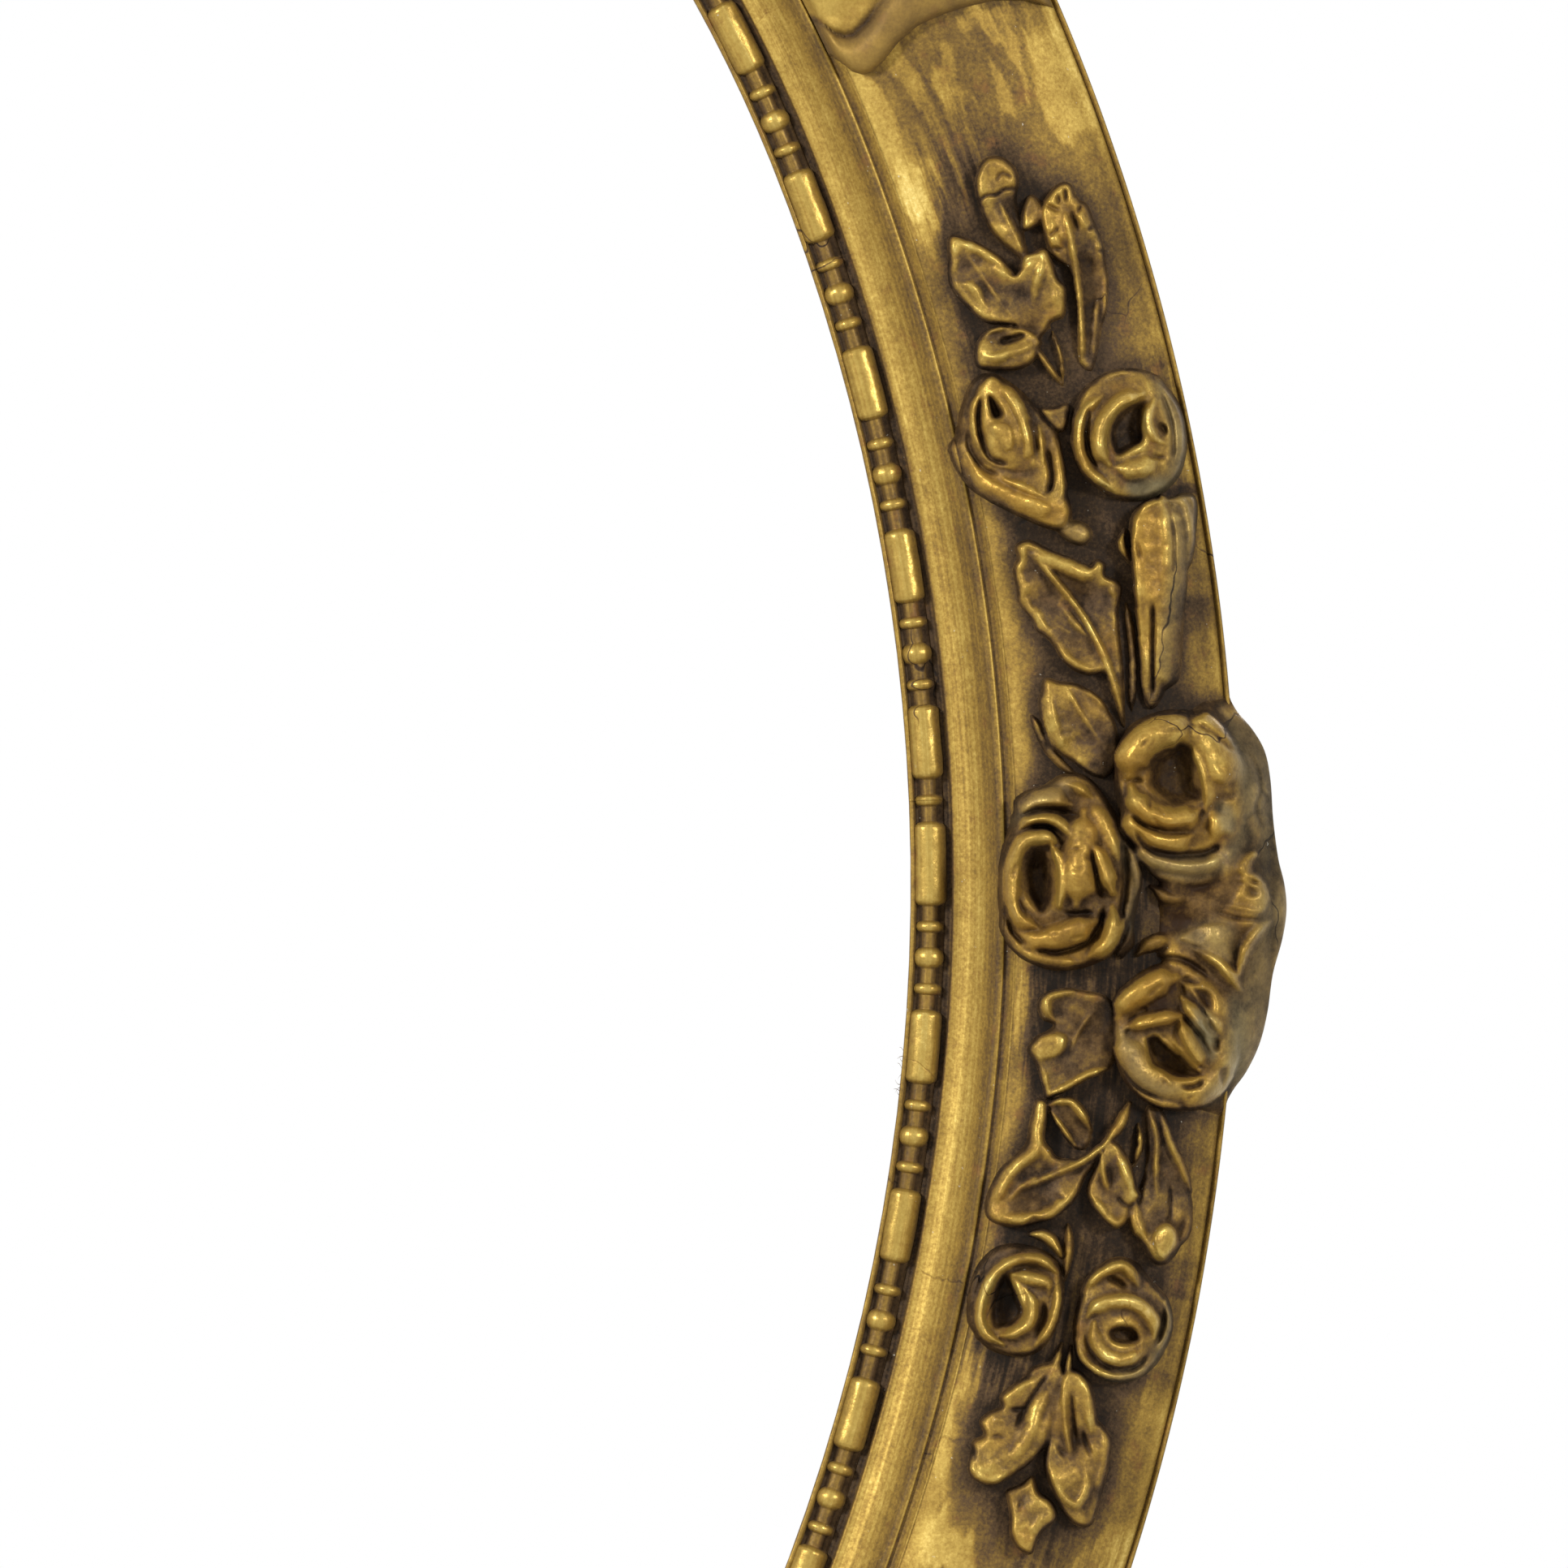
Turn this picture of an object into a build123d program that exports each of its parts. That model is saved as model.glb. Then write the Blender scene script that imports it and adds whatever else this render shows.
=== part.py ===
from build123d import *
import os
from math import asin, atan2, cos, degrees, hypot, pi, radians, sin, sqrt

# Oval frame, +X right, +Z up, the gilt front faces -Y; millimetres.
# The middle of the frame's box is the origin.

# Sight edge: an oval of eight tangent arcs
sight_half_width = 196.7
sight_half_height = 251.8
shoulder_radius = 239.0
side_arc_half_angle = 22.0
end_arc_half_angle = 40.0

# Moulding widths, outward from the sight edge
strip_width = 5.65
groove_width = 1.25
cove_width = 7.6
fillet_width = 0.85
cavetto_width = 2.25
panel_width = 34.4
quirk_width = 0.6
outer_lip_width = 1.2
wall_flare = 0.6

# Moulding heights above the back
rebate_width = 6.35
rebate_depth = 9.0
strip_seat_height = 12.3
strip_base = 0.5
sight_lip_width = 0.5
sight_lip_height = 1.3
cove_step = 1.8
cove_sag = 1.5
fillet_height = 20.6
fillet_drop = 0.7
cavetto_sag = 0.35
crown_inset = 11.4
crown_height = 23.1
panel_radius = 39.5
quirk_depth = 1.6
outer_lip_rise = 0.5
gesso = 1.0
fillet_gesso = 1.6
closeness = 1e-6

# Bead and reel strip
strip_units = 23
bar_length = 13.2
bar_radius = 2.45
disc_length = 1.7
disc_radius = 2.15
bead_length = 3.6
bead_radius = 2.3
strip_joint_rise = 13.8
strip_joint_gap = 6.5
disc_place_share = 0.27

# Splines in the carcass joints
spline_length = 26.0
spline_width = 18.0
spline_thickness = 4.0
spline_height = 5.5
glue_line = 0.1

# Garland
garland_half_length = 120.0
rose_radius = 11.6
rose_height = 12.4
rose_bed = 9.0
small_rose_radius = 8.0
small_rose_height = 8.6
leaf_thickness = 2.9
bud_radius = 6.4
calyx_radius = 5.2
mass_half_length = 29.0
mass_reach = 8.0
mass_low = 6.0
mass_high = 22.0
mass_taper = 16.0
mass_middle = -5.0
mass_inner_inset = 15.3

# Ribbon clasps on the shoulders
clasp_half_length = 66.0
clasp_thickness = 2.0
clasp_rim = 3.6
clasp_rim_width = 5.0
clasp_arch_radius = 25.7
clasp_arch_rise = 6.0
knot_half_length = 11.0
knot_thickness = 4.6

# Hangers: a strap plate, its knuckle and a ring that hangs from it
hanger_angle = 18.0
strap_width = 13.0
strap_length = 34.0
strap_thickness = 1.0
ring_wire_radius = 1.25
ring_half_width = 9.5
ring_clearance = 0.35
knuckle_wall = 1.0
knuckle_fit = 0.06
strap_screw_drop = 15.0
strap_screw_pitch = 11.0

# Turn buttons over the rebate
button_length = 32.0
button_width = 10.0
button_thickness = 1.6
button_reach = 18.5
button_fit = 0.05

# Round-head wood screws
screw_radius = 1.9
screw_depth = 11.0
screw_head_radius = 3.6
screw_head_height = 1.5
screw_slot_width = 0.8
screw_slot_depth = 0.7
screw_hole_gap = 0.05

overrun = 5.0

# Rose profile: shares of its radius and of its height
rose_outer_shares = [(1.0, 0.20), (0.86, 0.56)]
rose_inner_shares = [(0.80, 0.54), (0.76, 0.86), (0.56, 1.0)]
rose_rim_shares = [(0.46, 0.96), (0.40, 0.84)]
rose_heart_shares = [(0.30, 0.50), (0.0, 0.44)]
# Bud: its peak as a share of the half length, its lift as a share of its radius
bud_peak_share = 0.3
bud_lift_share = 0.1
# Calyx: shares of its half length and of its radius, from the mouth to the stem
calyx_profile_shares = [(-1.0, 0.55), (-0.7, 1.0), (0.0, 0.7), (1.0, 0.25)]
# The mass's straight inner side as a share of its length
mass_inner_share = 0.8
# Leaf outline: share of the length from base to tip, share of the half width
leaf_outline_shares = [(0.0, 0.12), (0.25, 0.85), (0.50, 1.0), (0.80, 0.62), (1.0, 0.0)]

# Garland places: share of the garland's half length, share of the panel's half width
large_rose_shares = {"upper": (0.113, 0.587), "inner": (0.010, -0.494), "lower": (-0.208, 0.570)}
large_rose_tip_shares = {"upper": (0.036, -0.03), "inner": (-0.010, -0.32), "lower": (-0.029, -0.01)}
small_rose_shares = {"upper": (0.604, 0.529), "tail_inner": (-0.598, -0.628), "tail_outer": (-0.613, 0.436)}
bud_shares = ((0.711, -0.651), (0.479, -0.093))
calyx_shares = ((0.505, 0.703), (0.240, 0.331))
# Each leaf: base, tip, half width as a share of its length
upper_leaf_shares = [((0.216, 0.076), (0.485, -0.727), 0.27),
                     ((0.128, -0.070), (0.286, -0.645), 0.34)]
lower_leaf_shares = [((-0.119, -0.035), (-0.306, -0.610), 0.26),
                     ((-0.356, 0.012), (-0.491, -0.930), 0.27),
                     ((-0.356, 0.012), (-0.311, -0.663), 0.30),
                     ((-0.359, -0.017), (-0.468, 0.262), 0.30),
                     ((-0.303, 0.488), (-0.505, 0.721), 0.28),
                     ((-0.494, -0.593), (-0.524, -0.238), 0.30)]
top_sprig_shares = [((0.840, 0.000), (1.022, -0.006), 0.24),
                    ((0.750, -0.200), (0.933, -0.651), 0.40),
                    ((0.740, -0.150), (0.890, 0.186), 0.40),
                    ((0.699, 0.151), (0.955, 0.558), 0.22),
                    ((0.772, -0.190), (0.759, -0.727), 0.34)]
tail_sprig_shares = [((-0.680, -0.157), (-0.853, -0.593), 0.34),
                     ((-0.686, -0.017), (-0.876, 0.576), 0.30),
                     ((-0.790, 0.000), (-0.929, 0.116), 0.26)]

# Derived marks across the moulding
groove_end = strip_width + groove_width
cove_end = groove_end + cove_width
fillet_end = cove_end + fillet_width
panel_start = fillet_end + cavetto_width
panel_end = panel_start + panel_width
quirk_end = panel_end + quirk_width
lip_end = quirk_end + outer_lip_width
wall_end = lip_end + wall_flare
crown_at = panel_start + crown_inset
panel_middle = (panel_start + panel_end) / 2
panel_half = panel_width / 2
ring_set_back = strap_thickness + ring_clearance + ring_wire_radius
knuckle_radius = ring_wire_radius + knuckle_fit + knuckle_wall
front_reach = crown_height + rose_height
rear_reach = ring_set_back + knuckle_radius
back_y = (front_reach - rear_reach) / 2


def arc_radii():
    """Side and end radii that make the tangent arcs meet the half width and half height."""
    side, end = radians(side_arc_half_angle), pi / 2 - radians(end_arc_half_angle)
    across = sight_half_width - shoulder_radius * (cos(side) - cos(end))
    up = sight_half_height - shoulder_radius * (sin(end) - sin(side))
    whole = (1 - cos(side)) * (1 - sin(end)) - cos(end) * sin(side)
    side_radius = (across * (1 - sin(end)) - cos(end) * up) / whole
    end_radius = ((1 - cos(side)) * up - sin(side) * across) / whole
    return side_radius, end_radius


def oval_arcs():
    """The eight arcs anticlockwise from 3 o'clock: centre x, centre z, radius, start, end."""
    side_radius, end_radius = arc_radii()
    turn, rest = side_arc_half_angle, 90 - end_arc_half_angle
    side_x, end_z = sight_half_width - side_radius, sight_half_height - end_radius
    step = side_radius - shoulder_radius
    shoulder_x = side_x + step * cos(radians(turn))
    shoulder_z = step * sin(radians(turn))
    arcs = [(side_x, 0.0, side_radius, -turn, turn),
            (shoulder_x, shoulder_z, shoulder_radius, turn, rest),
            (0.0, end_z, end_radius, rest, 180 - rest),
            (-shoulder_x, shoulder_z, shoulder_radius, 180 - rest, 180 - turn)]
    opposite = [(-x, -z, r, start + 180, end + 180) for x, z, r, start, end in arcs]
    return arcs + opposite


arcs = oval_arcs()


def arc_at(angle):
    """The arc that holds a normal angle, and that angle brought into its turn."""
    for x, z, r, start, end in arcs:
        for turn in (-360, 0, 360):
            if start <= angle + turn <= end:
                return x, z, r, angle + turn
    return arc_at(angle + closeness)


def length_to(angle, offset):
    """Length along the oval at an offset from the sight edge, from 3 o'clock to an angle."""
    total = 0.0
    for _, _, r, start, end in arcs:
        low, high = max(start, 0.0), min(end, angle)
        if high > low:
            total += (r + offset) * radians(high - low)
    return total


def angle_at(length, offset):
    """Normal angle at a length along the oval from 3 o'clock, at an offset."""
    if length < 0:
        return -angle_at(-length, offset)
    left = length
    for _, _, r, start, end in arcs:
        low = max(start, 0.0)
        span = (r + offset) * radians(end - low)
        if left <= span:
            return low + degrees(left / (r + offset))
        left -= span
    return 360 - side_arc_half_angle + degrees(left / (arcs[0][2] + offset))


def section_plane(arc_x, arc_z, angle):
    """Plane of a section: local x outward from the arc's centre, local y towards the front."""
    c, s = cos(radians(angle)), sin(radians(angle))
    return Plane(origin=(arc_x, back_y, arc_z), x_dir=(c, 0, s), z_dir=(s, 0, -c))


def band(section, first, last):
    """Turns a section of (offset, height) about each arc between two normal angles."""
    pieces = []
    for x, z, r, start, end in arcs:
        for turn in (-360, 0, 360):
            low, high = max(start + turn, first), min(end + turn, last)
            if high - low > closeness:
                face = section_plane(x, z, low) * Pos(r, 0) * section
                axis = Axis((x, 0, z), (0, -1, 0))
                pieces.append(revolve(face, axis=axis, revolution_arc=high - low))
    return pieces


def joined(pieces):
    """One solid from pieces that meet."""
    first, rest = pieces[0], pieces[1:]
    return first.fuse(*rest) if rest else first


def seat(angle, offset, height):
    """Plane on the moulding: local x outward, local y anticlockwise, local z to the front."""
    x, z, r, _ = arc_at(angle)
    c, s = cos(radians(angle)), sin(radians(angle))
    far = r + offset
    origin = (x + far * c, back_y - height, z + far * s)
    return Plane(origin=origin, x_dir=(c, 0, s), z_dir=(0, -1, 0))


def panel_height(offset, lift=0.0):
    """Height of the convex panel, or of a layer that lifts off it."""
    rise = sqrt((panel_radius + lift) ** 2 - (offset - crown_at) ** 2)
    return crown_height - panel_radius + rise


def panel_line(start, end, lift=0.0):
    """The panel's curve between two offsets."""
    middle = (start + end) / 2
    points = [(t, panel_height(t, lift)) for t in (start, middle, end)]
    return ThreePointArc(*points)


def loop(*parts):
    """A face from points and curves in order: a tuple is a corner, an edge is taken whole."""
    edges, here, first = [], None, None
    for part in parts:
        if isinstance(part, tuple):
            start, end = part, part
        else:
            start, end = part @ 0, part @ 1
            start, end = (start.X, start.Y), (end.X, end.Y)
        if here is not None and hypot(start[0] - here[0], start[1] - here[1]) > closeness:
            edges.append(Line(here, start))
        if not isinstance(part, tuple):
            edges.append(part)
        first = first or start
        here = end
    if hypot(first[0] - here[0], first[1] - here[1]) > closeness:
        edges.append(Line(here, first))
    return make_face(edges)


# Heights where the surfaces change
groove_floor = strip_seat_height + strip_base
cove_start_height = groove_floor + cove_step
cavetto_height = fillet_height - fillet_drop
panel_start_height = panel_height(panel_start)
panel_end_height = panel_height(panel_end)
quirk_floor = panel_end_height - quirk_depth
outer_lip_height = panel_end_height - outer_lip_rise
wood_cove_foot = groove_end + gesso
wood_cove_head = cove_end - gesso / 2


def cove_curve():
    """Concave sweep from the groove up to the fillet."""
    middle = ((groove_end + cove_end) / 2, (cove_start_height + fillet_height) / 2 - cove_sag)
    return ThreePointArc((groove_end, cove_start_height), middle, (cove_end, fillet_height))


def wood_cove_curve():
    """The wood's own cove under the gesso."""
    low, high = cove_start_height - gesso, fillet_height - fillet_gesso
    middle = ((wood_cove_foot + wood_cove_head) / 2, (low + high) / 2 - cove_sag)
    return ThreePointArc((wood_cove_foot, low), middle, (wood_cove_head, high))


def cavetto_curve():
    """Small hollow between the fillet and the panel."""
    middle = ((fillet_end + panel_start) / 2, (cavetto_height + panel_start_height) / 2 - cavetto_sag)
    return ThreePointArc((fillet_end, cavetto_height), middle, (panel_start, panel_start_height))


def wood_section():
    """Carcass: rebate behind the sight edge, stepped front under strip and gesso."""
    return loop((rebate_width, 0.0), (rebate_width, rebate_depth), (0.0, rebate_depth),
                (0.0, strip_seat_height), (wood_cove_foot, strip_seat_height), wood_cove_curve(),
                (panel_start, panel_height(panel_start, -gesso)),
                panel_line(panel_start, panel_end - gesso, -gesso),
                (panel_end - gesso, quirk_floor - gesso), (lip_end - gesso, quirk_floor - gesso),
                (wall_end - gesso, 0.0))


def cove_section():
    """Gilt gesso from the groove to the panel."""
    back = wood_cove_curve()
    return loop((strip_width, strip_seat_height), (strip_width, groove_floor),
                (groove_end, groove_floor), cove_curve(), (fillet_end, fillet_height),
                cavetto_curve(), (panel_start, panel_height(panel_start, -gesso)),
                Edge.make_three_point_arc(back @ 1, back @ 0.5, back @ 0),
                (wood_cove_foot, strip_seat_height))


def panel_section():
    """Gilt gesso on the convex panel."""
    return loop(panel_line(panel_start, panel_end, 0.0), (panel_end, quirk_floor),
                (panel_end, quirk_floor - gesso), (panel_end - gesso, quirk_floor - gesso),
                panel_line(panel_end - gesso, panel_start, -gesso))


def edge_section():
    """Gilt gesso on the quirk, the outer lip and the side wall."""
    return loop((panel_end, quirk_floor), (quirk_end, quirk_floor), (quirk_end, outer_lip_height),
                (lip_end, outer_lip_height), (wall_end, 0.0), (wall_end - gesso, 0.0),
                (lip_end - gesso, quirk_floor - gesso), (panel_end, quirk_floor - gesso))


def envelope_section(lowest):
    """Everything under the gilt surface, down to a height."""
    return loop((0.0, lowest), (0.0, groove_floor), (groove_end, groove_floor), cove_curve(),
                (fillet_end, fillet_height), cavetto_curve(), panel_line(panel_start, panel_end),
                (panel_end, quirk_floor), (quirk_end, quirk_floor), (quirk_end, outer_lip_height),
                (lip_end, outer_lip_height), (wall_end, 0.0), (wall_end, lowest))


def layer_section(thickness):
    """A layer of even thickness lying on the panel."""
    return loop(panel_line(panel_start, panel_end, 0.0), panel_line(panel_end, panel_start, thickness))


def near(section, angle, reach):
    """A short band of a section around one place, on the arc that holds it."""
    x, z, r, here = arc_at(angle)
    half = degrees(reach / r)
    face = section_plane(x, z, here - half) * Pos(r, 0) * section
    return revolve(face, axis=Axis((x, 0, z), (0, -1, 0)), revolution_arc=2 * half)


# Carcass

def spline_at(angle, gap=0.0):
    """Loose tongue across a joint between two segments."""
    place = seat(angle, (rebate_width + wall_end) / 2, spline_height)
    return place * Box(spline_width + 2 * gap, spline_length + 2 * gap, spline_thickness + 2 * gap)


def screw_at(place):
    """Round-head screw: local origin under the head, the shank runs into the wood along local z."""
    shank = Pos(0, 0, screw_depth / 2) * Cylinder(screw_radius, screw_depth)
    head = Pos(0, 0, -screw_head_height / 2) * Cylinder(screw_head_radius, screw_head_height)
    head = chamfer(head.edges().sort_by(Axis.Z)[:1], screw_head_height / 2)
    slot = Pos(0, 0, screw_slot_depth / 2 - screw_head_height)
    slot *= Box(2 * screw_head_radius + overrun, screw_slot_width, screw_slot_depth)
    return place * (shank + head - slot)


def rear_plane(x, z, stand_off):
    """Plane on the back: local z runs forward into the wood, local y up."""
    return Plane(origin=(x, back_y + stand_off, z), x_dir=(-1, 0, 0), z_dir=(0, -1, 0))


def hanger_places():
    """Pivot x and z of the two rings, right then left."""
    place = seat(hanger_angle, (rebate_width + wall_end) / 2, 0.0).origin
    return [(place.X, place.Z), (-place.X, place.Z)]


def strap_screws(x, z):
    """The two screws of one strap plate."""
    drops = (strap_screw_drop, strap_screw_drop + strap_screw_pitch)
    return [screw_at(rear_plane(x, z - drop, strap_thickness)) for drop in drops]


shoulder_angles = [(side_arc_half_angle + 90 - end_arc_half_angle) / 2]
shoulder_angles.append(180 - shoulder_angles[0])
shoulder_angles += [angle + 180 for angle in shoulder_angles]
button_pivot_offset = button_reach + sight_lip_width


def button_screw(angle):
    """The screw that one turn button swings on."""
    pivot = seat(angle, button_pivot_offset, 0.0).origin
    return screw_at(rear_plane(pivot.X, pivot.Z, button_thickness))


def screw_hole(screw_place, length):
    """Hole for a screw's shank."""
    return screw_place * Pos(0, 0, length / 2) * Cylinder(screw_radius + screw_hole_gap, length)


def wood_holes():
    """Holes in the carcass for every screw."""
    holes = []
    deep = screw_depth + screw_hole_gap
    for x, z in hanger_places():
        for drop in (strap_screw_drop, strap_screw_drop + strap_screw_pitch):
            holes.append(screw_hole(rear_plane(x, z - drop, strap_thickness), deep))
    for angle in shoulder_angles:
        pivot = seat(angle, button_pivot_offset, 0.0).origin
        holes.append(screw_hole(rear_plane(pivot.X, pivot.Z, button_thickness), deep))
    return holes


segment_names = ["right", "upper_right", "top", "upper_left", "left", "lower_left", "bottom",
                 "lower_right"]
joint_angles = [arc[4] for arc in arcs]


def carcass_segment(index):
    """One wooden segment with its spline slots and screw holes."""
    x, z, r, start, end = arcs[index]
    wood = band(wood_section(), start, end)[0]
    cutters = [spline_at(start, glue_line), spline_at(end, glue_line)]
    box = wood.bounding_box()
    for hole in wood_holes():
        centre = hole.center()
        if box.min.X < centre.X < box.max.X and box.min.Z < centre.Z < box.max.Z:
            cutters.append(hole)
    return wood.cut(*cutters)


# Bead and reel strip

strip_axis = sight_lip_width + bar_radius
strip_length_unit = (length_to(180, strip_axis) - strip_joint_gap - bar_length) / strip_units
strip_gap = strip_length_unit - bar_length


def half_round(radius):
    """Half disc on the strip's base, in offset and height."""
    top = ThreePointArc((strip_axis - radius, groove_floor), (strip_axis, groove_floor + radius),
                        (strip_axis + radius, groove_floor))
    return loop(top)


def turned(radius, start, length):
    """A half-round run of the strip between two lengths, on the arc at its middle."""
    middle = angle_at(start + length / 2, strip_axis)
    x, z, r, here = arc_at(middle)
    half = degrees(length / 2 / (r + strip_axis))
    face = section_plane(x, z, here - half) * Pos(r, 0) * half_round(radius)
    return revolve(face, axis=Axis((x, 0, z), (0, -1, 0)), revolution_arc=2 * half)


def strip_section():
    """The strip's thin base and its raised sight lip."""
    return loop((0.0, strip_seat_height), (0.0, groove_floor + sight_lip_height),
                (sight_lip_width, groove_floor + sight_lip_height),
                (sight_lip_width, groove_floor), (strip_width, groove_floor),
                (strip_width, strip_seat_height))


def strip(first_unit, last_unit):
    """Part of the upper strip: units of a bar, a disc, a bead and a disc."""
    origin = strip_joint_rise + strip_joint_gap / 2
    start = origin + first_unit * strip_length_unit
    stop = origin + last_unit * strip_length_unit
    if first_unit == 0:
        start -= strip_joint_gap / 2
    if last_unit > strip_units:
        stop = length_to(180, strip_axis) + strip_joint_rise
    base = band(strip_section(), angle_at(start, strip_axis), angle_at(stop, strip_axis))
    beads = []
    here = origin + first_unit * strip_length_unit
    for unit in range(first_unit, min(last_unit, strip_units + 1)):
        beads.append(turned(bar_radius, here, bar_length))
        after = here + bar_length
        if unit < strip_units:
            between = after + strip_gap / 2
            beads.append(turned(bead_radius, between - bead_length / 2, bead_length))
            for side in (-1, 1):
                disc = between + side * strip_gap * disc_place_share - disc_length / 2
                beads.append(turned(disc_radius, disc, disc_length))
        else:
            beads.append(turned(disc_radius, after + strip_joint_gap / 2 - disc_length / 2, disc_length))
        here += strip_length_unit
    return joined(base + beads)


# Ornaments

def station(place, centre):
    """Normal angle and offset of a place given in shares, on the garland about a centre angle."""
    along, across = place
    length = length_to(centre, panel_middle) + along * garland_half_length
    return angle_at(length, panel_middle), panel_middle + across * panel_half


def surface_height(offset):
    """Height of the panel, or of its edge where the offset lies outside it."""
    return panel_height(min(max(offset, panel_start), panel_end))


def rose_form(radius, height):
    """Turned rose: two swelling rings of petals round a hollow heart."""
    outer, inner, rim, heart = [[(across * radius, up * height) for across, up in shares] for shares in
                                (rose_outer_shares, rose_inner_shares, rose_rim_shares, rose_heart_shares)]
    face = loop((0.0, -rose_bed), ThreePointArc((radius, -rose_bed), *outer), ThreePointArc(*inner),
                ThreePointArc(inner[-1], *rim), *heart)
    return revolve(Plane.XZ * face, axis=Axis.Z)


def rose_at(centre, place, tip, radius, height):
    """A rose seated on the panel, leaning towards the side where its heart shows."""
    angle, offset = station(place, centre)
    lean_along = tip[0] * garland_half_length
    lean_across = tip[1] * panel_half
    tilt = Rot(X=-degrees(atan2(lean_along, 2 * height)), Y=degrees(atan2(lean_across, 2 * height)))
    rose = seat(angle, offset, surface_height(offset)) * tilt * rose_form(radius, height)
    return rose, angle


def seated(form, angle, reach):
    """Cuts away what lies inside the moulding."""
    return form - near(envelope_section(-overrun), angle, reach)


def local_ends(base, tip, centre):
    """Middle angle, and both ends of a piece in the seat's own plane."""
    (angle_a, offset_a), (angle_b, offset_b) = station(base, centre), station(tip, centre)
    angle = (angle_a + angle_b) / 2
    r = arc_at(angle)[2]
    ends = []
    for here, offset in ((angle_a, offset_a), (angle_b, offset_b)):
        turn = radians(here - angle)
        far = r + offset
        ends.append((far * cos(turn) - r - panel_middle, far * sin(turn)))
    return angle, ends


def leaf_at(centre, base, tip, width_share):
    """A leaf of even thickness that lies on the panel."""
    angle, (foot, point) = local_ends(base, tip, centre)
    dx, dy = point[0] - foot[0], point[1] - foot[1]
    length = hypot(dx, dy)
    half_width = width_share * length
    sides = []
    for side in (1, -1):
        row = []
        for along, across in leaf_outline_shares:
            out = side * across * half_width / length
            row.append((foot[0] + along * dx - out * dy, foot[1] + along * dy + out * dx))
        sides.append(row)
    points = sides[0] + sides[1][-2::-1]
    outline = make_face(Polyline(*points, close=True))
    column = seat(angle, panel_middle, 0.0) * extrude(outline, crown_height + overrun)
    return column & near(layer_section(leaf_thickness), angle, length)


def spindle_at(centre, base, tip, face, lift):
    """A turned form lying along the panel between two places."""
    angle, (foot, point) = local_ends(base, tip, centre)
    dx, dy = point[0] - foot[0], point[1] - foot[1]
    middle = panel_middle + (foot[0] + point[0]) / 2
    drop = panel_height(panel_middle + point[0]) - panel_height(panel_middle + foot[0])
    place = seat(angle, panel_middle, panel_height(middle) + lift)
    place = place * Pos((foot[0] + point[0]) / 2, (foot[1] + point[1]) / 2)
    place = place * Rot(Z=degrees(atan2(dy, dx))) * Rot(Y=-degrees(asin(drop / hypot(dx, dy))))
    turned_form = revolve(face, axis=Axis.X)
    return seated(place * turned_form, angle, hypot(dx, dy))


def span(base, tip, centre):
    """Length from base to tip."""
    _, (foot, point) = local_ends(base, tip, centre)
    return hypot(point[0] - foot[0], point[1] - foot[1])


def shoulder(end, peak, height, rising=True):
    """Arc between a point on the axis and a level peak."""
    reach = peak - end
    radius = (reach ** 2 + height ** 2) / (2 * height)
    half_turn = asin(reach / radius) / 2
    middle = (peak - radius * sin(half_turn), height - radius * (1 - cos(half_turn)))
    points = [(end, 0), middle, (peak, height)]
    return ThreePointArc(*(points if rising else points[::-1]))


def bud_at(centre):
    """Rose bud, fat near its top and pointed below."""
    length = span(*bud_shares, centre)
    half = length / 2
    peak = -half * bud_peak_share
    outline = loop(shoulder(-half, peak, bud_radius), shoulder(half, peak, bud_radius, False))
    return spindle_at(centre, *bud_shares, outline, bud_radius * bud_lift_share)


def calyx_at(centre):
    """Long trumpet calyx, wide at its mouth and running down to a stem."""
    length = span(*calyx_shares, centre)
    half = length / 2
    profile = [(along * half, out * calyx_radius) for along, out in calyx_profile_shares]
    face = loop((-half, 0.0), ThreePointArc(*profile[:3]), profile[3], (half, 0.0))
    return spindle_at(centre, *calyx_shares, face, 0.0)


def overhang_mass(centre):
    """Smooth mass behind the roses that stands out past the frame's edge."""
    middle = angle_at(length_to(centre, panel_middle) + mass_middle, panel_middle)
    place = seat(middle, wall_end, mass_low)
    reach = mass_half_length
    straight = mass_half_length * mass_inner_share
    bow = ThreePointArc((-quirk_width, -reach), (mass_reach, 0), (-quirk_width, reach))
    outline = loop((-mass_inner_inset, -straight), bow, (-mass_inner_inset, straight))
    return place * extrude(outline, mass_high - mass_low, taper=mass_taper)


def rose_cluster(centre):
    """Three large roses with the mass that carries them, one casting."""
    forms = [overhang_mass(centre)]
    for name, place in large_rose_shares.items():
        rose, _ = rose_at(centre, place, large_rose_tip_shares[name], rose_radius, rose_height)
        forms.append(rose)
    whole = joined(forms)
    angle = station((0, 0), centre)[0]
    return whole - near(envelope_section(-overrun), angle, garland_half_length / 2)


def small_roses(centre):
    """Three small roses, one above the cluster and two below it."""
    roses = []
    for place in small_rose_shares.values():
        rose, angle = rose_at(centre, place, (0.0, 0.0), small_rose_radius, small_rose_height)
        roses.append(seated(rose, angle, 2 * small_rose_radius))
    return roses


def leaves(centre, shares):
    """A group of leaves that grow together."""
    return joined([leaf_at(centre, base, tip, width) for base, tip, width in shares])


def boxes_meet(a, b):
    """Whether two boxes overlap, seen from the front."""
    return a.min.X < b.max.X and b.min.X < a.max.X and a.min.Z < b.max.Z and b.min.Z < a.max.Z


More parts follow.
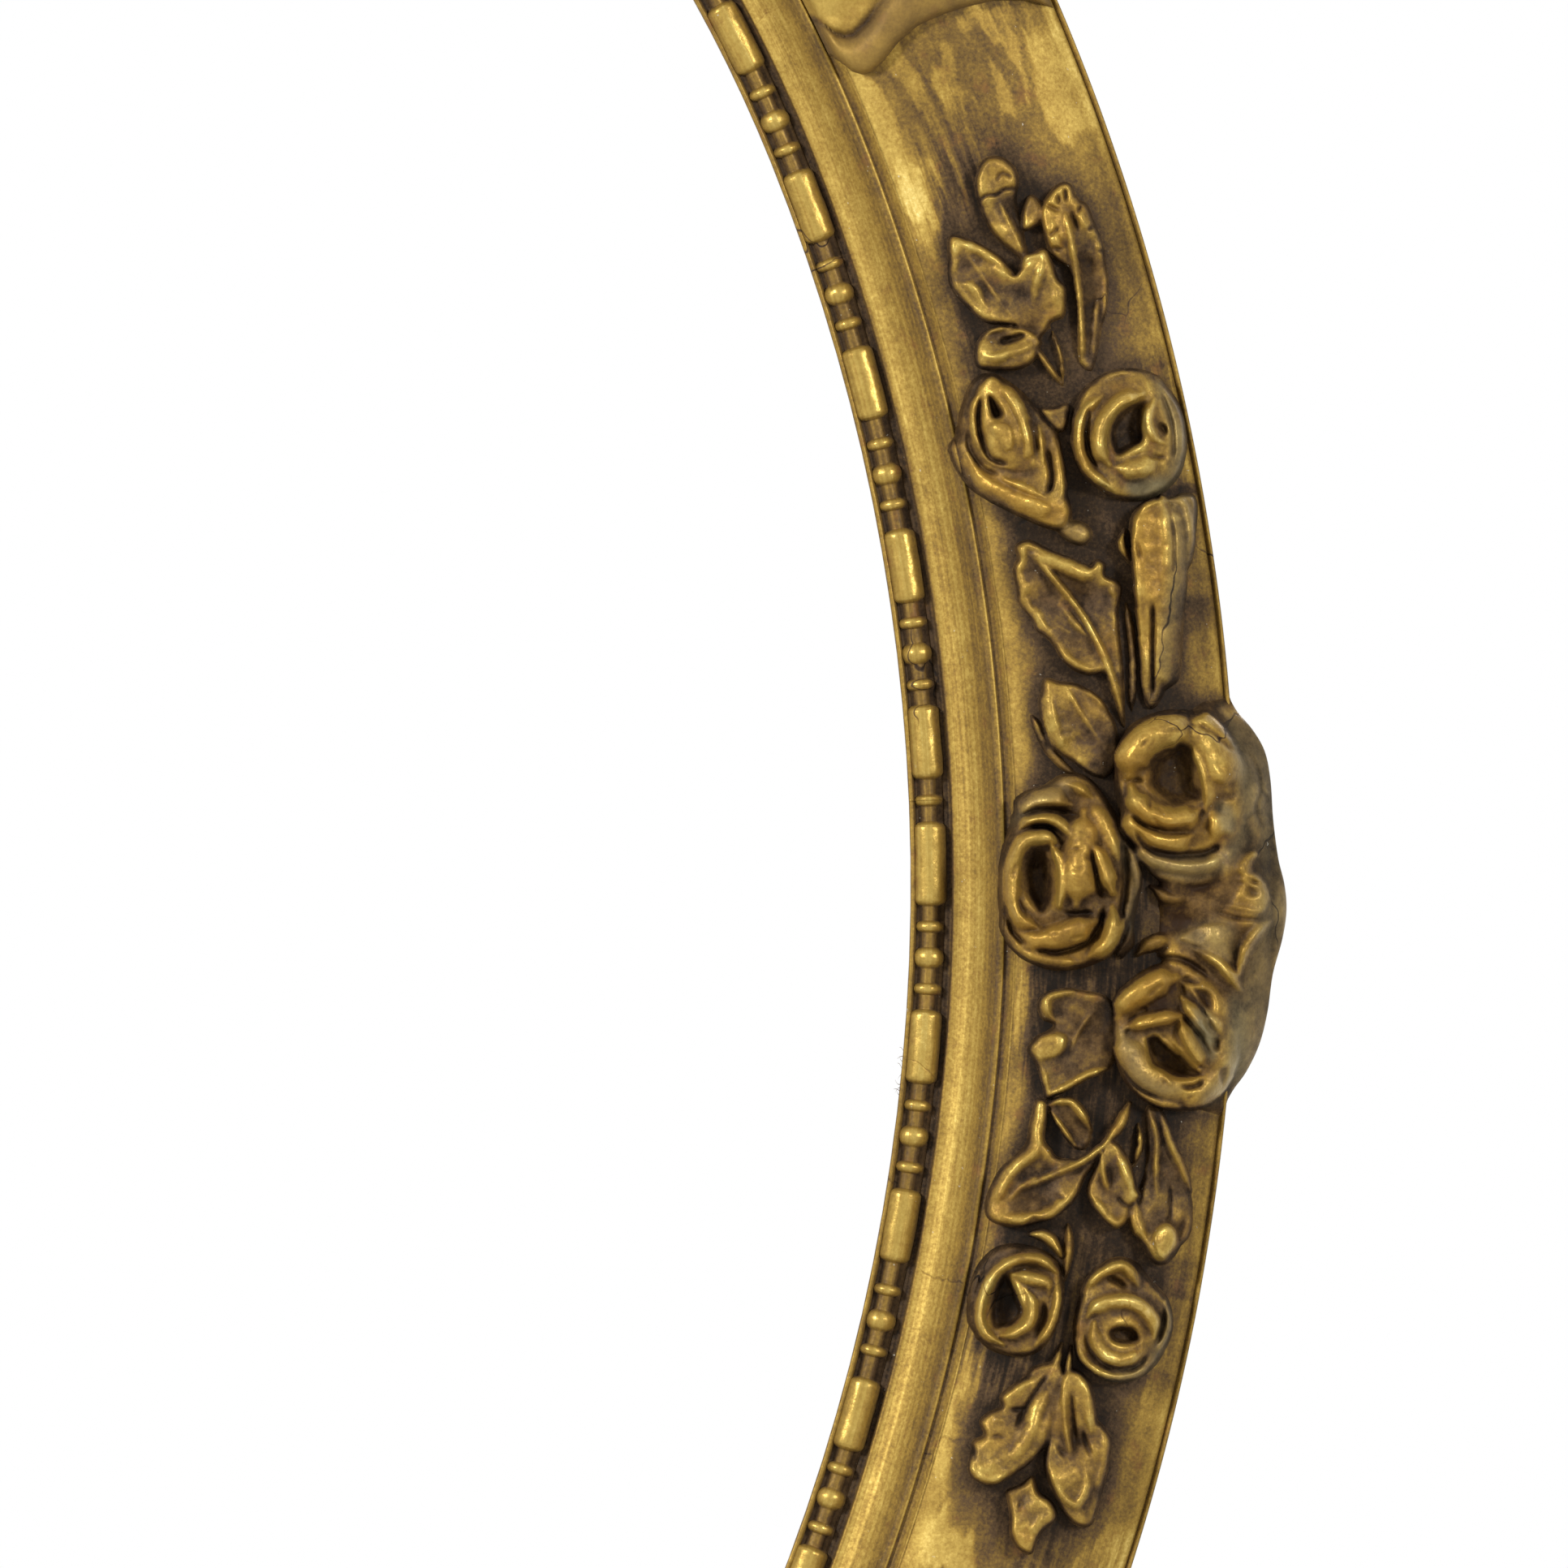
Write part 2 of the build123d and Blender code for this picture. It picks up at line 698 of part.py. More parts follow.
def garland(centre):
    """Every casting of one garland by its name, each cut to fit round those named before it."""
    groups = {"rose_cluster": [rose_cluster(centre)],
              "small_roses": small_roses(centre),
              "buds": [bud_at(centre), calyx_at(centre)],
              "upper_leaves": [leaves(centre, upper_leaf_shares)],
              "lower_leaves": [leaves(centre, lower_leaf_shares)],
              "top_sprig": [leaves(centre, top_sprig_shares)],
              "tail_sprig": [leaves(centre, tail_sprig_shares)]}
    laid = []
    for name, forms in groups.items():
        fitted = []
        for form in forms:
            box = form.bounding_box()
            in_the_way = [other for other, other_box in laid if boxes_meet(box, other_box)]
            fitted.append(form.cut(*in_the_way) if in_the_way else form)
        groups[name] = fitted
        laid += [(form, form.bounding_box()) for form in fitted]
    return groups


def clasp_section(thickness):
    """Cover of even thickness over the panel, reaching under its surface."""
    return loop(panel_line(fillet_end, lip_end, thickness), panel_line(lip_end, fillet_end, -gesso))


def clasp(centre):
    """Ribbon clasp across the moulding: arched ends with a rolled rim, and a knot in the middle."""
    middle = length_to(centre, panel_middle)
    ends = [angle_at(middle + side * clasp_half_length, panel_middle) for side in (-1, 1)]
    knot = [angle_at(middle + side * knot_half_length, panel_middle) for side in (-1, 1)]
    body = joined(band(clasp_section(clasp_thickness), *ends))
    raised = joined(band(clasp_section(clasp_rim), *ends))
    for side, angle in zip((-1, 1), ends):
        tall = 4 * crown_height
        inward = clasp_arch_rise - clasp_arch_radius
        place = seat(angle, panel_middle, 0.0) * Pos(0, -side * inward)
        body -= place * Cylinder(clasp_arch_radius, tall)
        raised -= place * Cylinder(clasp_arch_radius, tall)
        keep = place * Cylinder(clasp_arch_radius + clasp_rim_width, tall)
        body = body + (raised & keep)
    body = body + joined(band(clasp_section(knot_thickness), *knot))
    return body - joined(band(envelope_section(-overrun), *ends))


# Hangers and turn buttons

def strap(x, z):
    """Strap plate screwed to the back, with the knuckle that holds the ring."""
    rise = ring_set_back
    plate = Pos(x, back_y + strap_thickness / 2, z - strap_length / 2)
    plate *= Box(strap_width, strap_thickness, strap_length)
    along = Pos(x, back_y + rise, z) * Rot(Y=90)
    knuckle = along * Cylinder(knuckle_radius, strap_width)
    plate = plate + knuckle
    plate -= along * Cylinder(ring_wire_radius + knuckle_fit, strap_width + overrun)
    for drop in (strap_screw_drop, strap_screw_drop + strap_screw_pitch):
        behind = rear_plane(x, z - drop, strap_thickness + overrun)
        plate -= screw_hole(behind, 2 * overrun + strap_thickness)
    return plate


def ring(x, z):
    """D ring: a straight bar through the knuckle and a round bow below it."""
    place = Pos(x, back_y + ring_set_back, z)
    bar = Rot(Y=90) * Cylinder(ring_wire_radius, 2 * ring_half_width)
    wire = Circle(ring_wire_radius)
    start = Plane(origin=(ring_half_width, 0, 0), z_dir=(0, 0, 1)) * wire
    bow = revolve(start, axis=Axis((0, 0, 0), (0, 1, 0)), revolution_arc=180)
    corners = [Pos(side * ring_half_width, 0, 0) * Sphere(ring_wire_radius) for side in (-1, 1)]
    return place * joined([bar, bow] + corners)


def turn_button(angle):
    """Flat oblong button with round ends, its tip over the rebate."""
    pivot = seat(angle, button_pivot_offset, -button_thickness)
    tail = button_length - button_reach
    middle = (tail - button_reach) / 2
    plate = Pos(middle, 0) * SlotOverall(button_length, button_width)
    plate -= Circle(screw_radius + button_fit)
    solid = pivot * extrude(plate, button_thickness)
    return solid


os.makedirs("parts", exist_ok=True)
half_turn = Rot(Y=180)


def save(name, solids):
    """Writes one node."""
    whole = solids[0] if len(solids) == 1 else Compound(children=list(solids))
    export_step(whole, f"parts/{name}.step")


for index, name in enumerate(segment_names):
    save(f"carcass_{name}", [carcass_segment(index)])
save("joint_splines", [spline_at(angle) for angle in joint_angles])
save("gilt_cove", [joined(band(cove_section(), -side_arc_half_angle, 360 - side_arc_half_angle))])
save("gilt_panel", [joined(band(panel_section(), -side_arc_half_angle, 360 - side_arc_half_angle))])
save("gilt_outer_edge", [joined(band(edge_section(), -side_arc_half_angle, 360 - side_arc_half_angle))])

half_units = (strip_units + 1) // 2
strips = {"upper_right": strip(0, half_units), "upper_left": strip(half_units, strip_units + 1)}
strips["lower_left"] = half_turn * strips["upper_right"]
strips["lower_right"] = half_turn * strips["upper_left"]
for name, solid in strips.items():
    save(f"bead_strip_{name}", [solid])

for name, opposite, centre in (("right", "left", 0.0), ("top", "bottom", 90.0)):
    for piece, solids in garland(centre).items():
        save(f"{name}_{piece}", solids)
        save(f"{opposite}_{piece}", [half_turn * solid for solid in solids])

clasp_names = ["upper_right", "upper_left", "lower_left", "lower_right"]
clasps = [clasp(angle) for angle in shoulder_angles[:2]]
clasps += [half_turn * solid for solid in clasps]
for name, solid in zip(clasp_names, clasps):
    save(f"ribbon_clasp_{name}", [solid])

for name, (x, z) in zip(("right", "left"), hanger_places()):
    save(f"hanger_strap_{name}", [strap(x, z)])
    save(f"hanger_ring_{name}", [ring(x, z)])
save("hanger_screws", [screw for x, z in hanger_places() for screw in strap_screws(x, z)])
for name, angle in zip(clasp_names, shoulder_angles):
    save(f"turn_button_{name}", [turn_button(angle)])
save("turn_button_screws", [button_screw(angle) for angle in shoulder_angles])
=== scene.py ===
import math
import bpy
import numpy as np
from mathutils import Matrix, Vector


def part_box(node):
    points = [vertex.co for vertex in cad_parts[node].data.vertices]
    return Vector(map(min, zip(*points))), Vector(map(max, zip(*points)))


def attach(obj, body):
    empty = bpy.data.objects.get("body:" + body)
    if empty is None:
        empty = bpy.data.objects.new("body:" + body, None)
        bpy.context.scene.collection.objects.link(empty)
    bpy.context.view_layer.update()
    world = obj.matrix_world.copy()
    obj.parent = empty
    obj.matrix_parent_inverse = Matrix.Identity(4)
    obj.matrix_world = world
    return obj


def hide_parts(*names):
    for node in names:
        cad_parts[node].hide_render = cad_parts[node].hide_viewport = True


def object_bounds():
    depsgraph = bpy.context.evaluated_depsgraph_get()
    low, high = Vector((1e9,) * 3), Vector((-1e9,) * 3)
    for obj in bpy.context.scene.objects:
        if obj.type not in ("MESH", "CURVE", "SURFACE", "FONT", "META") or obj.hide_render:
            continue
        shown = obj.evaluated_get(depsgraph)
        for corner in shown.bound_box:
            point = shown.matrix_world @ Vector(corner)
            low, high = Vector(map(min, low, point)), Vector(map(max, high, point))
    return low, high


# Looks of a gilt oval frame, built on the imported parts. Sizes are in millimetres until place() or MM.
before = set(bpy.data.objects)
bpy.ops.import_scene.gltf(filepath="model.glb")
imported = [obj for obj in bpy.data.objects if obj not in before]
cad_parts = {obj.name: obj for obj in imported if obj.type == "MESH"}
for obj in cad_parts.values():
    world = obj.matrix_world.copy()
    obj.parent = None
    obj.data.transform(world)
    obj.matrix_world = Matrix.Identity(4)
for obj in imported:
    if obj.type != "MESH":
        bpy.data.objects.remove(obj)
cad_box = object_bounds()
MM = 0.001

# Sight edge: an oval of eight tangent arcs
sight_half_width = 196.7
sight_half_height = 251.8
shoulder_radius = 239.0
side_arc_half_angle = 22.0
end_arc_half_angle = 40.0

# Moulding: offsets outward from the sight edge and heights above the back
strip_width = 5.65
panel_start = 17.6
panel_end = 52.0
lip_end = 53.8
panel_middle = 34.8
strip_seat_height = 12.3
groove_floor = 12.8
cove_start_height = 14.6
fillet_height = 20.6
cavetto_height = 19.9
crown_at = 29.0
crown_height = 23.1
panel_radius = 39.5
quirk_floor = 14.1
lip_height = 15.2
gesso = 1.0
back_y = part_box("carcass_right")[1].y / MM

# Bead and reel strip
strip_axis = 3.25
strip_spread = 1.09
strip_units = 23
bar_length = 12.9
bar_radius = 2.5
disc_radius = 2.15
disc_half_length = 1.12
bead_radius = 2.3
bead_half_length = 2.0
neck_radius = 1.25
disc_place_share = 0.295
strip_joint_rise = 13.8
strip_joint_gap = 6.5

# Garland and clasp
garland_half_length = 148.0
sheet_inner = 12.6
sheet_even = 49.5
mass_rows = (-36.5, 29.5)
mass_low = 6.5
mass_middle_height = 12.5
side_angles = {"right": 0.0, "top": 90.0, "left": 180.0, "bottom": 270.0}
clasp_half_length = 66.0
shoulder_angles = {"upper_right": 36.0, "upper_left": 144.0, "lower_left": 216.0, "lower_right": 324.0}
fine_step = 0.22
coarse_step = 0.44
clasp_step = 0.4

# Castings are shells: bare places lie sunk under the panel, and only what rises from there is kept
sunk = -1.4
shell_floor = sunk - 0.3
shell_from = sunk + 0.05
carved_from = sunk + 0.01


def oval_arcs():
    """The eight arcs anticlockwise from 3 o'clock: centre x, centre z, radius, start, end."""
    side, end = math.radians(side_arc_half_angle), math.radians(90 - end_arc_half_angle)
    across = sight_half_width - shoulder_radius * (math.cos(side) - math.cos(end))
    up = sight_half_height - shoulder_radius * (math.sin(end) - math.sin(side))
    whole = (1 - math.cos(side)) * (1 - math.sin(end)) - math.cos(end) * math.sin(side)
    side_radius = (across * (1 - math.sin(end)) - math.cos(end) * up) / whole
    end_radius = ((1 - math.cos(side)) * up - math.sin(side) * across) / whole
    step = side_radius - shoulder_radius
    x, z = sight_half_width - side_radius + step * math.cos(side), step * math.sin(side)
    turn, rest = side_arc_half_angle, 90 - end_arc_half_angle
    half = [(sight_half_width - side_radius, 0.0, side_radius, -turn, turn),
            (x, z, shoulder_radius, turn, rest),
            (0.0, sight_half_height - end_radius, end_radius, rest, 180 - rest),
            (-x, z, shoulder_radius, 180 - rest, 180 - turn)]
    return half + [(-a, -b, r, start + 180, end + 180) for a, b, r, start, end in half]


class Oval:
    """The oval walked at one offset from the sight edge."""

    def __init__(self, offset):
        arcs = oval_arcs()
        walk = arcs[:1] + arcs[1:] + arcs[:1]
        ends = [arc[4] for arc in arcs] + [360.0]
        self.angles = np.array([0.0] + ends)
        self.centres = np.array([arc[:2] for arc in walk])
        self.radii = np.array([arc[2] for arc in walk])
        spans = np.radians(np.diff(self.angles)) * (self.radii + offset)
        self.lengths = np.concatenate([[0.0], np.cumsum(spans)])
        self.total = self.lengths[-1]

    def length_to(self, angle):
        return float(np.interp(angle, self.angles, self.lengths))

    def place(self, s, t, height):
        """Points in metres: s along the oval, t outward from the sight edge, height above the back."""
        s, t, height = np.broadcast_arrays(np.mod(s, self.total), t, height)
        turn = np.interp(s, self.lengths, self.angles)
        arc = np.clip(np.searchsorted(self.angles, turn, side="right") - 1, 0, len(self.radii) - 1)
        far = self.radii[arc] + t
        turn = np.radians(turn)
        x = self.centres[arc, 0] + far * np.cos(turn)
        z = self.centres[arc, 1] + far * np.sin(turn)
        return np.stack([x, back_y - height, z], -1) * MM


middle_oval = Oval(panel_middle)
strip_oval = Oval(strip_axis)


def panel_height(t):
    """Height of the convex panel above the back."""
    return crown_height - panel_radius + np.sqrt(panel_radius ** 2 - (t - crown_at) ** 2)


def surface_height(t):
    """Height of the moulding's inner rise, and of the panel's curve from there outward."""
    marks = [7.0, 10.7, 12.6, 13.6, 14.4, 15.35, 15.45, 16.6]
    heights = [cove_start_height, 16.1, 17.7, 18.9, 20.3, fillet_height, cavetto_height, 20.4]
    inner = np.interp(t, marks + [panel_start], heights + [panel_height(panel_start)])
    return np.where(t < panel_start, inner, panel_height(np.clip(t, panel_start, 60.0)))


def ease(x):
    x = np.clip(x, 0.0, 1.0)
    return x * x * (3 - 2 * x)


def ripple(x, y, size, seed):
    """Smooth noise from -1 to 1 over a plane, the same at each run."""
    table = np.random.default_rng(seed).uniform(-1, 1, (128, 128))
    x, y = x / size, y / size
    i, j = np.floor(x).astype(int), np.floor(y).astype(int)
    u, v = ease(x - i), ease(y - j)
    rows = [table[(i + a) % 128, (j + b) % 128] for a, b in ((0, 0), (1, 0), (0, 1), (1, 1))]
    low, high = rows[0] * (1 - u) + rows[1] * u, rows[2] * (1 - u) + rows[3] * u
    return low * (1 - v) + high * v


def blur_within(field, mask, reach):
    """Blur that takes nothing from outside a mask."""
    return blur(field * mask, reach) / np.maximum(blur(mask, reach), 1e-3)


def blur(field, reach):
    """Gaussian blur, reach in cells."""
    span = max(1, int(3 * reach))
    weights = np.exp(-0.5 * (np.arange(-span, span + 1) / reach) ** 2)
    weights /= weights.sum()
    for axis in (0, 1):
        padded = np.pad(field, [(span, span) if a == axis else (0, 0) for a in (0, 1)], mode="edge")
        count = field.shape[axis]
        parts = [w * np.take(padded, range(k, k + count), axis=axis) for k, w in enumerate(weights)]
        field = np.sum(parts, axis=0)
    return field


# Meshes

def lattice(rows, columns, close_rows=False, close_columns=False, first=0):
    """Quads over a grid of points kept row by row."""
    i = np.arange(rows if close_rows else rows - 1)
    j = np.arange(columns if close_columns else columns - 1)
    i, j = np.meshgrid(i, j, indexing="ij")
    up, across = (i + 1) % rows, (j + 1) % columns
    quads = [i * columns + j, up * columns + j, up * columns + across, i * columns + across]
    return first + np.stack(quads, -1).reshape(-1, 4)


def build(name, points, quads, caps=(), values=None):
    """A closed mesh object, its faces turned outward, with a value of each kind at each point."""
    corners = points[quads]
    normal = np.cross(corners[:, 2] - corners[:, 0], corners[:, 3] - corners[:, 1])
    if np.einsum("ij,ij->", corners.mean(1) - points.mean(0), normal) < 0:
        quads, caps = quads[:, ::-1], [cap[::-1] for cap in caps]
    loops = np.concatenate([quads.ravel()] + [np.asarray(cap) for cap in caps])
    sizes = np.array([4] * len(quads) + [len(cap) for cap in caps])
    mesh = bpy.data.meshes.new(name)
    mesh.vertices.add(len(points))
    mesh.vertices.foreach_set("co", points.astype(np.float32).ravel())
    mesh.loops.add(len(loops))
    mesh.loops.foreach_set("vertex_index", loops.astype(np.int32))
    mesh.polygons.add(len(sizes))
    starts = np.concatenate([[0], np.cumsum(sizes)[:-1]])
    mesh.polygons.foreach_set("loop_start", starts.astype(np.int32))
    mesh.update(calc_edges=True)
    mesh.polygons.foreach_set("use_smooth", np.ones(len(sizes), bool))
    for key, value in (values or {}).items():
        if value.ndim == 2:
            mesh.attributes.new(key, "FLOAT_VECTOR", "POINT").data.foreach_set(
                "vector", value.astype(np.float32).ravel())
        else:
            mesh.attributes.new(key, "FLOAT", "POINT").data.foreach_set(
                "value", value.astype(np.float32).ravel())
    made = bpy.data.objects.new(name, mesh)
    bpy.context.scene.collection.objects.link(made)
    return made


def flow_of(s, t, oval):
    """A place along and across the moulding in metres, without a seam: the length is wound on a circle."""
    s, t = np.broadcast_arrays(s, t)
    turn = 2 * np.pi * s / oval.total
    radius = oval.total / (2 * np.pi)
    return np.stack([radius * np.cos(turn), radius * np.sin(turn), t], -1).reshape(-1, 3) * MM


def dress(piece, material, slot, *nodes, body="frame"):
    """Gives a piece its material and body, and the parts that it stands for."""
    piece.data.materials.append(material)
    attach(piece, body)
    if nodes:
        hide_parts(*nodes)
    return piece


# Relief

def smooth_line(points, closed=False, steps=5):
    """A curve through points; further columns such as heights go along with it."""
    p = np.array(points, float)
    if closed:
        ends = np.vstack([p[-1:], p, p[:2]])
    else:
        ends = np.vstack([2 * p[:1] - p[1:2], p, 2 * p[-1:] - p[-2:-1]])
    u = np.linspace(0, 1, steps, endpoint=False)[:, None]
    rows = []
    for a, b, c, d in zip(ends, ends[1:], ends[2:], ends[3:]):
        rows.append((2 * b + (c - a) * u + (2 * a - 5 * b + 4 * c - d) * u ** 2
                     + (3 * b - a - 3 * c + d) * u ** 3) / 2)
    return np.vstack(rows if closed else rows + [p[-1:]])


def nearest(line, x, y, closed=False):
    """Distance from points to a line, the side that they lie on, and the line's own values there."""
    best = np.full(x.shape, np.inf)
    side = np.ones(x.shape)
    values = np.zeros((line.shape[1] - 2,) + x.shape)
    ends = np.vstack([line[1:], line[:1]]) if closed else line[1:]
    for a, b in zip(line, ends):
        run = b[:2] - a[:2]
        size = run @ run
        if size < 1e-12:
            continue
        u = np.clip(((x - a[0]) * run[0] + (y - a[1]) * run[1]) / size, 0, 1)
        off = (x - a[0] - u * run[0]) ** 2 + (y - a[1] - u * run[1]) ** 2
        hit = off < best
        best = np.where(hit, off, best)
        side = np.where(hit, np.sign(run[0] * (y - a[1]) - run[1] * (x - a[0])), side)
        for k in range(len(values)):
            values[k] = np.where(hit, a[k + 2] + u * (b[k + 2] - a[k + 2]), values[k])
    return np.sqrt(best), side, values


def within(line, x, y):
    """Whether points lie inside a closed line."""
    odd = np.zeros(x.shape, bool)
    for a, b in zip(line, np.roll(line, -1, 0)):
        if a[1] != b[1]:
            crossed = (a[1] > y) != (b[1] > y)
            odd ^= crossed & (x < a[0] + (b[0] - a[0]) * (y - a[1]) / (b[1] - a[1]))
    return odd


class Relief:
    """Heights above the panel over a sheet of places (t, s)."""

    def __init__(self, s, t):
        self.s, self.t = s, t
        self.height = np.full(s.shape, sunk)
        self.shade = np.zeros(s.shape)
        self.grey = np.zeros(s.shape)
        self.warm = np.zeros(s.shape)

    def near(self, line, reach):
        low, high = line[:, :2].min(0) - reach, line[:, :2].max(0) + reach
        return np.nonzero((self.t > low[0]) & (self.t < high[0]) & (self.s > low[1]) & (self.s < high[1]))

    def depth(self, outline, reach=1.5, steps=5):
        """Places near a closed outline, and how far inside it each lies."""
        line = smooth_line(outline, True, steps)
        spot = self.near(line, reach)
        x, y = self.t[spot], self.s[spot]
        far = nearest(line, x, y, True)[0]
        return spot, x, y, np.where(within(line, x, y), far, -far)

    def along(self, points, reach, taper):
        """Places near an open line: distance, side, its heights, and how far from its ends, 0 to 1."""
        line = smooth_line(points)
        steps = np.hypot(*np.diff(line[:, :2], axis=0).T)
        walked = np.concatenate([[0], np.cumsum(steps)])
        taper = min(taper, walked[-1] / 2)
        line = np.column_stack([line, np.minimum(walked, walked[-1] - walked) / taper])
        spot = self.near(line, reach)
        far, side, values = nearest(line, self.t[spot], self.s[spot])
        return spot, far, side, values[0], ease(values[-1])

    def blade(self, outline, heights, edge=0.6, rim=0.0, inset=1.0, dome=0.0, dome_width=3.0):
        """A leaf or petal inside an outline: a number for its height, or heights given at places."""
        spot, x, y, inner = self.depth(outline)
        if isinstance(heights, (int, float)):
            level = np.full(x.shape, float(heights))
        else:
            weights = [1 / ((x - a) ** 2 + (y - b) ** 2 + 0.5) for a, b, _ in heights]
            level = sum(w * h for w, (_, _, h) in zip(weights, heights)) / sum(weights)
        across, up = x - x.mean(), y - y.mean()
        lit = 0.5 + 0.5 * (up - across) / (1.5 * np.hypot(across, up) + 0.1)
        uneven = 0.9 + 0.7 * ripple(x, y, 2.3, 21)
        level = level + rim * uneven * (0.2 + 0.9 * lit) * np.exp(-((inner - inset) / 0.8) ** 2)
        level = level + dome * (1 - (1 - np.clip(inner / dome_width, 0, 1)) ** 2)
        level = sunk + (level - sunk) * ease(inner / edge / 2 + 0.5)
        self.height[spot] = np.maximum(self.height[spot], level)

    def fold(self, line, left, right, drop, taper=2.6):
        """A rolled rim along a line of (t, s, height): widths on its two sides, and its fall there."""
        spot, far, side, height, full = self.along(line, max(left, right) + 0.2, taper)
        share = far / (np.where(side > 0, left, right) * (0.45 + 0.55 * full))
        level = np.where(share < 1, height - drop * (0.45 * (1 - full) + share ** 2), sunk)
        self.height[spot] = np.maximum(self.height[spot], level)

    def groove(self, line, width, depth, taper=2.0):
        """A cut along a line of (t, s)."""
        spot, far, _, _, full = self.along([(*place, 0.0) for place in line], width, taper)
        share = np.clip(far / (width * (0.35 + 0.65 * full)), 0, 1)
        self.height[spot] = np.maximum(self.height[spot] - depth * full * (1 - share ** 2) ** 2, sunk)

    def pit(self, outline, floor, wall):
        """A hollow inside an outline, down to a floor."""
        spot, _, _, inner = self.depth(outline)
        height = self.height[spot]
        sunken = height - (height - floor) * ease(inner / wall)
        self.height[spot] = np.where((inner > 0) & (height > floor), sunken, height)

    def paint(self, field, outline, amount, soft=1.5):
        """Adds to the shade, grey or warm share inside an outline, with a soft edge."""
        spot, _, _, inner = self.depth(outline, soft)
        field[spot] += amount * ease(inner / soft / 2 + 0.5)


# Garland, drawn at 3 o'clock: places are (t, s) or (t, s, height)

def large_rose_upper(r):
    r.blade([(34.2, 17.5), (35, 22.5), (38, 26.2), (43, 27.8), (48, 27.2), (52.5, 24.3), (56, 19.5),
             (56.8, 14), (55.5, 8), (52, 3.8), (47, 2.2), (42, 3.2), (38, 6.2), (35.2, 11.5)],
            [(44, 15, 5.6), (35, 17, 4.0), (54, 15, 7.2), (44, 27, 3.4), (45, 3.5, 3.8)], edge=0.9, dome=1.2)
    r.fold([(38.6, 4.2, 3.0), (41.9, 1.7, 3.8), (47.1, 0.8, 4.2), (51.3, 1.8, 4.6)], 0.8, 1.2, 1.2)
    r.fold([(39.6, -0.4, 2.4), (43, -2.3, 3.4), (46.6, -1.9, 3.0)], 0.8, 1.0, 1.2)
    r.fold([(37.2, 7.4, 4.6), (39.6, 4.6, 5.6), (43.6, 3.2, 6.0), (48.2, 3.0, 6.2), (52.4, 4.6, 6.6)], 1.0,
           1.9, 2.4)
    r.fold([(36.6, 17.8, 8.8), (37.1, 20.4, 9.8), (39.2, 23.0, 10.4), (42.2, 24.4, 10.6), (45.2, 24.2, 10.2),
            (46.8, 22.8, 9.4)], 3.0, 2.8, 3.2)
    r.fold([(36.7, 16.0, 8.6), (37.6, 13.4, 9.4), (40.0, 11.3, 9.8), (43.2, 10.4, 9.8), (46.4, 10.8, 9.2),
            (48.2, 12.0, 8.6)], 2.2, 1.9, 2.8)
    r.fold([(36.0, 12.8, 6.6), (37.8, 9.4, 7.8), (40.8, 7.7, 8.2), (44, 7.2, 8.2), (46.8, 8.0, 7.6)], 0.8,
           2.6, 3.0)
    r.fold([(46.0, 25.6, 8.2), (49.2, 23.0, 9.6), (51.2, 19.6, 10.4), (52.2, 16.6, 10.2), (52.2, 14.6, 9.2)],
           3.8, 2.9, 3.2)
    r.fold([(47.0, 22.4, 8.6), (48.7, 18.0, 8.9), (49.2, 14.0, 8.8), (48.8, 11.8, 8.4)], 1.6, 0.7, 1.4)
    r.fold([(49.6, 12.2, 8.4), (50.6, 9.4, 8.8), (50.2, 6.4, 7.8)], 3.4, 1.6, 2.8)
    r.pit([(38.9, 17.4), (39.9, 20.6), (42.0, 22.2), (44.4, 22.9), (46.2, 22.2), (47.5, 20), (48.5, 16.5),
           (48.8, 13.4), (46.8, 12.2), (43.6, 11.9), (40.8, 13.4), (39.2, 15.4)], 2.6, 2.8)
    r.pit([(49.6, 13.6), (51.2, 14.8), (53.4, 14.6), (54.0, 13.2), (52.2, 12.5), (50.4, 12.7)], 7.4, 1.1)
    r.groove([(36.4, 12.0), (38.2, 9.9), (41, 9.0), (44.4, 8.9), (47, 9.6)], 0.7, 1.5)
    r.groove([(36.8, 9.2), (39, 6.2), (43, 4.9), (48, 4.8), (51.6, 6.2)], 0.8, 1.8)
    r.groove([(35.6, 17.0), (37.4, 17.1), (39.6, 16.6)], 0.5, 1.2)
    r.groove([(50.4, 4.6), (50.7, 7.2)], 0.6, 1.6)
    r.groove([(39.4, 13.0), (41.2, 12.2), (42.6, 10.2)], 0.35, 0.5)
    r.groove([(47.6, 26.4), (51.2, 23.6), (53.2, 21.6), (54.6, 20.3)], 0.6, 1.3)
    r.groove([(40.2, 22.2), (41.4, 24.2)], 0.35, 0.6)


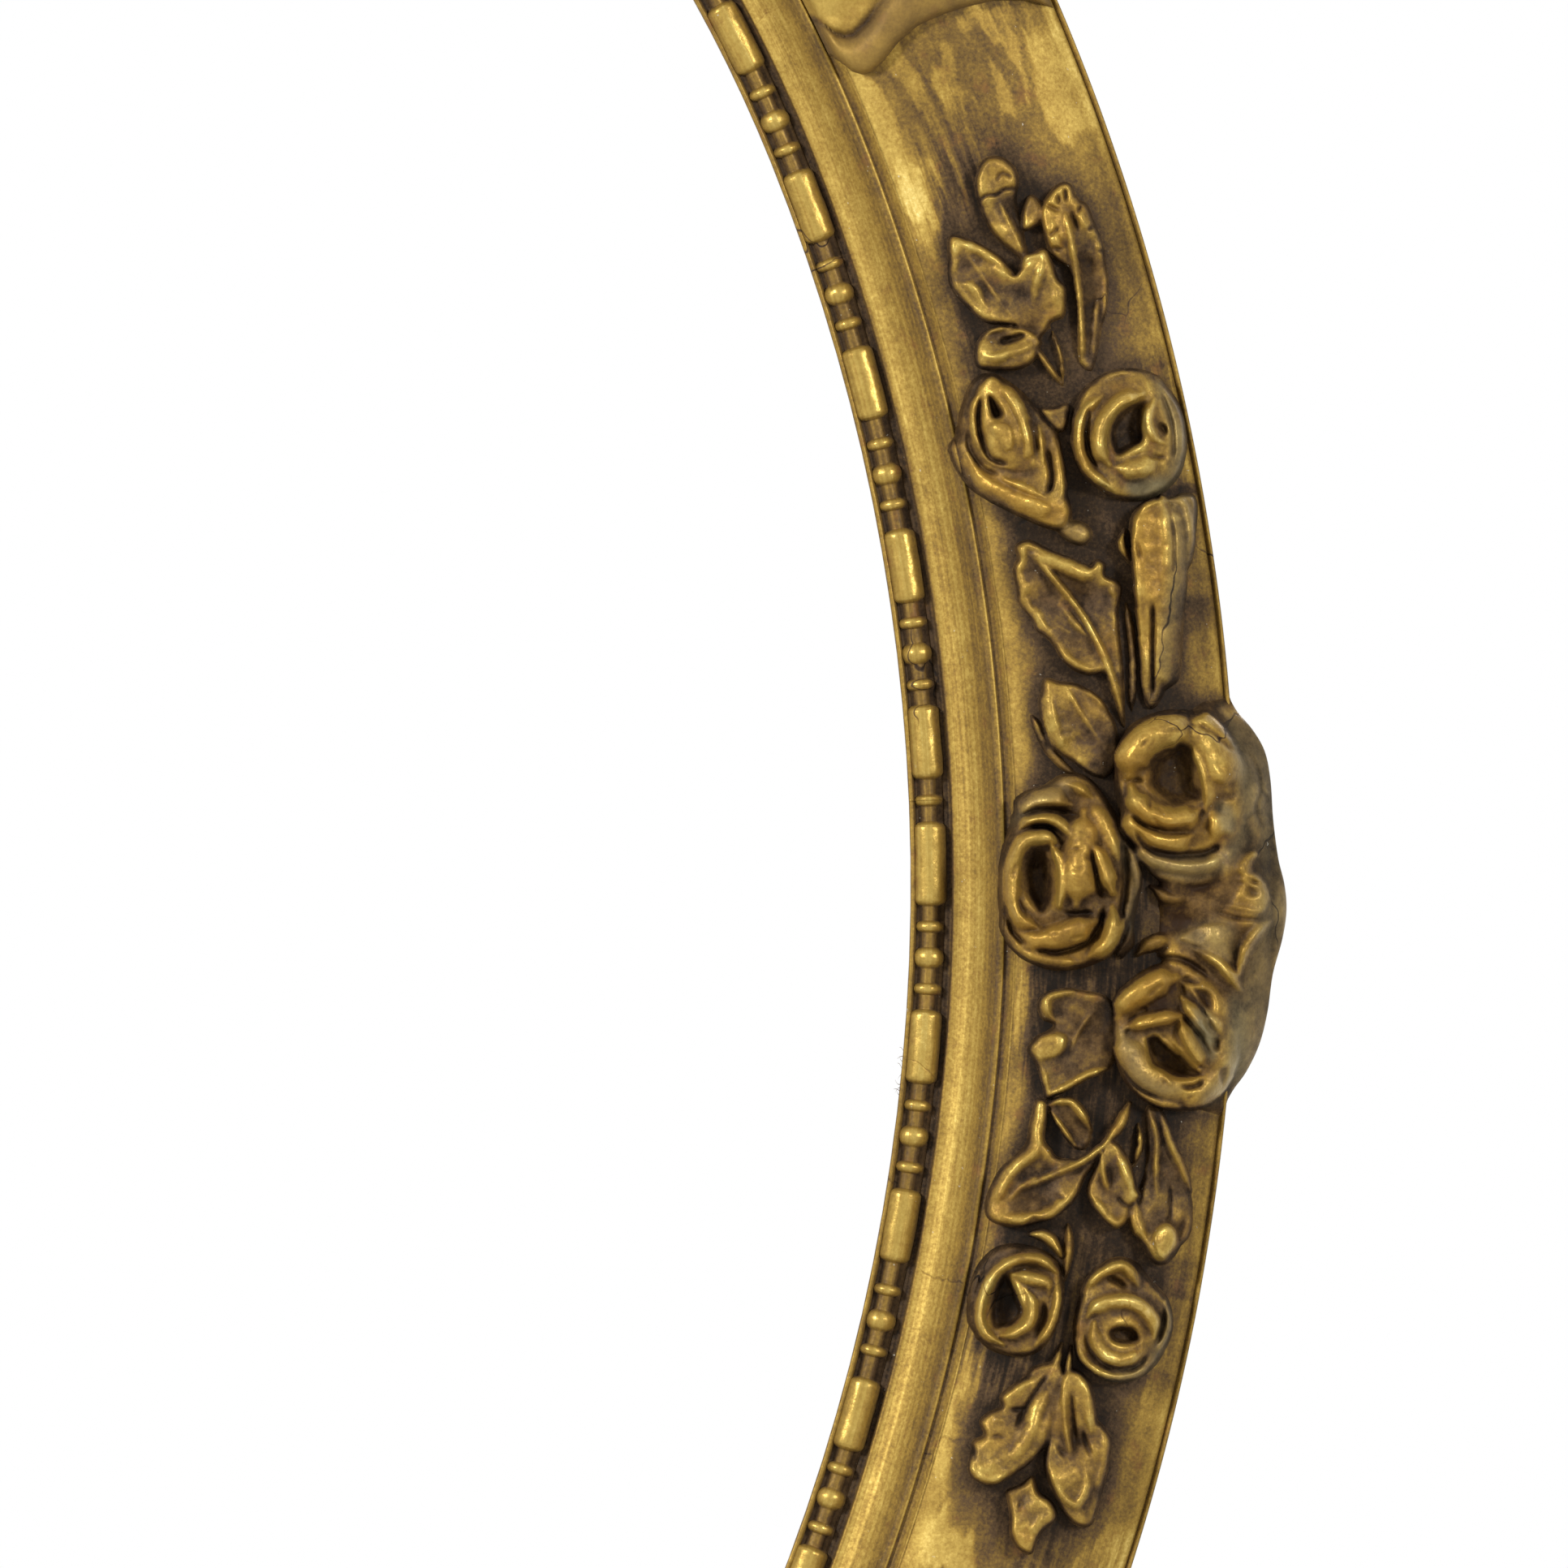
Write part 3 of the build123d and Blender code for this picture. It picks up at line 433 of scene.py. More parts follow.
def large_rose_inner(r):
    r.blade([(14.6, 0), (15.3, 6), (17.5, 11.5), (21.5, 16), (26, 18.6), (30, 17.4), (33.3, 12.5),
             (36.4, 6.5), (37.6, 0), (36.6, -6), (33.4, -11.2), (28.6, -14), (22.5, -14.4), (17.8, -11.6),
             (15.2, -6)],
            [(26, 0, 5.8), (16, 0, 4.4), (36, 0, 3.0), (24, 15, 2.4), (24, -13, 2.6)], edge=0.8, dome=1.0)
    r.fold([(26.2, 17.0, 4.4), (28.4, 15.9, 5.4), (30.4, 14.2, 5.0)], 1.0, 1.0, 1.6)
    r.fold([(17.8, 11.2, 4.8), (20.2, 13.5, 5.8), (23.6, 14.0, 6.2), (26.8, 13.2, 5.4)], 2.6, 0.8, 2.6)
    r.fold([(17.6, 8.8, 6.2), (19.8, 10.8, 7.2), (22.8, 11.0, 7.6), (25.4, 9.4, 7.6), (26.8, 6.8, 7.0)],
           1.4, 0.8, 2.2)
    r.fold([(35.4, 7.4, 3.6), (37.2, 2.4, 4.2), (37.2, -2.4, 3.8)], 0.9, 1.0, 1.4)
    r.fold([(36.6, -5.2, 3.4), (36, -8.8, 3.6), (34.2, -12, 2.8)], 0.7, 0.8, 1.4)
    r.fold([(29.4, 13.8, 4.8), (31.8, 10.4, 6.2), (33.4, 6.4, 6.4), (34.2, 3.0, 5.6)], 1.8, 3.0, 2.4)
    r.fold([(28.8, 12.0, 6.6), (28.3, 8.0, 8.4), (27.8, 4.2, 9.7), (27.4, 0.8, 10.1), (27.2, -3.4, 8.2)],
           3.2, 3.0, 3.0)
    r.fold([(29.9, 7.8, 7.2), (30.9, 4.8, 8.8), (32.0, 1.8, 9.6), (33.2, -1.4, 8.8)], 1.7, 1.3, 2.8)
    r.fold([(23.2, 6.6, 8.3), (24.6, 3.4, 8.6), (24.9, 0, 8.6), (24.4, -3.8, 8.2)], 1.2, 0.7, 1.4)
    r.fold([(15.3, -4.6, 4.6), (16.4, -8.6, 5.2), (19.2, -11.9, 5.6), (23.6, -13.0, 5.2), (28.4, -13.2, 4.6)],
           1.3, 1.2, 2.2)
    r.fold([(33.2, -3.8, 6.8), (33.5, -6.8, 8.2), (32.2, -10.0, 7.6), (29.2, -12.4, 5.6)], 1.9, 1.5, 2.8)
    r.fold([(17.6, -8.2, 6.2), (20.8, -9.4, 7.4), (24.4, -8.5, 8.2), (27.8, -7.1, 8.6), (30.6, -6.2, 7.4)],
           1.7, 2.9, 2.8)
    r.fold([(24.4, 6.6, 8.2), (22.2, 8.0, 8.8), (19.2, 7.6, 9.0), (17.2, 5.0, 9.0), (16.5, 1.2, 8.8),
            (16.8, -2.8, 8.4), (18.3, -6.2, 8.0), (21.2, -7.7, 7.4)], 1.6, 1.6, 2.8)
    r.pit([(17.9, 1.2), (18.5, 4.4), (20.2, 6.3), (22, 6.3), (23.4, 4.6), (24.2, 1.4), (24.1, -2.2),
           (23.0, -4.8), (21.2, -5.5), (19.6, -4.0), (18.3, -1.6)], 1.6, 2.4)
    r.groove([(18.8, 8.9), (20.8, 9.5), (23.2, 9.3), (25.2, 7.6)], 0.65, 2.0)
    r.groove([(18.0, 11.6), (21, 12.2), (24, 12.4), (27.2, 11.8)], 0.75, 2.0)
    r.groove([(24.8, -4.7), (27.4, -5.2), (30.8, -4.6)], 0.6, 1.3)
    r.groove([(17.5, -1.6), (18.2, -4.4), (19.9, -6.4)], 0.5, 1.8)
    r.groove([(29.5, 6.6), (30.2, 3.2), (30.9, 0.2), (31.7, -2.8)], 0.5, 1.9)
    r.groove([(31.9, -3.6), (31.2, -7.2), (28.8, -10.0), (24.4, -11.5), (20, -11.2)], 0.75, 2.4)
    r.groove([(15.9, -5.2), (17.2, -8.8), (20.0, -10.8)], 0.6, 1.8)
    r.groove([(34.8, 7.6), (35.5, 2.4), (35.1, -3), (34.3, -7.6)], 0.9, 2.0)
    r.groove([(26.0, 3.2), (27.4, 2.4), (28.6, 3.4)], 0.4, 0.5)
    r.groove([(22.0, -7.4), (23.6, -9.4), (24.2, -11.0)], 0.35, 0.6)


def large_rose_lower(r):
    r.blade([(34.2, -23), (35, -19), (38, -15), (42.5, -13), (47.5, -13.4), (52.5, -16.5), (55.8, -21.5),
             (56.2, -27), (54, -32), (49, -35.6), (43, -36), (38, -33.2), (35, -28.5)],
            [(45, -25, 5.4), (35.5, -23, 4.2), (54, -25, 6.6), (44, -14.5, 3.4), (45, -35, 3.6)], edge=0.9,
            dome=1.0)
    # walls round the hollow
    r.fold([(35.4, -27.6, 4.4), (38.2, -32.4, 5.0), (42.4, -35.0, 5.2), (48, -35.6, 4.8)], 0.8, 1.0, 1.4)
    r.fold([(35.8, -24.6, 6.2), (37.2, -28.0, 7.0), (39.8, -30.8, 7.2), (43.2, -32.4, 7.0),
            (47.6, -32.8, 6.8), (50.8, -31.6, 6.8)], 3.2, 2.2, 1.9)
    r.fold([(45.0, -34.2, 5.6), (49.4, -33.4, 6.6), (52.4, -30.4, 7.3), (53.3, -26.0, 7.6),
            (52.4, -21.6, 7.3), (49.6, -17.8, 6.9), (46.4, -16.4, 6.4)], 3.0, 2.2, 1.9)
    r.fold([(34.9, -22.4, 5.8), (36.0, -19.4, 7.6), (38.4, -17.3, 8.8), (41.4, -15.6, 8.6),
            (44.2, -15.0, 7.0)], 1.8, 2.6, 2.6)
    r.pit([(41.4, -17.4), (43.4, -16.2), (45.0, -17.8), (45.2, -20.0), (42.9, -20.5), (40.6, -20.1)], 6.2,
          1.2)
    # crest over the hollow, and the ridges that run down to the right of it
    r.fold([(36.2, -23.8, 6.8), (38.4, -23.0, 8.6), (40.8, -22.3, 9.3), (43.2, -21.7, 9.6),
            (45.4, -21.2, 9.0)], 1.3, 1.0, 2.2)
    r.fold([(45.0, -21.4, 8.6), (46.0, -24.2, 9.2), (47.9, -27.0, 8.9), (50.6, -29.6, 7.4)], 1.7, 0.9, 2.4)
    r.fold([(45.2, -18.2, 8.0), (46.4, -20.1, 9.5), (48.2, -22.1, 9.8), (50.0, -24.2, 8.8)], 1.5, 0.8, 2.4)
    r.fold([(49.4, -20.4, 8.2), (51.0, -22.0, 9.0), (52.4, -24.0, 8.6)], 1.0, 0.7, 1.8)
    r.pit([(39.8, -26.8), (39.9, -24.9), (42.2, -24.3), (44.3, -25.6), (46.2, -27.2), (48.0, -28.9),
           (49.7, -30.4), (48.8, -31.0), (46.8, -31.6), (44.6, -31.4), (42.6, -30.5), (40.8, -29.6)], 1.2,
          1.3)
    r.fold([(41.4, -24.5, 6.6), (43.4, -25.7, 6.2), (45.4, -27.5, 5.2)], 0.4, 0.6, 0.9)
    r.pit([(45.8, -32.3), (47.3, -33.3), (49.4, -32.6), (50.2, -31.0), (48.0, -31.6)], 5.2, 0.7)
    r.fold([(42.4, -30.6, 7.0), (44.2, -32.0, 7.6), (45.9, -33.9, 6.6)], 0.5, 0.5, 0.9)
    r.fold([(47.2, -32.2, 6.6), (49.2, -30.8, 7.4)], 0.4, 0.5, 0.8)
    r.pit([(52.2, -29.2), (53.8, -28.8), (53.8, -31.4), (52.8, -32.2)], 6.0, 0.6)
    r.pit([(46.6, -16.4), (49.8, -16.8), (50.8, -18.6), (50.4, -20.6), (48.5, -19.3)], 5.0, 0.9)
    r.pit([(51.0, -24.2), (52.0, -24.7), (52.0, -26.4), (51.0, -26.2)], 4.8, 0.6)
    r.groove([(38.8, -20.4), (39.6, -20.8)], 0.5, 1.4)
    r.groove([(35.8, -29.6), (37.5, -32.1), (40.1, -33.9), (43.2, -34.8)], 0.45, 1.6)
    r.groove([(46.9, -22.4), (48.9, -24.6), (50.8, -28.2)], 0.45, 1.6)
    r.groove([(44.4, -15.0), (45.4, -17.6), (45.6, -20.4)], 0.45, 1.2)
    r.groove([(47.6, -20.0), (49.2, -21.8), (50.6, -23.2)], 0.35, 0.8)
    r.groove([(36.0, -23.0), (37.6, -21.9), (39.4, -21.6)], 0.4, 1.0)


def overhang(r):
    r.blade([(46, 24), (48, 27.4), (52, 28.6), (58, 28.6), (70, 27), (72, 0), (70, -33), (58, -35.8),
             (52, -36), (47, -34), (44, -28), (42.5, -20), (41.5, -10), (41.5, 0), (43, 12)],
            [(44, -6, 0.6), (49, -9, 2.6), (53, -8, 6.6), (57, -5, 9.4), (60, -4, 10), (57, 14, 8.2),
             (57, -24, 7.4), (52, 26, 2.2), (52, -34, 2.0), (55.5, 27.5, 3.2), (55.5, -34.6, 2.8),
             (48, 1, 1.8), (53, 3, 6.4)], edge=2.2)
    # leaf between the roses
    r.blade([(44.2, -8.8), (47.2, -6.6), (51, -5.9), (53.6, -6.6), (54.6, -8.4), (54.2, -10.4),
             (53.8, -13.0), (50.6, -11.6), (47.4, -10.4)],
            [(46, -8, 3.0), (52, -8, 6.4), (54, -12, 7.0)], edge=0.6, dome=0.5)
    r.fold([(46.8, -10.4, 4.6), (49.6, -11.6, 6.8), (52.2, -13.4, 8.4), (55.0, -16.8, 8.0)], 1.1, 0.9, 2.2)
    r.fold([(54.6, -14.2, 8.4), (54.9, -11.6, 9.4), (56.2, -9.2, 10.2), (58.0, -7.0, 10.8),
            (60.0, -5.6, 10.8)], 0.8, 0.8, 1.6)
    # crumpled tip
    r.blade([(52.6, -3.6), (55, -4.6), (58.2, -4.6), (59.8, -2), (58.6, 0.2), (56.8, 0.4), (56.6, 2.6),
             (57.6, 5.0), (55.6, 4.8), (54.0, 2.6), (54.6, 0.0)],
            [(54, -3, 7.4), (59, -2, 10.4), (56, 3, 8.6)], edge=0.5)
    r.fold([(52.4, -3.4, 7.4), (55.2, -3.9, 8.6), (58, -4.2, 10.2), (59.4, -2.2, 10.8)], 0.5, 0.6, 1.2)
    r.fold([(54.4, 0.6, 8.0), (56.4, 1.2, 9.4), (58.6, -0.2, 10.6)], 0.5, 0.5, 1.0)
    r.fold([(54.9, 1.6, 8.0), (55.8, 3.4, 8.8), (57.2, 4.4, 9.2)], 0.5, 0.5, 1.0)
    r.pit([(55.4, -0.2), (56.8, -0.4), (57.6, -1.6), (56.2, -2.4), (55.2, -1.6)], 7.6, 0.6)
    # scraps beside them
    r.fold([(37.6, -11.6, 2.2), (39.6, -9.8, 3.4), (41.8, -9.2, 3.4), (43.4, -9.8, 2.6)], 1.2, 1.4, 1.8)
    r.fold([(36.2, -6.6, 1.8), (36.4, -9.4, 2.6), (35.0, -12.2, 2.2)], 0.8, 0.8, 1.2)
    r.groove([(38, -14.8), (42, -12.2), (46, -12.6), (50, -15.2)], 0.8, 1.6)
    r.groove([(53.4, -9.0), (54.1, -11.4), (54.2, -13.6)], 0.6, 2.2)
    r.groove([(50, -4.2), (54, -5.4), (58.6, -5.6)], 0.5, 1.0)
    r.groove([(51.2, 23.2), (53.0, 21.8), (54.8, 20.2)], 0.55, 1.0, 1.2)
    r.groove([(56.4, 20.6), (57.9, 17.8), (58.3, 14.6), (57.4, 11.6), (58.4, 8.8)], 0.4, 0.8, 0.8)
    r.groove([(58.3, 14.6), (59.6, 13.2)], 0.35, 0.7, 0.6)
    r.groove([(57.4, 11.6), (55.8, 9.8), (56.2, 6.4), (54.6, 4.4)], 0.35, 0.7, 0.8)
    r.groove([(56.0, -15.4), (57.4, -13.2)], 0.35, 0.6, 0.6)
    r.paint(r.grey, [(52.6, 28), (56, 26), (70, 24), (70, -36), (56, -34), (54.6, -18), (56, -12), (57, -6),
                     (57.4, 6), (56.4, 14), (55, 20)], 0.62, 2.0)
    r.paint(r.grey, [(44, -8.6), (50, -6), (53.6, -7), (53.2, -12), (49, -10.8)], 0.6)
    # Painted light: the outer slope, turned away from the lamps, is lightened; the recess between the roses
    # gets painted shade
    r.paint(r.shade, [(52.6, 28), (56, 26), (70, 24), (70, -36), (56, -34), (55, -18), (58, -8), (62, 4),
                      (56.4, 8), (56, 18)], 0.15, 1.0)
    r.paint(r.shade, [(37, 1), (44, 0), (51, 2), (52, -4), (49, -6), (43, -8), (37, -7)], -0.16, 1.2)


def creases(r, middle, reach, count, seed):
    """Short cracks and creases that run round a rose's petals."""
    random = np.random.default_rng(seed)
    for _ in range(count):
        turn, far = random.uniform(0, 2 * np.pi), reach * random.uniform(0.45, 1.0)
        sweep, drift = random.uniform(0.10, 0.30), random.uniform(-0.5, 0.5)
        line = [(middle[0] + (far + k * drift) * math.cos(turn + k * sweep),
                 middle[1] + 1.1 * (far + k * drift) * math.sin(turn + k * sweep)) for k in range(3)]
        r.groove(line, random.uniform(0.32, 0.55), random.uniform(0.4, 1.0), 1.2)


def rose_cluster(r):
    overhang(r)
    large_rose_upper(r)
    large_rose_lower(r)
    large_rose_inner(r)
    for row in (
        ([(53.6, 25), (56.4, 18), (56.4, 8), (53, 3), (46, 0.4), (40.5, 2), (38, 5), (44, 4), (51, 5),
          (54.4, 10), (54.2, 18)], 0.7),
        ([(50.6, 12.6), (53.4, 12), (53.6, 8.4), (51.6, 8.6)], 0.9, 0.8),
        ([(47.6, -20), (50.4, -20.6), (51.6, -25), (49.8, -25), (48.2, -22.4)], 0.9, 0.8),
        ([(35, -24), (37, -31), (42, -34.5), (46, -33), (41, -31), (38, -26)], 0.6),
        ([(53.4, -18), (56, -22), (56, -30), (51, -35), (50, -33), (53, -28)], 0.7),
        ([(34.6, 7), (38, 2), (37.4, -7), (35.4, -7), (35.8, 0)], 0.6),
        ([(16, 10), (20, 15), (26, 18), (26, 15), (20, 12)], 0.5),
    ):
        r.paint(r.grey, *row)
    for middle, reach, seed in (((45, 15), 10.5, 1), ((26, 0), 11.0, 2), ((45, -25), 10.0, 3)):
        creases(r, middle, reach, 15, seed)
    whole = [(12, 18), (30, 30), (60, 30), (60, -37), (30, -37), (12, -16)]
    r.paint(r.shade, whole, -0.08)
    r.paint(r.warm, whole, 0.22)
    for outline in ([(36.4, 12), (40, 12), (47, 10), (51, 12), (51, 6), (45, 5), (38.4, 7)],
                    [(35, -22), (37, -17.6), (43, -15.4), (44, -18.4), (38, -21)],
                    [(17, -7), (24, -6), (30, -6), (32, -9), (28, -12), (20, -12)],
                    [(28, 13), (31, 11), (33, 4), (30.6, 6)],
                    [(38, -24), (45, -22.4), (45, -21), (38, -22.2)],
                    [(35, 17), (37, 22), (40, 21), (38, 16)]):
        r.paint(r.warm, outline, 0.8, 1.6)
    # painted shade in the hollows of the lower rose, a little lighter in the big hollow and darker in the
    # upper recess, and its greyed ridge
    r.paint(r.shade, [(40.4, -26.8), (42.4, -25.2), (48.6, -30.4), (44.6, -30.8), (41.6, -29.4)], 0.04)
    r.paint(r.shade, [(41.4, -17.4), (43.6, -16.4), (45.2, -18.4), (44.8, -20.2), (41.4, -20.1)], -0.08)
    r.paint(r.grey, [(46.8, -22.4), (48.6, -22.0), (51.6, -26.4), (50.4, -28.0)], 0.8, 0.8)


def small_roses(r):
    # above the cluster
    r.blade([(34.2, 73), (35.6, 78.6), (39.2, 82.4), (44, 83.6), (49, 82), (52.2, 78), (53.2, 72.6),
             (51.6, 66.6), (48, 63.2), (43.4, 62.2), (38.6, 64), (35.4, 68)],
            [(44, 73, 5.2), (35, 73, 3.2), (52, 73, 3.6), (44, 82.6, 2.2), (43, 63, 2.6)], edge=0.7,
            dome=1.0)
    r.fold([(38, 81.2, 3.0), (43.8, 83.0, 3.2), (49.4, 81.4, 3.0), (51.8, 78.2, 2.8)], 0.6, 0.8, 1.0)
    r.fold([(41, 80.2, 5.2), (37.4, 78, 5.8), (35.3, 73.4, 6.0), (36, 68.4, 6.0), (39.2, 65, 5.2)], 1.2,
           1.0, 2.0)
    r.fold([(40.2, 68.2, 6.2), (44, 67.2, 7.0), (48.2, 68.8, 6.2)], 2.4, 1.8, 2.6)
    r.fold([(47.4, 78.8, 6.8), (43, 78, 7.4), (39.8, 75.2, 7.6), (38.7, 71.6, 7.6), (39.6, 68.8, 6.8)], 1.1,
           1.6, 2.2)
    r.fold([(49.2, 77.6, 6.2), (47.4, 74.8, 6.8), (47.6, 72, 6.8), (49.4, 70.4, 6.0)], 0.8, 1.0, 1.6)
    r.pit([(40.6, 74.6), (42.6, 77), (45.2, 78), (48, 77.8), (47.2, 76.4), (46.6, 73.8), (46.2, 71.4),
           (43.8, 70.2), (41, 69.8), (40.2, 71.8)], 1.2, 1.3)
    r.groove([(38.6, 79.2), (36.9, 75.6), (36.6, 71.4), (37.6, 68)], 0.6, 1.7)
    r.groove([(48.4, 74.2), (49.6, 72.6), (49, 71.4)], 0.9, 1.8)
    r.groove([(45.6, 68.9), (49.4, 68.2)], 0.6, 1.6)
    r.groove([(50.4, 79), (51, 73), (50, 67)], 0.6, 0.9)
    r.paint(r.grey, [(50, 80), (53, 74), (52.4, 66), (49, 63), (44, 62.4), (42, 64.4), (48, 65.4),
             (50.4, 70)], 0.8)
    r.paint(r.grey, [(42, 65), (47, 65), (48, 63.6), (44, 62.4)], 1.0)
    # below the cluster, inner
    r.blade([(16.8, -71), (17.4, -66.4), (20.2, -62.8), (25, -62), (29.4, -63.4), (31.6, -67.5),
             (31.8, -73), (30.2, -78.4), (26.6, -80.6), (21.8, -80.6), (18.4, -77.6)],
            [(24.4, -72, 4.8), (17.6, -71, 2.6), (31, -72, 3.4), (25, -63, 2.6), (24, -79.8, 2.2)],
            edge=0.7, dome=0.8)
    r.fold([(18.4, -65, 3.0), (17.2, -70, 3.4), (17.6, -75.6, 3.4), (19.6, -79.2, 2.8)], 0.6, 0.7, 1.2)
    r.fold([(30.0, -65.4, 5.6), (27, -63.9, 6.2), (23.4, -64.4, 6.6), (20.4, -67, 6.8), (19, -70.8, 6.8),
            (18.8, -74.8, 6.6), (20.4, -78, 6.0), (23.6, -79.2, 5.2)], 1.0, 0.9, 1.9)
    r.fold([(30.2, -66.6, 5.6), (31, -70.6, 6.0), (30.6, -74.8, 6.0), (29, -78.2, 5.2)], 0.9, 0.8, 1.8)
    r.fold([(22.8, -67.2, 5.6), (25.6, -67.2, 6.4), (28.8, -67.6, 6.2), (29.4, -69.4, 5.6)], 1.2, 1.4, 1.8)
    r.fold([(25.4, -69, 6.2), (27.2, -71.6, 6.8), (27.2, -74.8, 6.6), (25.2, -77, 6.0), (22.8, -78, 5.2)],
           0.9, 1.2, 1.8)
    r.pit([(21.6, -66.8), (23.6, -68.6), (25, -70.6), (26.2, -73), (25.6, -75.2), (23.6, -76.8), (21.4, -77),
           (20.2, -74.2), (20.2, -70.6)], 0.9, 1.2)
    r.groove([(28.6, -70), (29.2, -73), (28.4, -77)], 0.55, 1.8)
    r.groove([(18.2, -66.6), (17.9, -71), (18.4, -76.6)], 0.4, 0.8)
    # below the cluster, outer
    r.blade([(34.6, -70), (35.4, -65.6), (38.6, -61.8), (42.4, -61.6), (46, -64.4), (49.2, -67),
             (50.6, -71.6), (49.2, -77), (45.8, -80.4), (41, -81), (36.8, -78.6), (34.8, -74.6)],
            [(42.4, -73.6, 5.0), (35.4, -73, 3.4), (50, -72, 3.2), (42, -63, 3.0), (42, -80.4, 2.4)],
            edge=0.7, dome=0.8)
    r.fold([(34.9, -68, 4.0), (36.8, -64.8, 5.6), (39.8, -62.5, 6.2), (42.2, -63.2, 5.8), (44.2, -66.2, 4.6)],
           0.9, 1.1, 1.8)
    r.fold([(48.6, -66.6, 4.6), (49.9, -71, 4.8), (48.6, -76, 4.4)], 0.7, 0.7, 1.4)
    r.fold([(36.2, -72, 5.6), (37.6, -69.6, 6.6), (40.4, -68.2, 7.0), (44, -68.0, 7.2), (47.2, -70, 6.8),
            (48.2, -73, 6.2)], 1.1, 1.5, 2.0)
    r.fold([(37.6, -72.4, 6.2), (38.4, -75.4, 6.4), (41, -77.6, 6.4), (44.4, -77.4, 6.2), (46.8, -75, 5.8)],
           1.8, 1.0, 1.8)
    r.fold([(35.4, -75.6, 4.4), (37.8, -79, 4.6), (42, -80.4, 4.6), (46.2, -79.2, 4.6), (48.6, -76.2, 4.2)],
           0.8, 0.8, 1.4)
    r.pit([(40, -73.2), (41.8, -71.8), (44.6, -71.8), (46, -73.6), (45, -74.8), (43, -75.4), (41, -75)],
          1.6, 1.1)
    r.groove([(37.6, -64.8), (39.8, -65), (42.6, -66.4)], 0.7, 1.9)
    r.groove([(48.7, -67.4), (48.9, -71), (48.2, -74.6)], 0.5, 1.8)
    r.groove([(36.6, -74), (38.2, -77.2), (42, -79), (46, -78), (48, -75)], 0.5, 1.2)
    r.paint(r.grey, [(49, -67), (51, -71), (49, -78), (45, -81), (41, -81.4), (44, -79.6), (48, -76)], 0.7)
    # sepals over them
    r.blade([(24.2, -60), (26.4, -58.8), (28.6, -59.4), (30.1, -61.4), (30.5, -63.2), (28.6, -61.8),
             (26.4, -60.7)], 3.6, edge=0.4, dome=0.6)
    r.blade([(30.4, -57), (31.8, -59.4), (32.2, -63), (31.6, -67), (30.8, -63.4), (30.4, -60)], 2.6, edge=0.4)


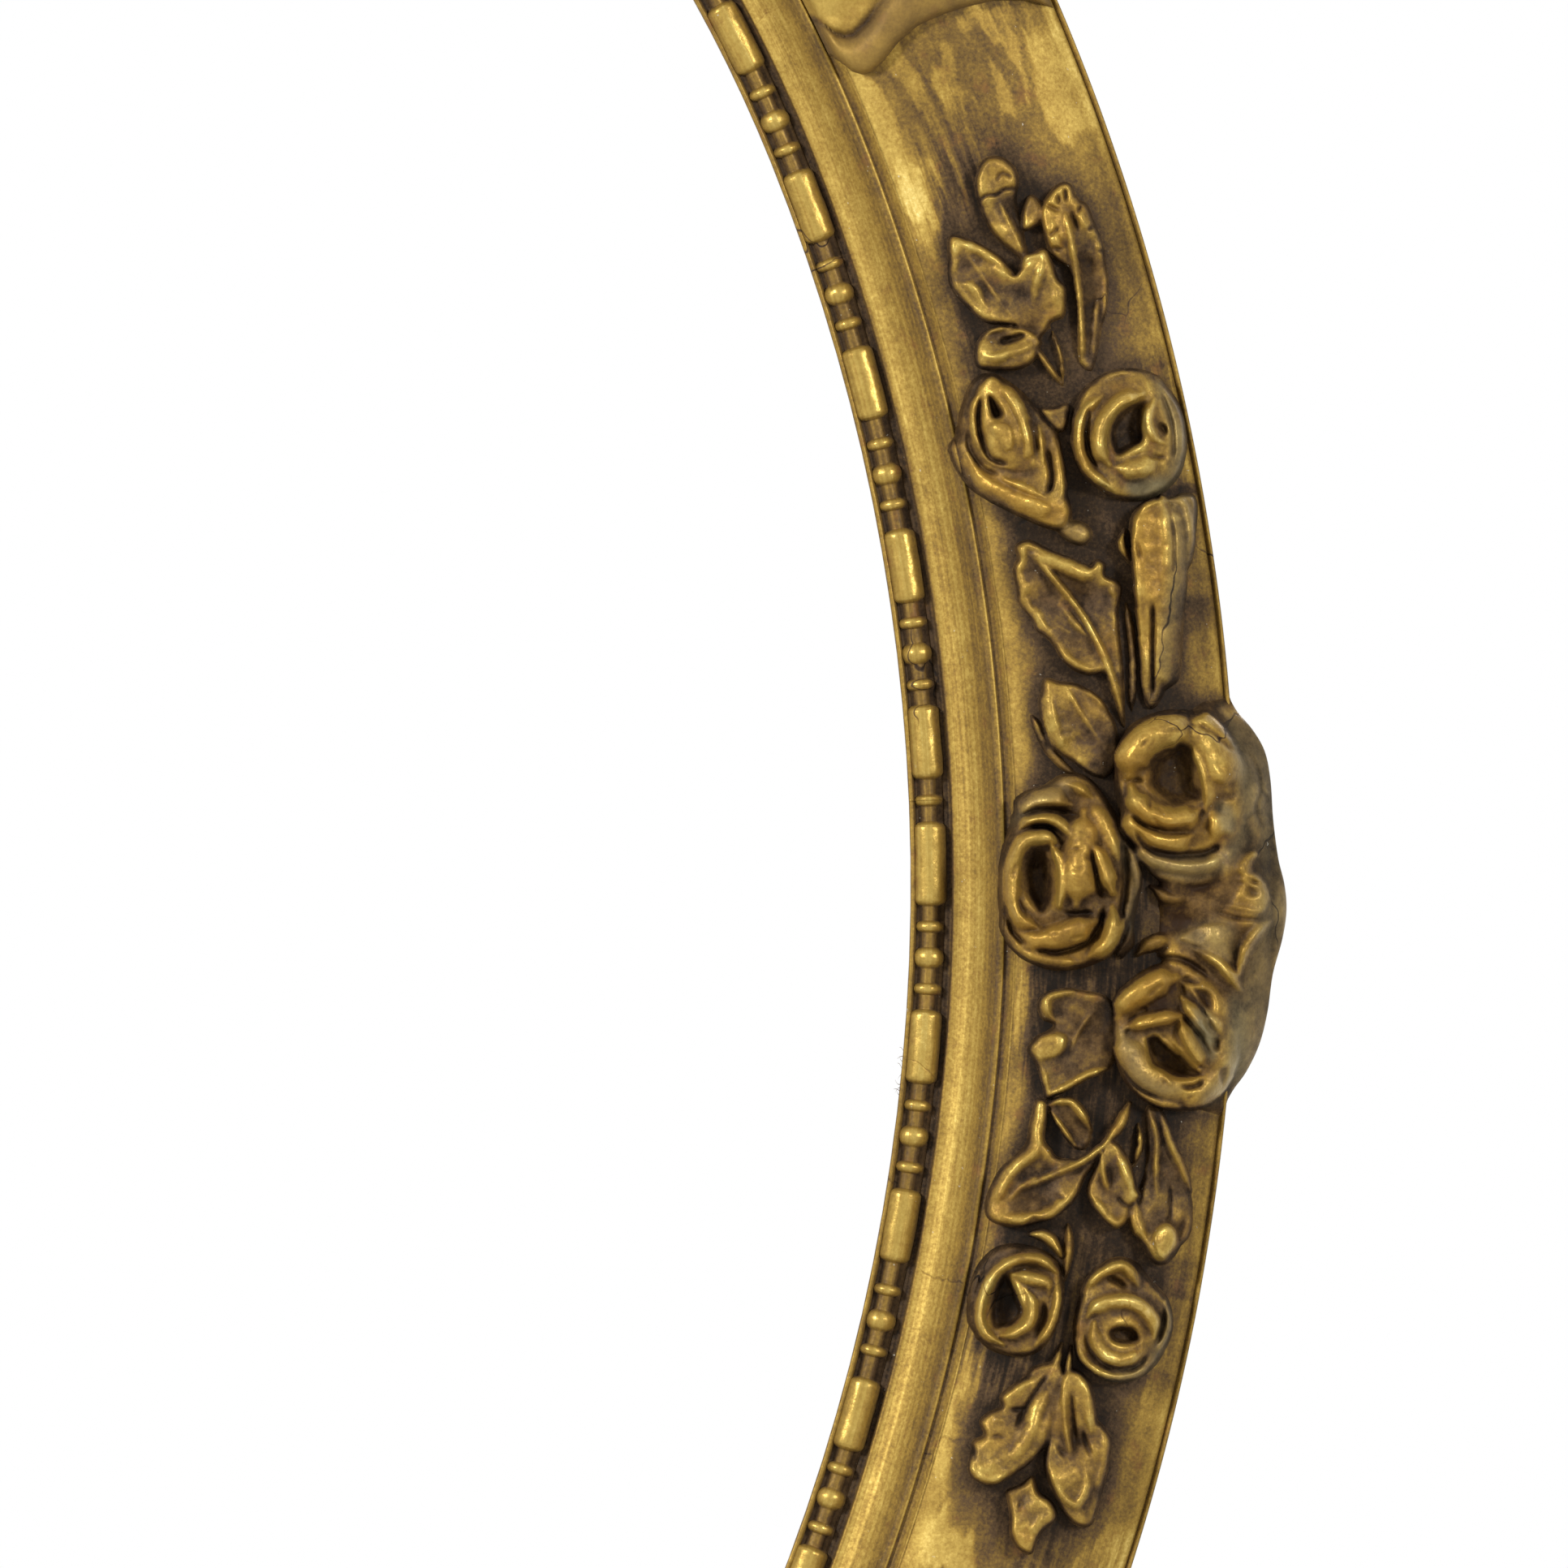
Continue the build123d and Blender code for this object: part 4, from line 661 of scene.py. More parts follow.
def buds(r):
    # sepal cup and stem
    r.blade([(16.4, 80.4), (15.9, 76), (16.8, 71.6), (18.5, 68.2), (21, 65.3), (24, 62.8), (27, 60.8),
             (30, 59.8), (31.8, 62), (31.7, 66), (32, 71), (32.2, 75.6), (31, 78), (29.8, 80.4),
             (27.5, 84.5), (24.5, 87.8), (21, 88), (18.2, 84.6)],
            [(24, 66, 4.4), (17, 76, 2.6), (30.4, 64, 4.2), (31, 75, 2.4), (24, 86, 1.2), (24, 76, 2.4)],
            edge=0.6, dome=0.8)
    r.blade([(29.2, 61), (31.6, 61), (34, 59.9), (34.7, 58), (33.2, 56.6), (31, 57.3), (29.4, 59.2)], 2.4,
            edge=0.6, dome=0.7)
    r.fold([(16.6, 79.6, 3.0), (16.6, 75.6, 3.8), (17.9, 71.8, 4.4), (20.2, 69, 5.0), (23.6, 66.4, 5.8),
            (27.4, 64, 6.0), (30, 62.2, 4.8)], 1.5, 2.6, 2.2)
    r.fold([(31.2, 76.4, 3.4), (31.4, 71, 4.0), (30.9, 66, 4.8), (29.8, 62.8, 4.6)], 0.9, 0.9, 1.6)
    r.fold([(22, 69.8, 5.4), (25.4, 67.4, 6.0), (28, 65.4, 5.6)], 0.8, 0.8, 1.0)
    # the bud in it
    r.blade([(23, 87.6), (20.4, 85.4), (18.6, 81.4), (18.2, 77), (19.2, 73.6), (21.6, 71.6), (24.6, 70.2),
             (27.6, 69.9), (28.9, 71.4), (29.3, 75), (28.2, 79.4), (26.6, 83.6), (24.8, 87)],
            [(23, 77, 5.2), (19, 78, 3.4), (28.4, 73, 3.6), (24, 86, 3.6)], edge=0.5, dome=1.4, dome_width=4)
    r.fold([(21.6, 86, 4.2), (19.4, 82.4, 4.8), (18.8, 78, 5.0), (19.6, 74, 4.4)], 0.8, 0.6, 1.4)
    r.fold([(24.2, 86.2, 4.8), (26, 82.4, 6.2), (26.8, 78, 6.6), (26.6, 74, 6.2), (25, 71.4, 5.0)], 1.6,
           0.9, 2.0)
    r.fold([(29.4, 77.6, 4.2), (29.1, 73.8, 4.6), (28.4, 70.8, 4.2), (25, 70.6, 4.0)], 0.6, 0.5, 1.2)
    r.blade([(20.6, 79), (21.6, 76), (23, 73.6), (25.2, 74.6), (25.8, 78), (24.2, 80), (22, 80.4)], 6.4,
            edge=1.2, dome=0.8)
    r.pit([(22.2, 84.6), (21.8, 82), (22.2, 80.2), (23.8, 80), (24.4, 81.2), (23.4, 84)], 2.0, 0.9)
    r.groove([(21.4, 85), (20, 81), (19.8, 77.4), (20.6, 73.8), (23.6, 72)], 0.7, 2.0)
    r.groove([(27.8, 80), (28.2, 76), (27.8, 72.4)], 0.55, 1.8)
    r.groove([(17.8, 80), (17.6, 76), (19, 72.4), (21.6, 70.6)], 0.55, 1.4)
    r.groove([(29.8, 74), (29.9, 69.4), (29, 66.6), (27.6, 66)], 0.7, 2.2)
    r.paint(r.warm, [(16.6, 74), (18.6, 69), (24, 64), (30, 60.6), (31, 64), (27, 66), (20, 71)], 1.0)
    r.paint(r.grey, [(29.6, 61), (33, 60.4), (34.6, 58), (33, 56.8), (30.4, 58)], 0.4)
    # small leaf beside the bud
    r.blade([(30.2, 80), (32.6, 80), (35, 80), (34.4, 77.6), (33.4, 75.8), (31.8, 76.4)], 2.6, edge=0.5,
            rim=0.4)
    # calyx
    r.blade([(41.4, 59), (43.4, 61.2), (46, 62.2), (48, 61), (50.4, 62), (52.6, 61.2), (52.2, 57.6),
             (50.4, 53), (48.4, 48.6), (46.4, 43.6), (45, 39), (43.8, 34.4), (42.6, 29.8), (40.6, 28.4),
             (39.9, 31), (40.2, 38), (40.9, 46), (40.8, 53)],
            [(45, 58, 5.6), (51, 58, 4.0), (44, 48, 5.0), (42, 38, 3.2), (41, 30, 1.6)], edge=0.6, dome=1.0)
    r.fold([(46.8, 61, 7.2), (46.6, 56, 7.2), (45.8, 50, 6.6), (44.4, 44, 5.4), (43.2, 37, 3.8),
            (42.2, 31, 2.4)], 3.6, 2.2, 2.4)
    r.fold([(41.8, 58, 5.8), (41.2, 50, 5.4), (40.8, 43, 4.2), (40.5, 36, 3.0), (40.3, 30, 2.0)], 0.5, 0.8,
           0.8)
    r.fold([(48.4, 61.4, 5.6), (50.6, 60.4, 5.8), (50.6, 55, 5.2), (48.6, 49.4, 4.6)], 1.0, 1.4, 1.6)
    r.fold([(42.4, 59.6, 6.0), (44.4, 61, 6.4), (46.8, 61.6, 6.8)], 0.7, 0.8, 1.0)
    r.fold([(40.2, 58, 3.2), (39.2, 55.6, 3.6), (40.2, 52.4, 3.0)], 0.8, 0.8, 1.6)
    r.groove([(43.0, 46), (42.4, 41), (41.7, 35), (41.3, 30)], 0.6, 2.0)
    r.groove([(48.0, 61), (47.9, 55), (46.8, 49)], 0.45, 1.0)
    r.groove([(41.6, 56.6), (42.1, 52)], 0.5, 1.0)
    r.paint(r.warm, [(41.6, 59), (45.6, 61), (46.4, 55), (45, 46), (43.4, 44), (41.4, 50)], 0.9)
    r.paint(r.grey, [(47.6, 61.6), (52.8, 61.6), (51.4, 54), (47.6, 45.4), (44, 33), (43, 38), (46, 48),
             (47.6, 55)], 0.5)


def upper_leaves(r):
    # long lobed leaf
    r.blade([(22, 58.2), (24.2, 58.8), (26.8, 57), (29.2, 55.2), (31.6, 53.6), (33.6, 52.8), (34.8, 53.8),
             (36, 52.9), (35.8, 51), (37.4, 50), (38.2, 48.4), (37.4, 46), (37, 43), (36.9, 39), (36.9, 34),
             (36.7, 29), (36.2, 25.4), (35.4, 28), (34.7, 32), (34, 35), (31.4, 35), (28.8, 36), (27, 38),
             (25.8, 40.6), (24.6, 42.2), (23.2, 43.6), (22.9, 45.8), (21.6, 47.4), (20.9, 49), (21.3, 51),
             (20.9, 53), (21.2, 54.8), (22, 56)],
            [(23, 57, 3.8), (27, 50, 1.5), (32, 48, 1.5), (35.6, 52, 3.4), (29, 41, 1.7), (36.4, 45, 1.6),
             (36.4, 30, 0.6), (22, 51, 2.8), (31, 36, 2.6)], edge=0.5, rim=0.9, inset=0.9)
    r.fold([(22.6, 57.4, 4.2), (26, 55.6, 4.4), (29.6, 53.6, 4.2), (33, 51.6, 3.8), (34.8, 51.8, 3.8)], 1.5,
           1.5, 1.4)
    r.fold([(36.6, 49.6, 3.6), (36.8, 47, 3.2)], 0.9, 0.9, 1.2)
    r.fold([(21.8, 55.2, 3.6), (22, 51.4, 3.4), (22.4, 48, 3.2), (24, 45, 3.0), (25.6, 42.6, 2.8)], 0.9,
           0.9, 1.0)
    r.fold([(26.6, 40.4, 2.8), (28.4, 37.6, 3.2), (31, 36, 3.2), (33.6, 35.4, 2.6)], 0.9, 0.8, 1.2)
    r.fold([(24.6, 56.2, 4.4), (27.4, 51.6, 3.9), (30.8, 45.8, 3.6), (33, 40.6, 3.4), (34.6, 35, 3.0),
            (35.8, 29.6, 2.2), (36.3, 26, 1.4)], 0.55, 0.6, 1.0)
    r.fold([(33.2, 40.6, 3.2), (34.6, 35.4, 2.9), (35.8, 29.6, 2.2)], 0.9, 0.8, 1.0)
    r.fold([(28.2, 46.4, 2.6), (29.8, 43.6, 2.8), (31.6, 41.4, 2.6)], 0.8, 0.7, 0.9)
    r.fold([(26.4, 44.2, 2.2), (28.8, 42.2, 2.4)], 0.6, 0.6, 0.7)
    # short leaf
    r.blade([(23.8, 35), (26.2, 34.2), (29, 33.6), (31.6, 31.8), (33.6, 29.2), (34.9, 26), (35.2, 22.6),
             (34.6, 19.6), (32.6, 17.6), (30, 18.4), (27.4, 20.6), (25, 22.6), (23.6, 25.4), (22.7, 28.8),
             (23, 32.2)],
            [(24.4, 31, 3.6), (25, 25, 3.4), (29, 24, 1.6), (32, 29, 2.2), (33, 21, 1.6)], edge=0.5,
            dome=0.4)
    r.fold([(24.4, 34, 4.4), (24.4, 29.6, 4.6), (25.2, 25.6, 4.2), (26.6, 22.2, 3.2)], 1.2, 1.9, 1.6)
    r.fold([(27, 33.6, 4.0), (28.6, 30, 3.8), (30.6, 26.2, 3.0), (33, 22, 2.4)], 0.55, 0.55, 0.9)
    r.fold([(29.4, 33, 2.8), (32, 30.8, 3.0), (33.8, 28, 2.6)], 0.6, 0.6, 0.8)
    # edge of a third leaf behind it
    r.blade([(20.8, 29), (22.2, 28), (23.4, 25), (25.4, 21.6), (27.6, 18.8), (26.4, 18.6), (23.8, 21),
             (21.8, 24.6)],
            [(21.4, 28, 2.0), (26, 20, 1.4)], edge=0.4, rim=0.4, inset=0.5)
    # stems between leaf and calyx
    r.fold([(38.6, 46, 1.2), (38.8, 40, 1.6), (38.4, 34, 1.6), (37.6, 28, 1.0)], 0.7, 0.7, 0.8)


def lower_leaves(r):
    # curled leaf
    r.blade([(21.6, -21), (22.4, -19), (25, -18.2), (29, -18), (33, -18.8), (34.9, -22), (35.2, -27),
             (34.5, -30.3), (31.6, -31.6), (28.6, -33.9), (25.2, -36.4), (23.9, -36.5), (23.2, -33.4),
             (21.8, -30.6), (20.5, -28.6), (21.7, -26.4), (23.4, -25.2), (24.4, -24), (22.4, -23.2)],
            [(30, -24, 0.7), (25.5, -21, 1.0), (33.4, -30, 1.6), (22.4, -28.4, 3.4), (23, -20, 3.0)],
            edge=0.5, rim=0.3)
    r.fold([(29, -18.2, 1.6), (25.6, -18.6, 2.8), (23.2, -19.6, 3.6), (23.2, -21.8, 3.6), (24.6, -23.4, 3.0)],
           0.8, 0.8, 1.2)
    r.blade([(20.7, -28.4), (21.8, -26.4), (23.6, -25.4), (26, -25.4), (26.8, -26.6), (26.2, -28.8),
             (24.2, -30), (22.2, -30.4)],
            [(22, -28, 3.8), (26, -26.6, 3.4)], edge=0.4, dome=0.6)
    r.fold([(22.6, -30, 3.6), (23.6, -33, 3.6), (24.5, -35.8, 3.6)], 0.7, 0.7, 1.2)
    r.fold([(24.6, -36, 3.6), (27.8, -34, 3.4), (30.8, -31.9, 3.2), (34, -30.6, 3.0)], 0.8, 0.7, 1.4)
    r.fold([(27.4, -31.6, 1.8), (27.6, -28, 2.0), (28.8, -24.4, 1.9), (31, -21, 1.6)], 0.4, 0.4, 0.6)
    # small leaf between
    r.blade([(24.7, -37.9), (26.8, -36.5), (29.8, -36.8), (31.4, -39), (32.4, -41.6), (31.6, -44.6),
             (29, -44.2), (26.8, -41.4)],
            [(28, -38, 2.0), (30, -43, 0.7)], edge=0.5)
    r.fold([(24.7, -37.7, 3.2), (26.4, -36.8, 3.6), (28.6, -36.8, 3.6), (30.6, -38.8, 3.4),
            (32.2, -41.2, 2.2)], 0.6, 0.9, 1.2)
    r.fold([(25.1, -38.7, 3.2), (27.6, -41.6, 3.0), (30, -44.2, 2.2)], 0.45, 0.45, 1.0)
    # long leaf
    r.blade([(34.6, -42.4), (33, -45.2), (30, -46.2), (27.2, -46.4), (26, -45.2), (24.6, -43.6),
             (24.7, -40), (24.2, -37.2), (22.6, -37.3), (22.1, -41), (21.9, -44.5), (20.3, -47),
             (18.4, -49.4), (17.2, -52.4), (16.6, -56), (17.4, -58.4), (20, -59.2), (23, -58.9),
             (26.2, -57.4), (29.2, -55.4), (31.2, -52.6), (32.2, -49), (33.8, -46)],
            [(18.5, -57, 4.2), (19, -51, 4.0), (25, -50.5, 1.5), (24, -54, 1.8), (30, -53, 3.4),
             (23.4, -42, 3.2), (31, -48, 1.6)], edge=0.5, rim=0.5)
    r.fold([(23.4, -38, 3.8), (23.2, -42, 3.8), (23.4, -45.6, 4.0), (20.8, -48.6, 4.6), (18.9, -52.2, 4.8),
            (18.2, -56.2, 4.8)], 1.2, 1.2, 1.5)
    r.fold([(18.8, -57.8, 4.6), (22.4, -57.9, 4.5), (25.0, -56.4, 4.1)], 1.4, 1.0, 1.5)
    r.fold([(24.2, -56.6, 4.2), (27.0, -56.2, 4.3), (29.8, -53, 3.8), (31.2, -50, 3.0)], 1.3, 0.9, 1.4)
    r.fold([(20.2, -55.6, 3.6), (21.2, -53.0, 3.7), (24.0, -50.2, 3.4)], 0.4, 0.5, 0.7)
    r.groove([(26.6, -52.0), (28.6, -53.0), (30.4, -52.4)], 0.4, 0.7)
    r.fold([(35, -42.8, 4.0), (31.4, -46.4, 3.8), (27.4, -49, 3.4), (23.6, -51.4, 3.0), (21, -53.4, 2.6)],
           0.6, 0.6, 0.9)
    # middle leaf
    r.blade([(35.4, -42.4), (37.6, -43.6), (39.6, -46.6), (40.7, -49.4), (41.6, -51), (40.4, -52.6),
             (40.2, -55), (38.6, -56.4), (36, -55.2), (33.8, -53.2), (32.8, -51), (33.6, -47.4),
             (34.2, -44.4)],
            [(39, -49, 3.4), (35.6, -49, 1.5), (37, -55, 3.6), (34, -52, 2.8), (36, -44, 3.0)], edge=0.45,
            rim=0.15)
    r.fold([(36.6, -44, 3.8), (38.8, -47.6, 4.0), (40.4, -51, 4.0)], 1.1, 1.0, 1.4)
    r.fold([(33.4, -51.6, 3.4), (35.8, -54, 4.2), (38.4, -55.7, 4.6), (39.8, -53.8, 4.0)], 0.9, 0.9, 1.3)
    r.fold([(34.1, -44.1, 3.6), (35.2, -48.4, 3.4), (36.8, -51.8, 2.8)], 0.45, 0.45, 1.0)
    r.groove([(37.6, -51.2), (39.2, -52.6), (41, -53)], 0.4, 0.9, 1.0)
    r.groove([(36.4, -53.2), (37.2, -55.6)], 0.35, 0.7, 1.0)
    r.fold([(38, -36, 3.4), (36.8, -39.6, 4.2), (34.8, -43, 4.4)], 0.9, 0.9, 1.4)
    # outer leaf
    r.blade([(40.8, -36.4), (43, -36.4), (44.8, -38.8), (46.2, -42), (47.8, -45), (49.4, -48), (50.6, -52),
             (50.2, -56), (49, -58.6), (47.8, -60.8), (45.6, -61), (43.4, -58.6), (41.4, -55.6),
             (41.4, -51), (41.8, -46), (41.4, -41)],
            [(42, -38, 1.6), (43.4, -46, 0.8), (47.2, -49, 1.4), (46, -58.6, 4.8), (43, -55, 2.6),
             (49.4, -54, 2.2), (45.4, -52, 1.8)], edge=0.7, dome=0.3)
    r.fold([(43.1, -36.6, 2.8), (45.3, -41.4, 3.6), (47.6, -45.0, 3.4), (49.9, -49, 2.6)], 0.8, 0.7, 1.4)
    r.fold([(41.3, -36.8, 3.0), (43.1, -41, 3.2), (43.6, -46, 3.0), (44.5, -51, 2.8)], 0.5, 0.5, 1.1)
    r.fold([(39.8, -39.2, 2.0), (40.5, -42.6, 2.4), (39.9, -46.1, 2.0)], 0.6, 0.6, 0.9)
    r.fold([(40.8, -51.2, 2.8), (42.0, -54.8, 3.8), (44.0, -58.0, 4.8)], 0.8, 1.6, 1.4)
    r.fold([(50.2, -51.6, 2.2), (50.2, -55.4, 3.2), (48.8, -58.2, 4.2)], 0.7, 1.2, 1.2)
    r.groove([(46.0, -47.6), (47.0, -52.4), (46.8, -56.0)], 0.5, 0.9)
    r.blade([(44.2, -57), (46, -54.4), (48.4, -55), (49.2, -57.6), (47.8, -60.4), (45.8, -60.6)], 5.4,
            edge=1.0, dome=0.6)


def top_sprig(r):
    # upper leaf
    r.blade([(34.6, 104.2), (32.2, 107.4), (30.5, 110.6), (29.9, 114), (29.9, 117.6), (30.9, 120.6),
             (33.2, 122.7), (35.6, 122.3), (37.3, 119.9), (37.1, 117.4), (36, 115), (35.5, 111),
             (35.2, 107)],
            [(31.4, 118, 3.6), (34, 122, 3.8), (36.4, 118.6, 3.4), (31.6, 111, 2.4), (35, 113, 0.8),
             (34.4, 106, 1.2)], edge=0.5, dome=0.4, dome_width=2)
    r.fold([(33, 116.6, 3.4), (33.4, 112, 2.8), (34.2, 105.4, 2.2)], 0.4, 0.4, 0.8)
    r.groove([(33.4, 118.4), (35.0, 119.6), (36.6, 118.2)], 0.4, 0.9, 1.0)
    r.groove([(29.6, 116.4), (31.4, 117.0), (33.0, 116.6), (34.6, 117.0), (36.8, 116.4)], 0.32, 1.4, 0.6)
    r.groove([(34.6, 112.6), (34.9, 109.0), (35.0, 106.0)], 0.5, 0.9)
    r.blade([(35.4, 109.8), (36.4, 113), (38.3, 114.8), (39.6, 113), (39.4, 110.6), (37.4, 109.6)], 2.4,
            edge=0.5, dome=0.5)
    # wide leaf with two lobes
    r.blade([(31.6, 91), (30.6, 94), (28.2, 95.4), (25, 96.8), (23, 99.8), (21.2, 104.4), (22.3, 109),
             (23.6, 112.4), (26.2, 111), (29, 107.8), (30.6, 104.8), (31.9, 103), (33.6, 104.2),
             (36, 105.5), (38, 105.6), (38.4, 103), (38.5, 100.4), (39.3, 98.6), (38.6, 96), (37.8, 94.2),
             (35.6, 93.8), (34.2, 92.4)],
            [(23, 105, 3.4), (24.4, 110, 4.0), (27.4, 102, 2.4), (29.8, 105, 3.6), (32, 99, 2.2),
             (36.6, 103, 4.2), (38, 98, 3.6), (31.6, 93, 1.2), (24.6, 98, 3.4)], edge=0.5, rim=0.5)
    r.fold([(24.2, 111, 4.6), (27, 109, 4.6), (29.4, 106, 4.0), (31.4, 103.4, 3.4)], 1.1, 1.1, 1.3)
    r.fold([(22.3, 104.6, 4.2), (24.6, 102.8, 4.2), (25.4, 99.4, 3.6), (28, 97, 2.8)], 1.2, 1.2, 1.2)
    r.fold([(25, 109.4, 4.4), (26.4, 105, 3.6), (28.2, 99.6, 3.2), (30.8, 93.4, 2.2)], 0.45, 0.45, 0.9)
    r.fold([(37.2, 104.6, 5.0), (35.6, 101.6, 4.6), (34.2, 99, 3.4), (33, 95, 2.0)], 1.0, 1.2, 1.5)
    r.fold([(37.6, 99, 4.2), (37.2, 96, 3.8)], 0.9, 0.9, 1.2)
    r.fold([(33.2, 104, 3.6), (35, 104.9, 4.4), (37, 105, 4.8)], 0.7, 0.7, 1.0)
    # ragged leaf
    r.blade([(38.3, 87), (40.2, 92), (40.9, 97), (40.7, 101.4), (38.9, 104), (38.5, 108), (39.1, 111.6),
             (41, 113.7), (43.4, 115), (45.2, 114.4), (45.4, 111.8), (46.7, 110.6), (47, 107), (47.5, 104),
             (47, 101), (46.6, 98), (45.2, 94.4), (43.6, 91), (42, 87.4), (40, 84.2)],
            [(41, 108, 4.0), (45, 108, 3.8), (44, 113, 3.4), (43.8, 101, 1.2), (46.6, 102, 2.6),
             (42.8, 95, 0.7), (40.4, 88, 0.8)], edge=0.45, rim=0.4)
    r.fold([(42.8, 110, 5.0), (42.4, 105.4, 4.6), (41.6, 99.6, 3.4), (40.4, 93, 2.6), (38.8, 86, 1.8)], 0.6,
           0.6, 1.1)
    r.fold([(40.4, 111, 4.4), (40, 107, 4.4), (41, 104, 3.8)], 1.2, 1.2, 1.4)
    r.fold([(45.4, 112, 4.2), (45.2, 108.4, 4.6), (46, 105.4, 3.8)], 0.9, 0.9, 1.4)
    r.fold([(46.6, 104.6, 3.8), (46.4, 101.6, 3.4)], 0.8, 0.8, 1.2)
    r.fold([(46.6, 100.4, 2.4), (45, 94.4, 2.0), (43.6, 91.4, 1.6)], 0.4, 0.4, 0.7)
    r.fold([(44.2, 96, 1.6), (42.2, 90.6, 1.8), (40.6, 85.6, 1.4)], 0.5, 0.5, 0.7)
    r.pit([(43.4, 109.4), (44.2, 110.4), (44.6, 108), (43.8, 106.4)], 2.2, 0.6)
    for line in ([(40.0, 112.8), (42.2, 110.6)], [(44.2, 114.4), (43.6, 111.6)],
                 [(46.0, 111.0), (44.6, 109.2)], [(47.4, 107.2), (45.2, 106.4)],
                 [(41.4, 108.4), (38.8, 107.2)], [(47.6, 103.0), (45.8, 102.6)],
                 [(42.8, 113.8), (42.2, 111.6)], [(38.4, 105.6), (41.0, 104.6)]):
        r.groove(line, 0.45, 1.3, 0.9)
    # curled lower leaf
    r.blade([(33.2, 91.3), (31.6, 93.6), (28.6, 94.9), (25.4, 95.3), (23.2, 94.1), (21.9, 91.6), (22.1, 89.6),
             (24.4, 88.6), (28, 87.6), (30.9, 88.2), (32.4, 90)],
            [(23.4, 91, 4.2), (28, 90, 3.4), (31.6, 91, 2.4), (27, 94, 1.6)], edge=0.5, dome=0.5)
    r.fold([(22.8, 92, 4.6), (24.6, 90.6, 5.0), (28, 90.6, 4.4), (31, 91, 3.4), (33, 92.4, 2.6)], 1.0, 1.4,
           1.6)
    r.fold([(23.8, 94.2, 3.2), (26, 95, 3.4), (29, 94.7, 2.6)], 0.5, 0.5, 0.8)
    r.groove([(25.6, 92.8), (28.4, 92.7), (31.6, 93)], 0.9, 2.0)
    # stalks
    r.fold([(31.8, 91, 2.4), (33.2, 87, 2.2), (34.8, 83.2, 1.4)], 0.6, 0.7, 1.0)
    r.fold([(35.2, 93, 2.0), (35.6, 88, 1.8), (35, 83.4, 1.2)], 0.4, 0.4, 0.7)


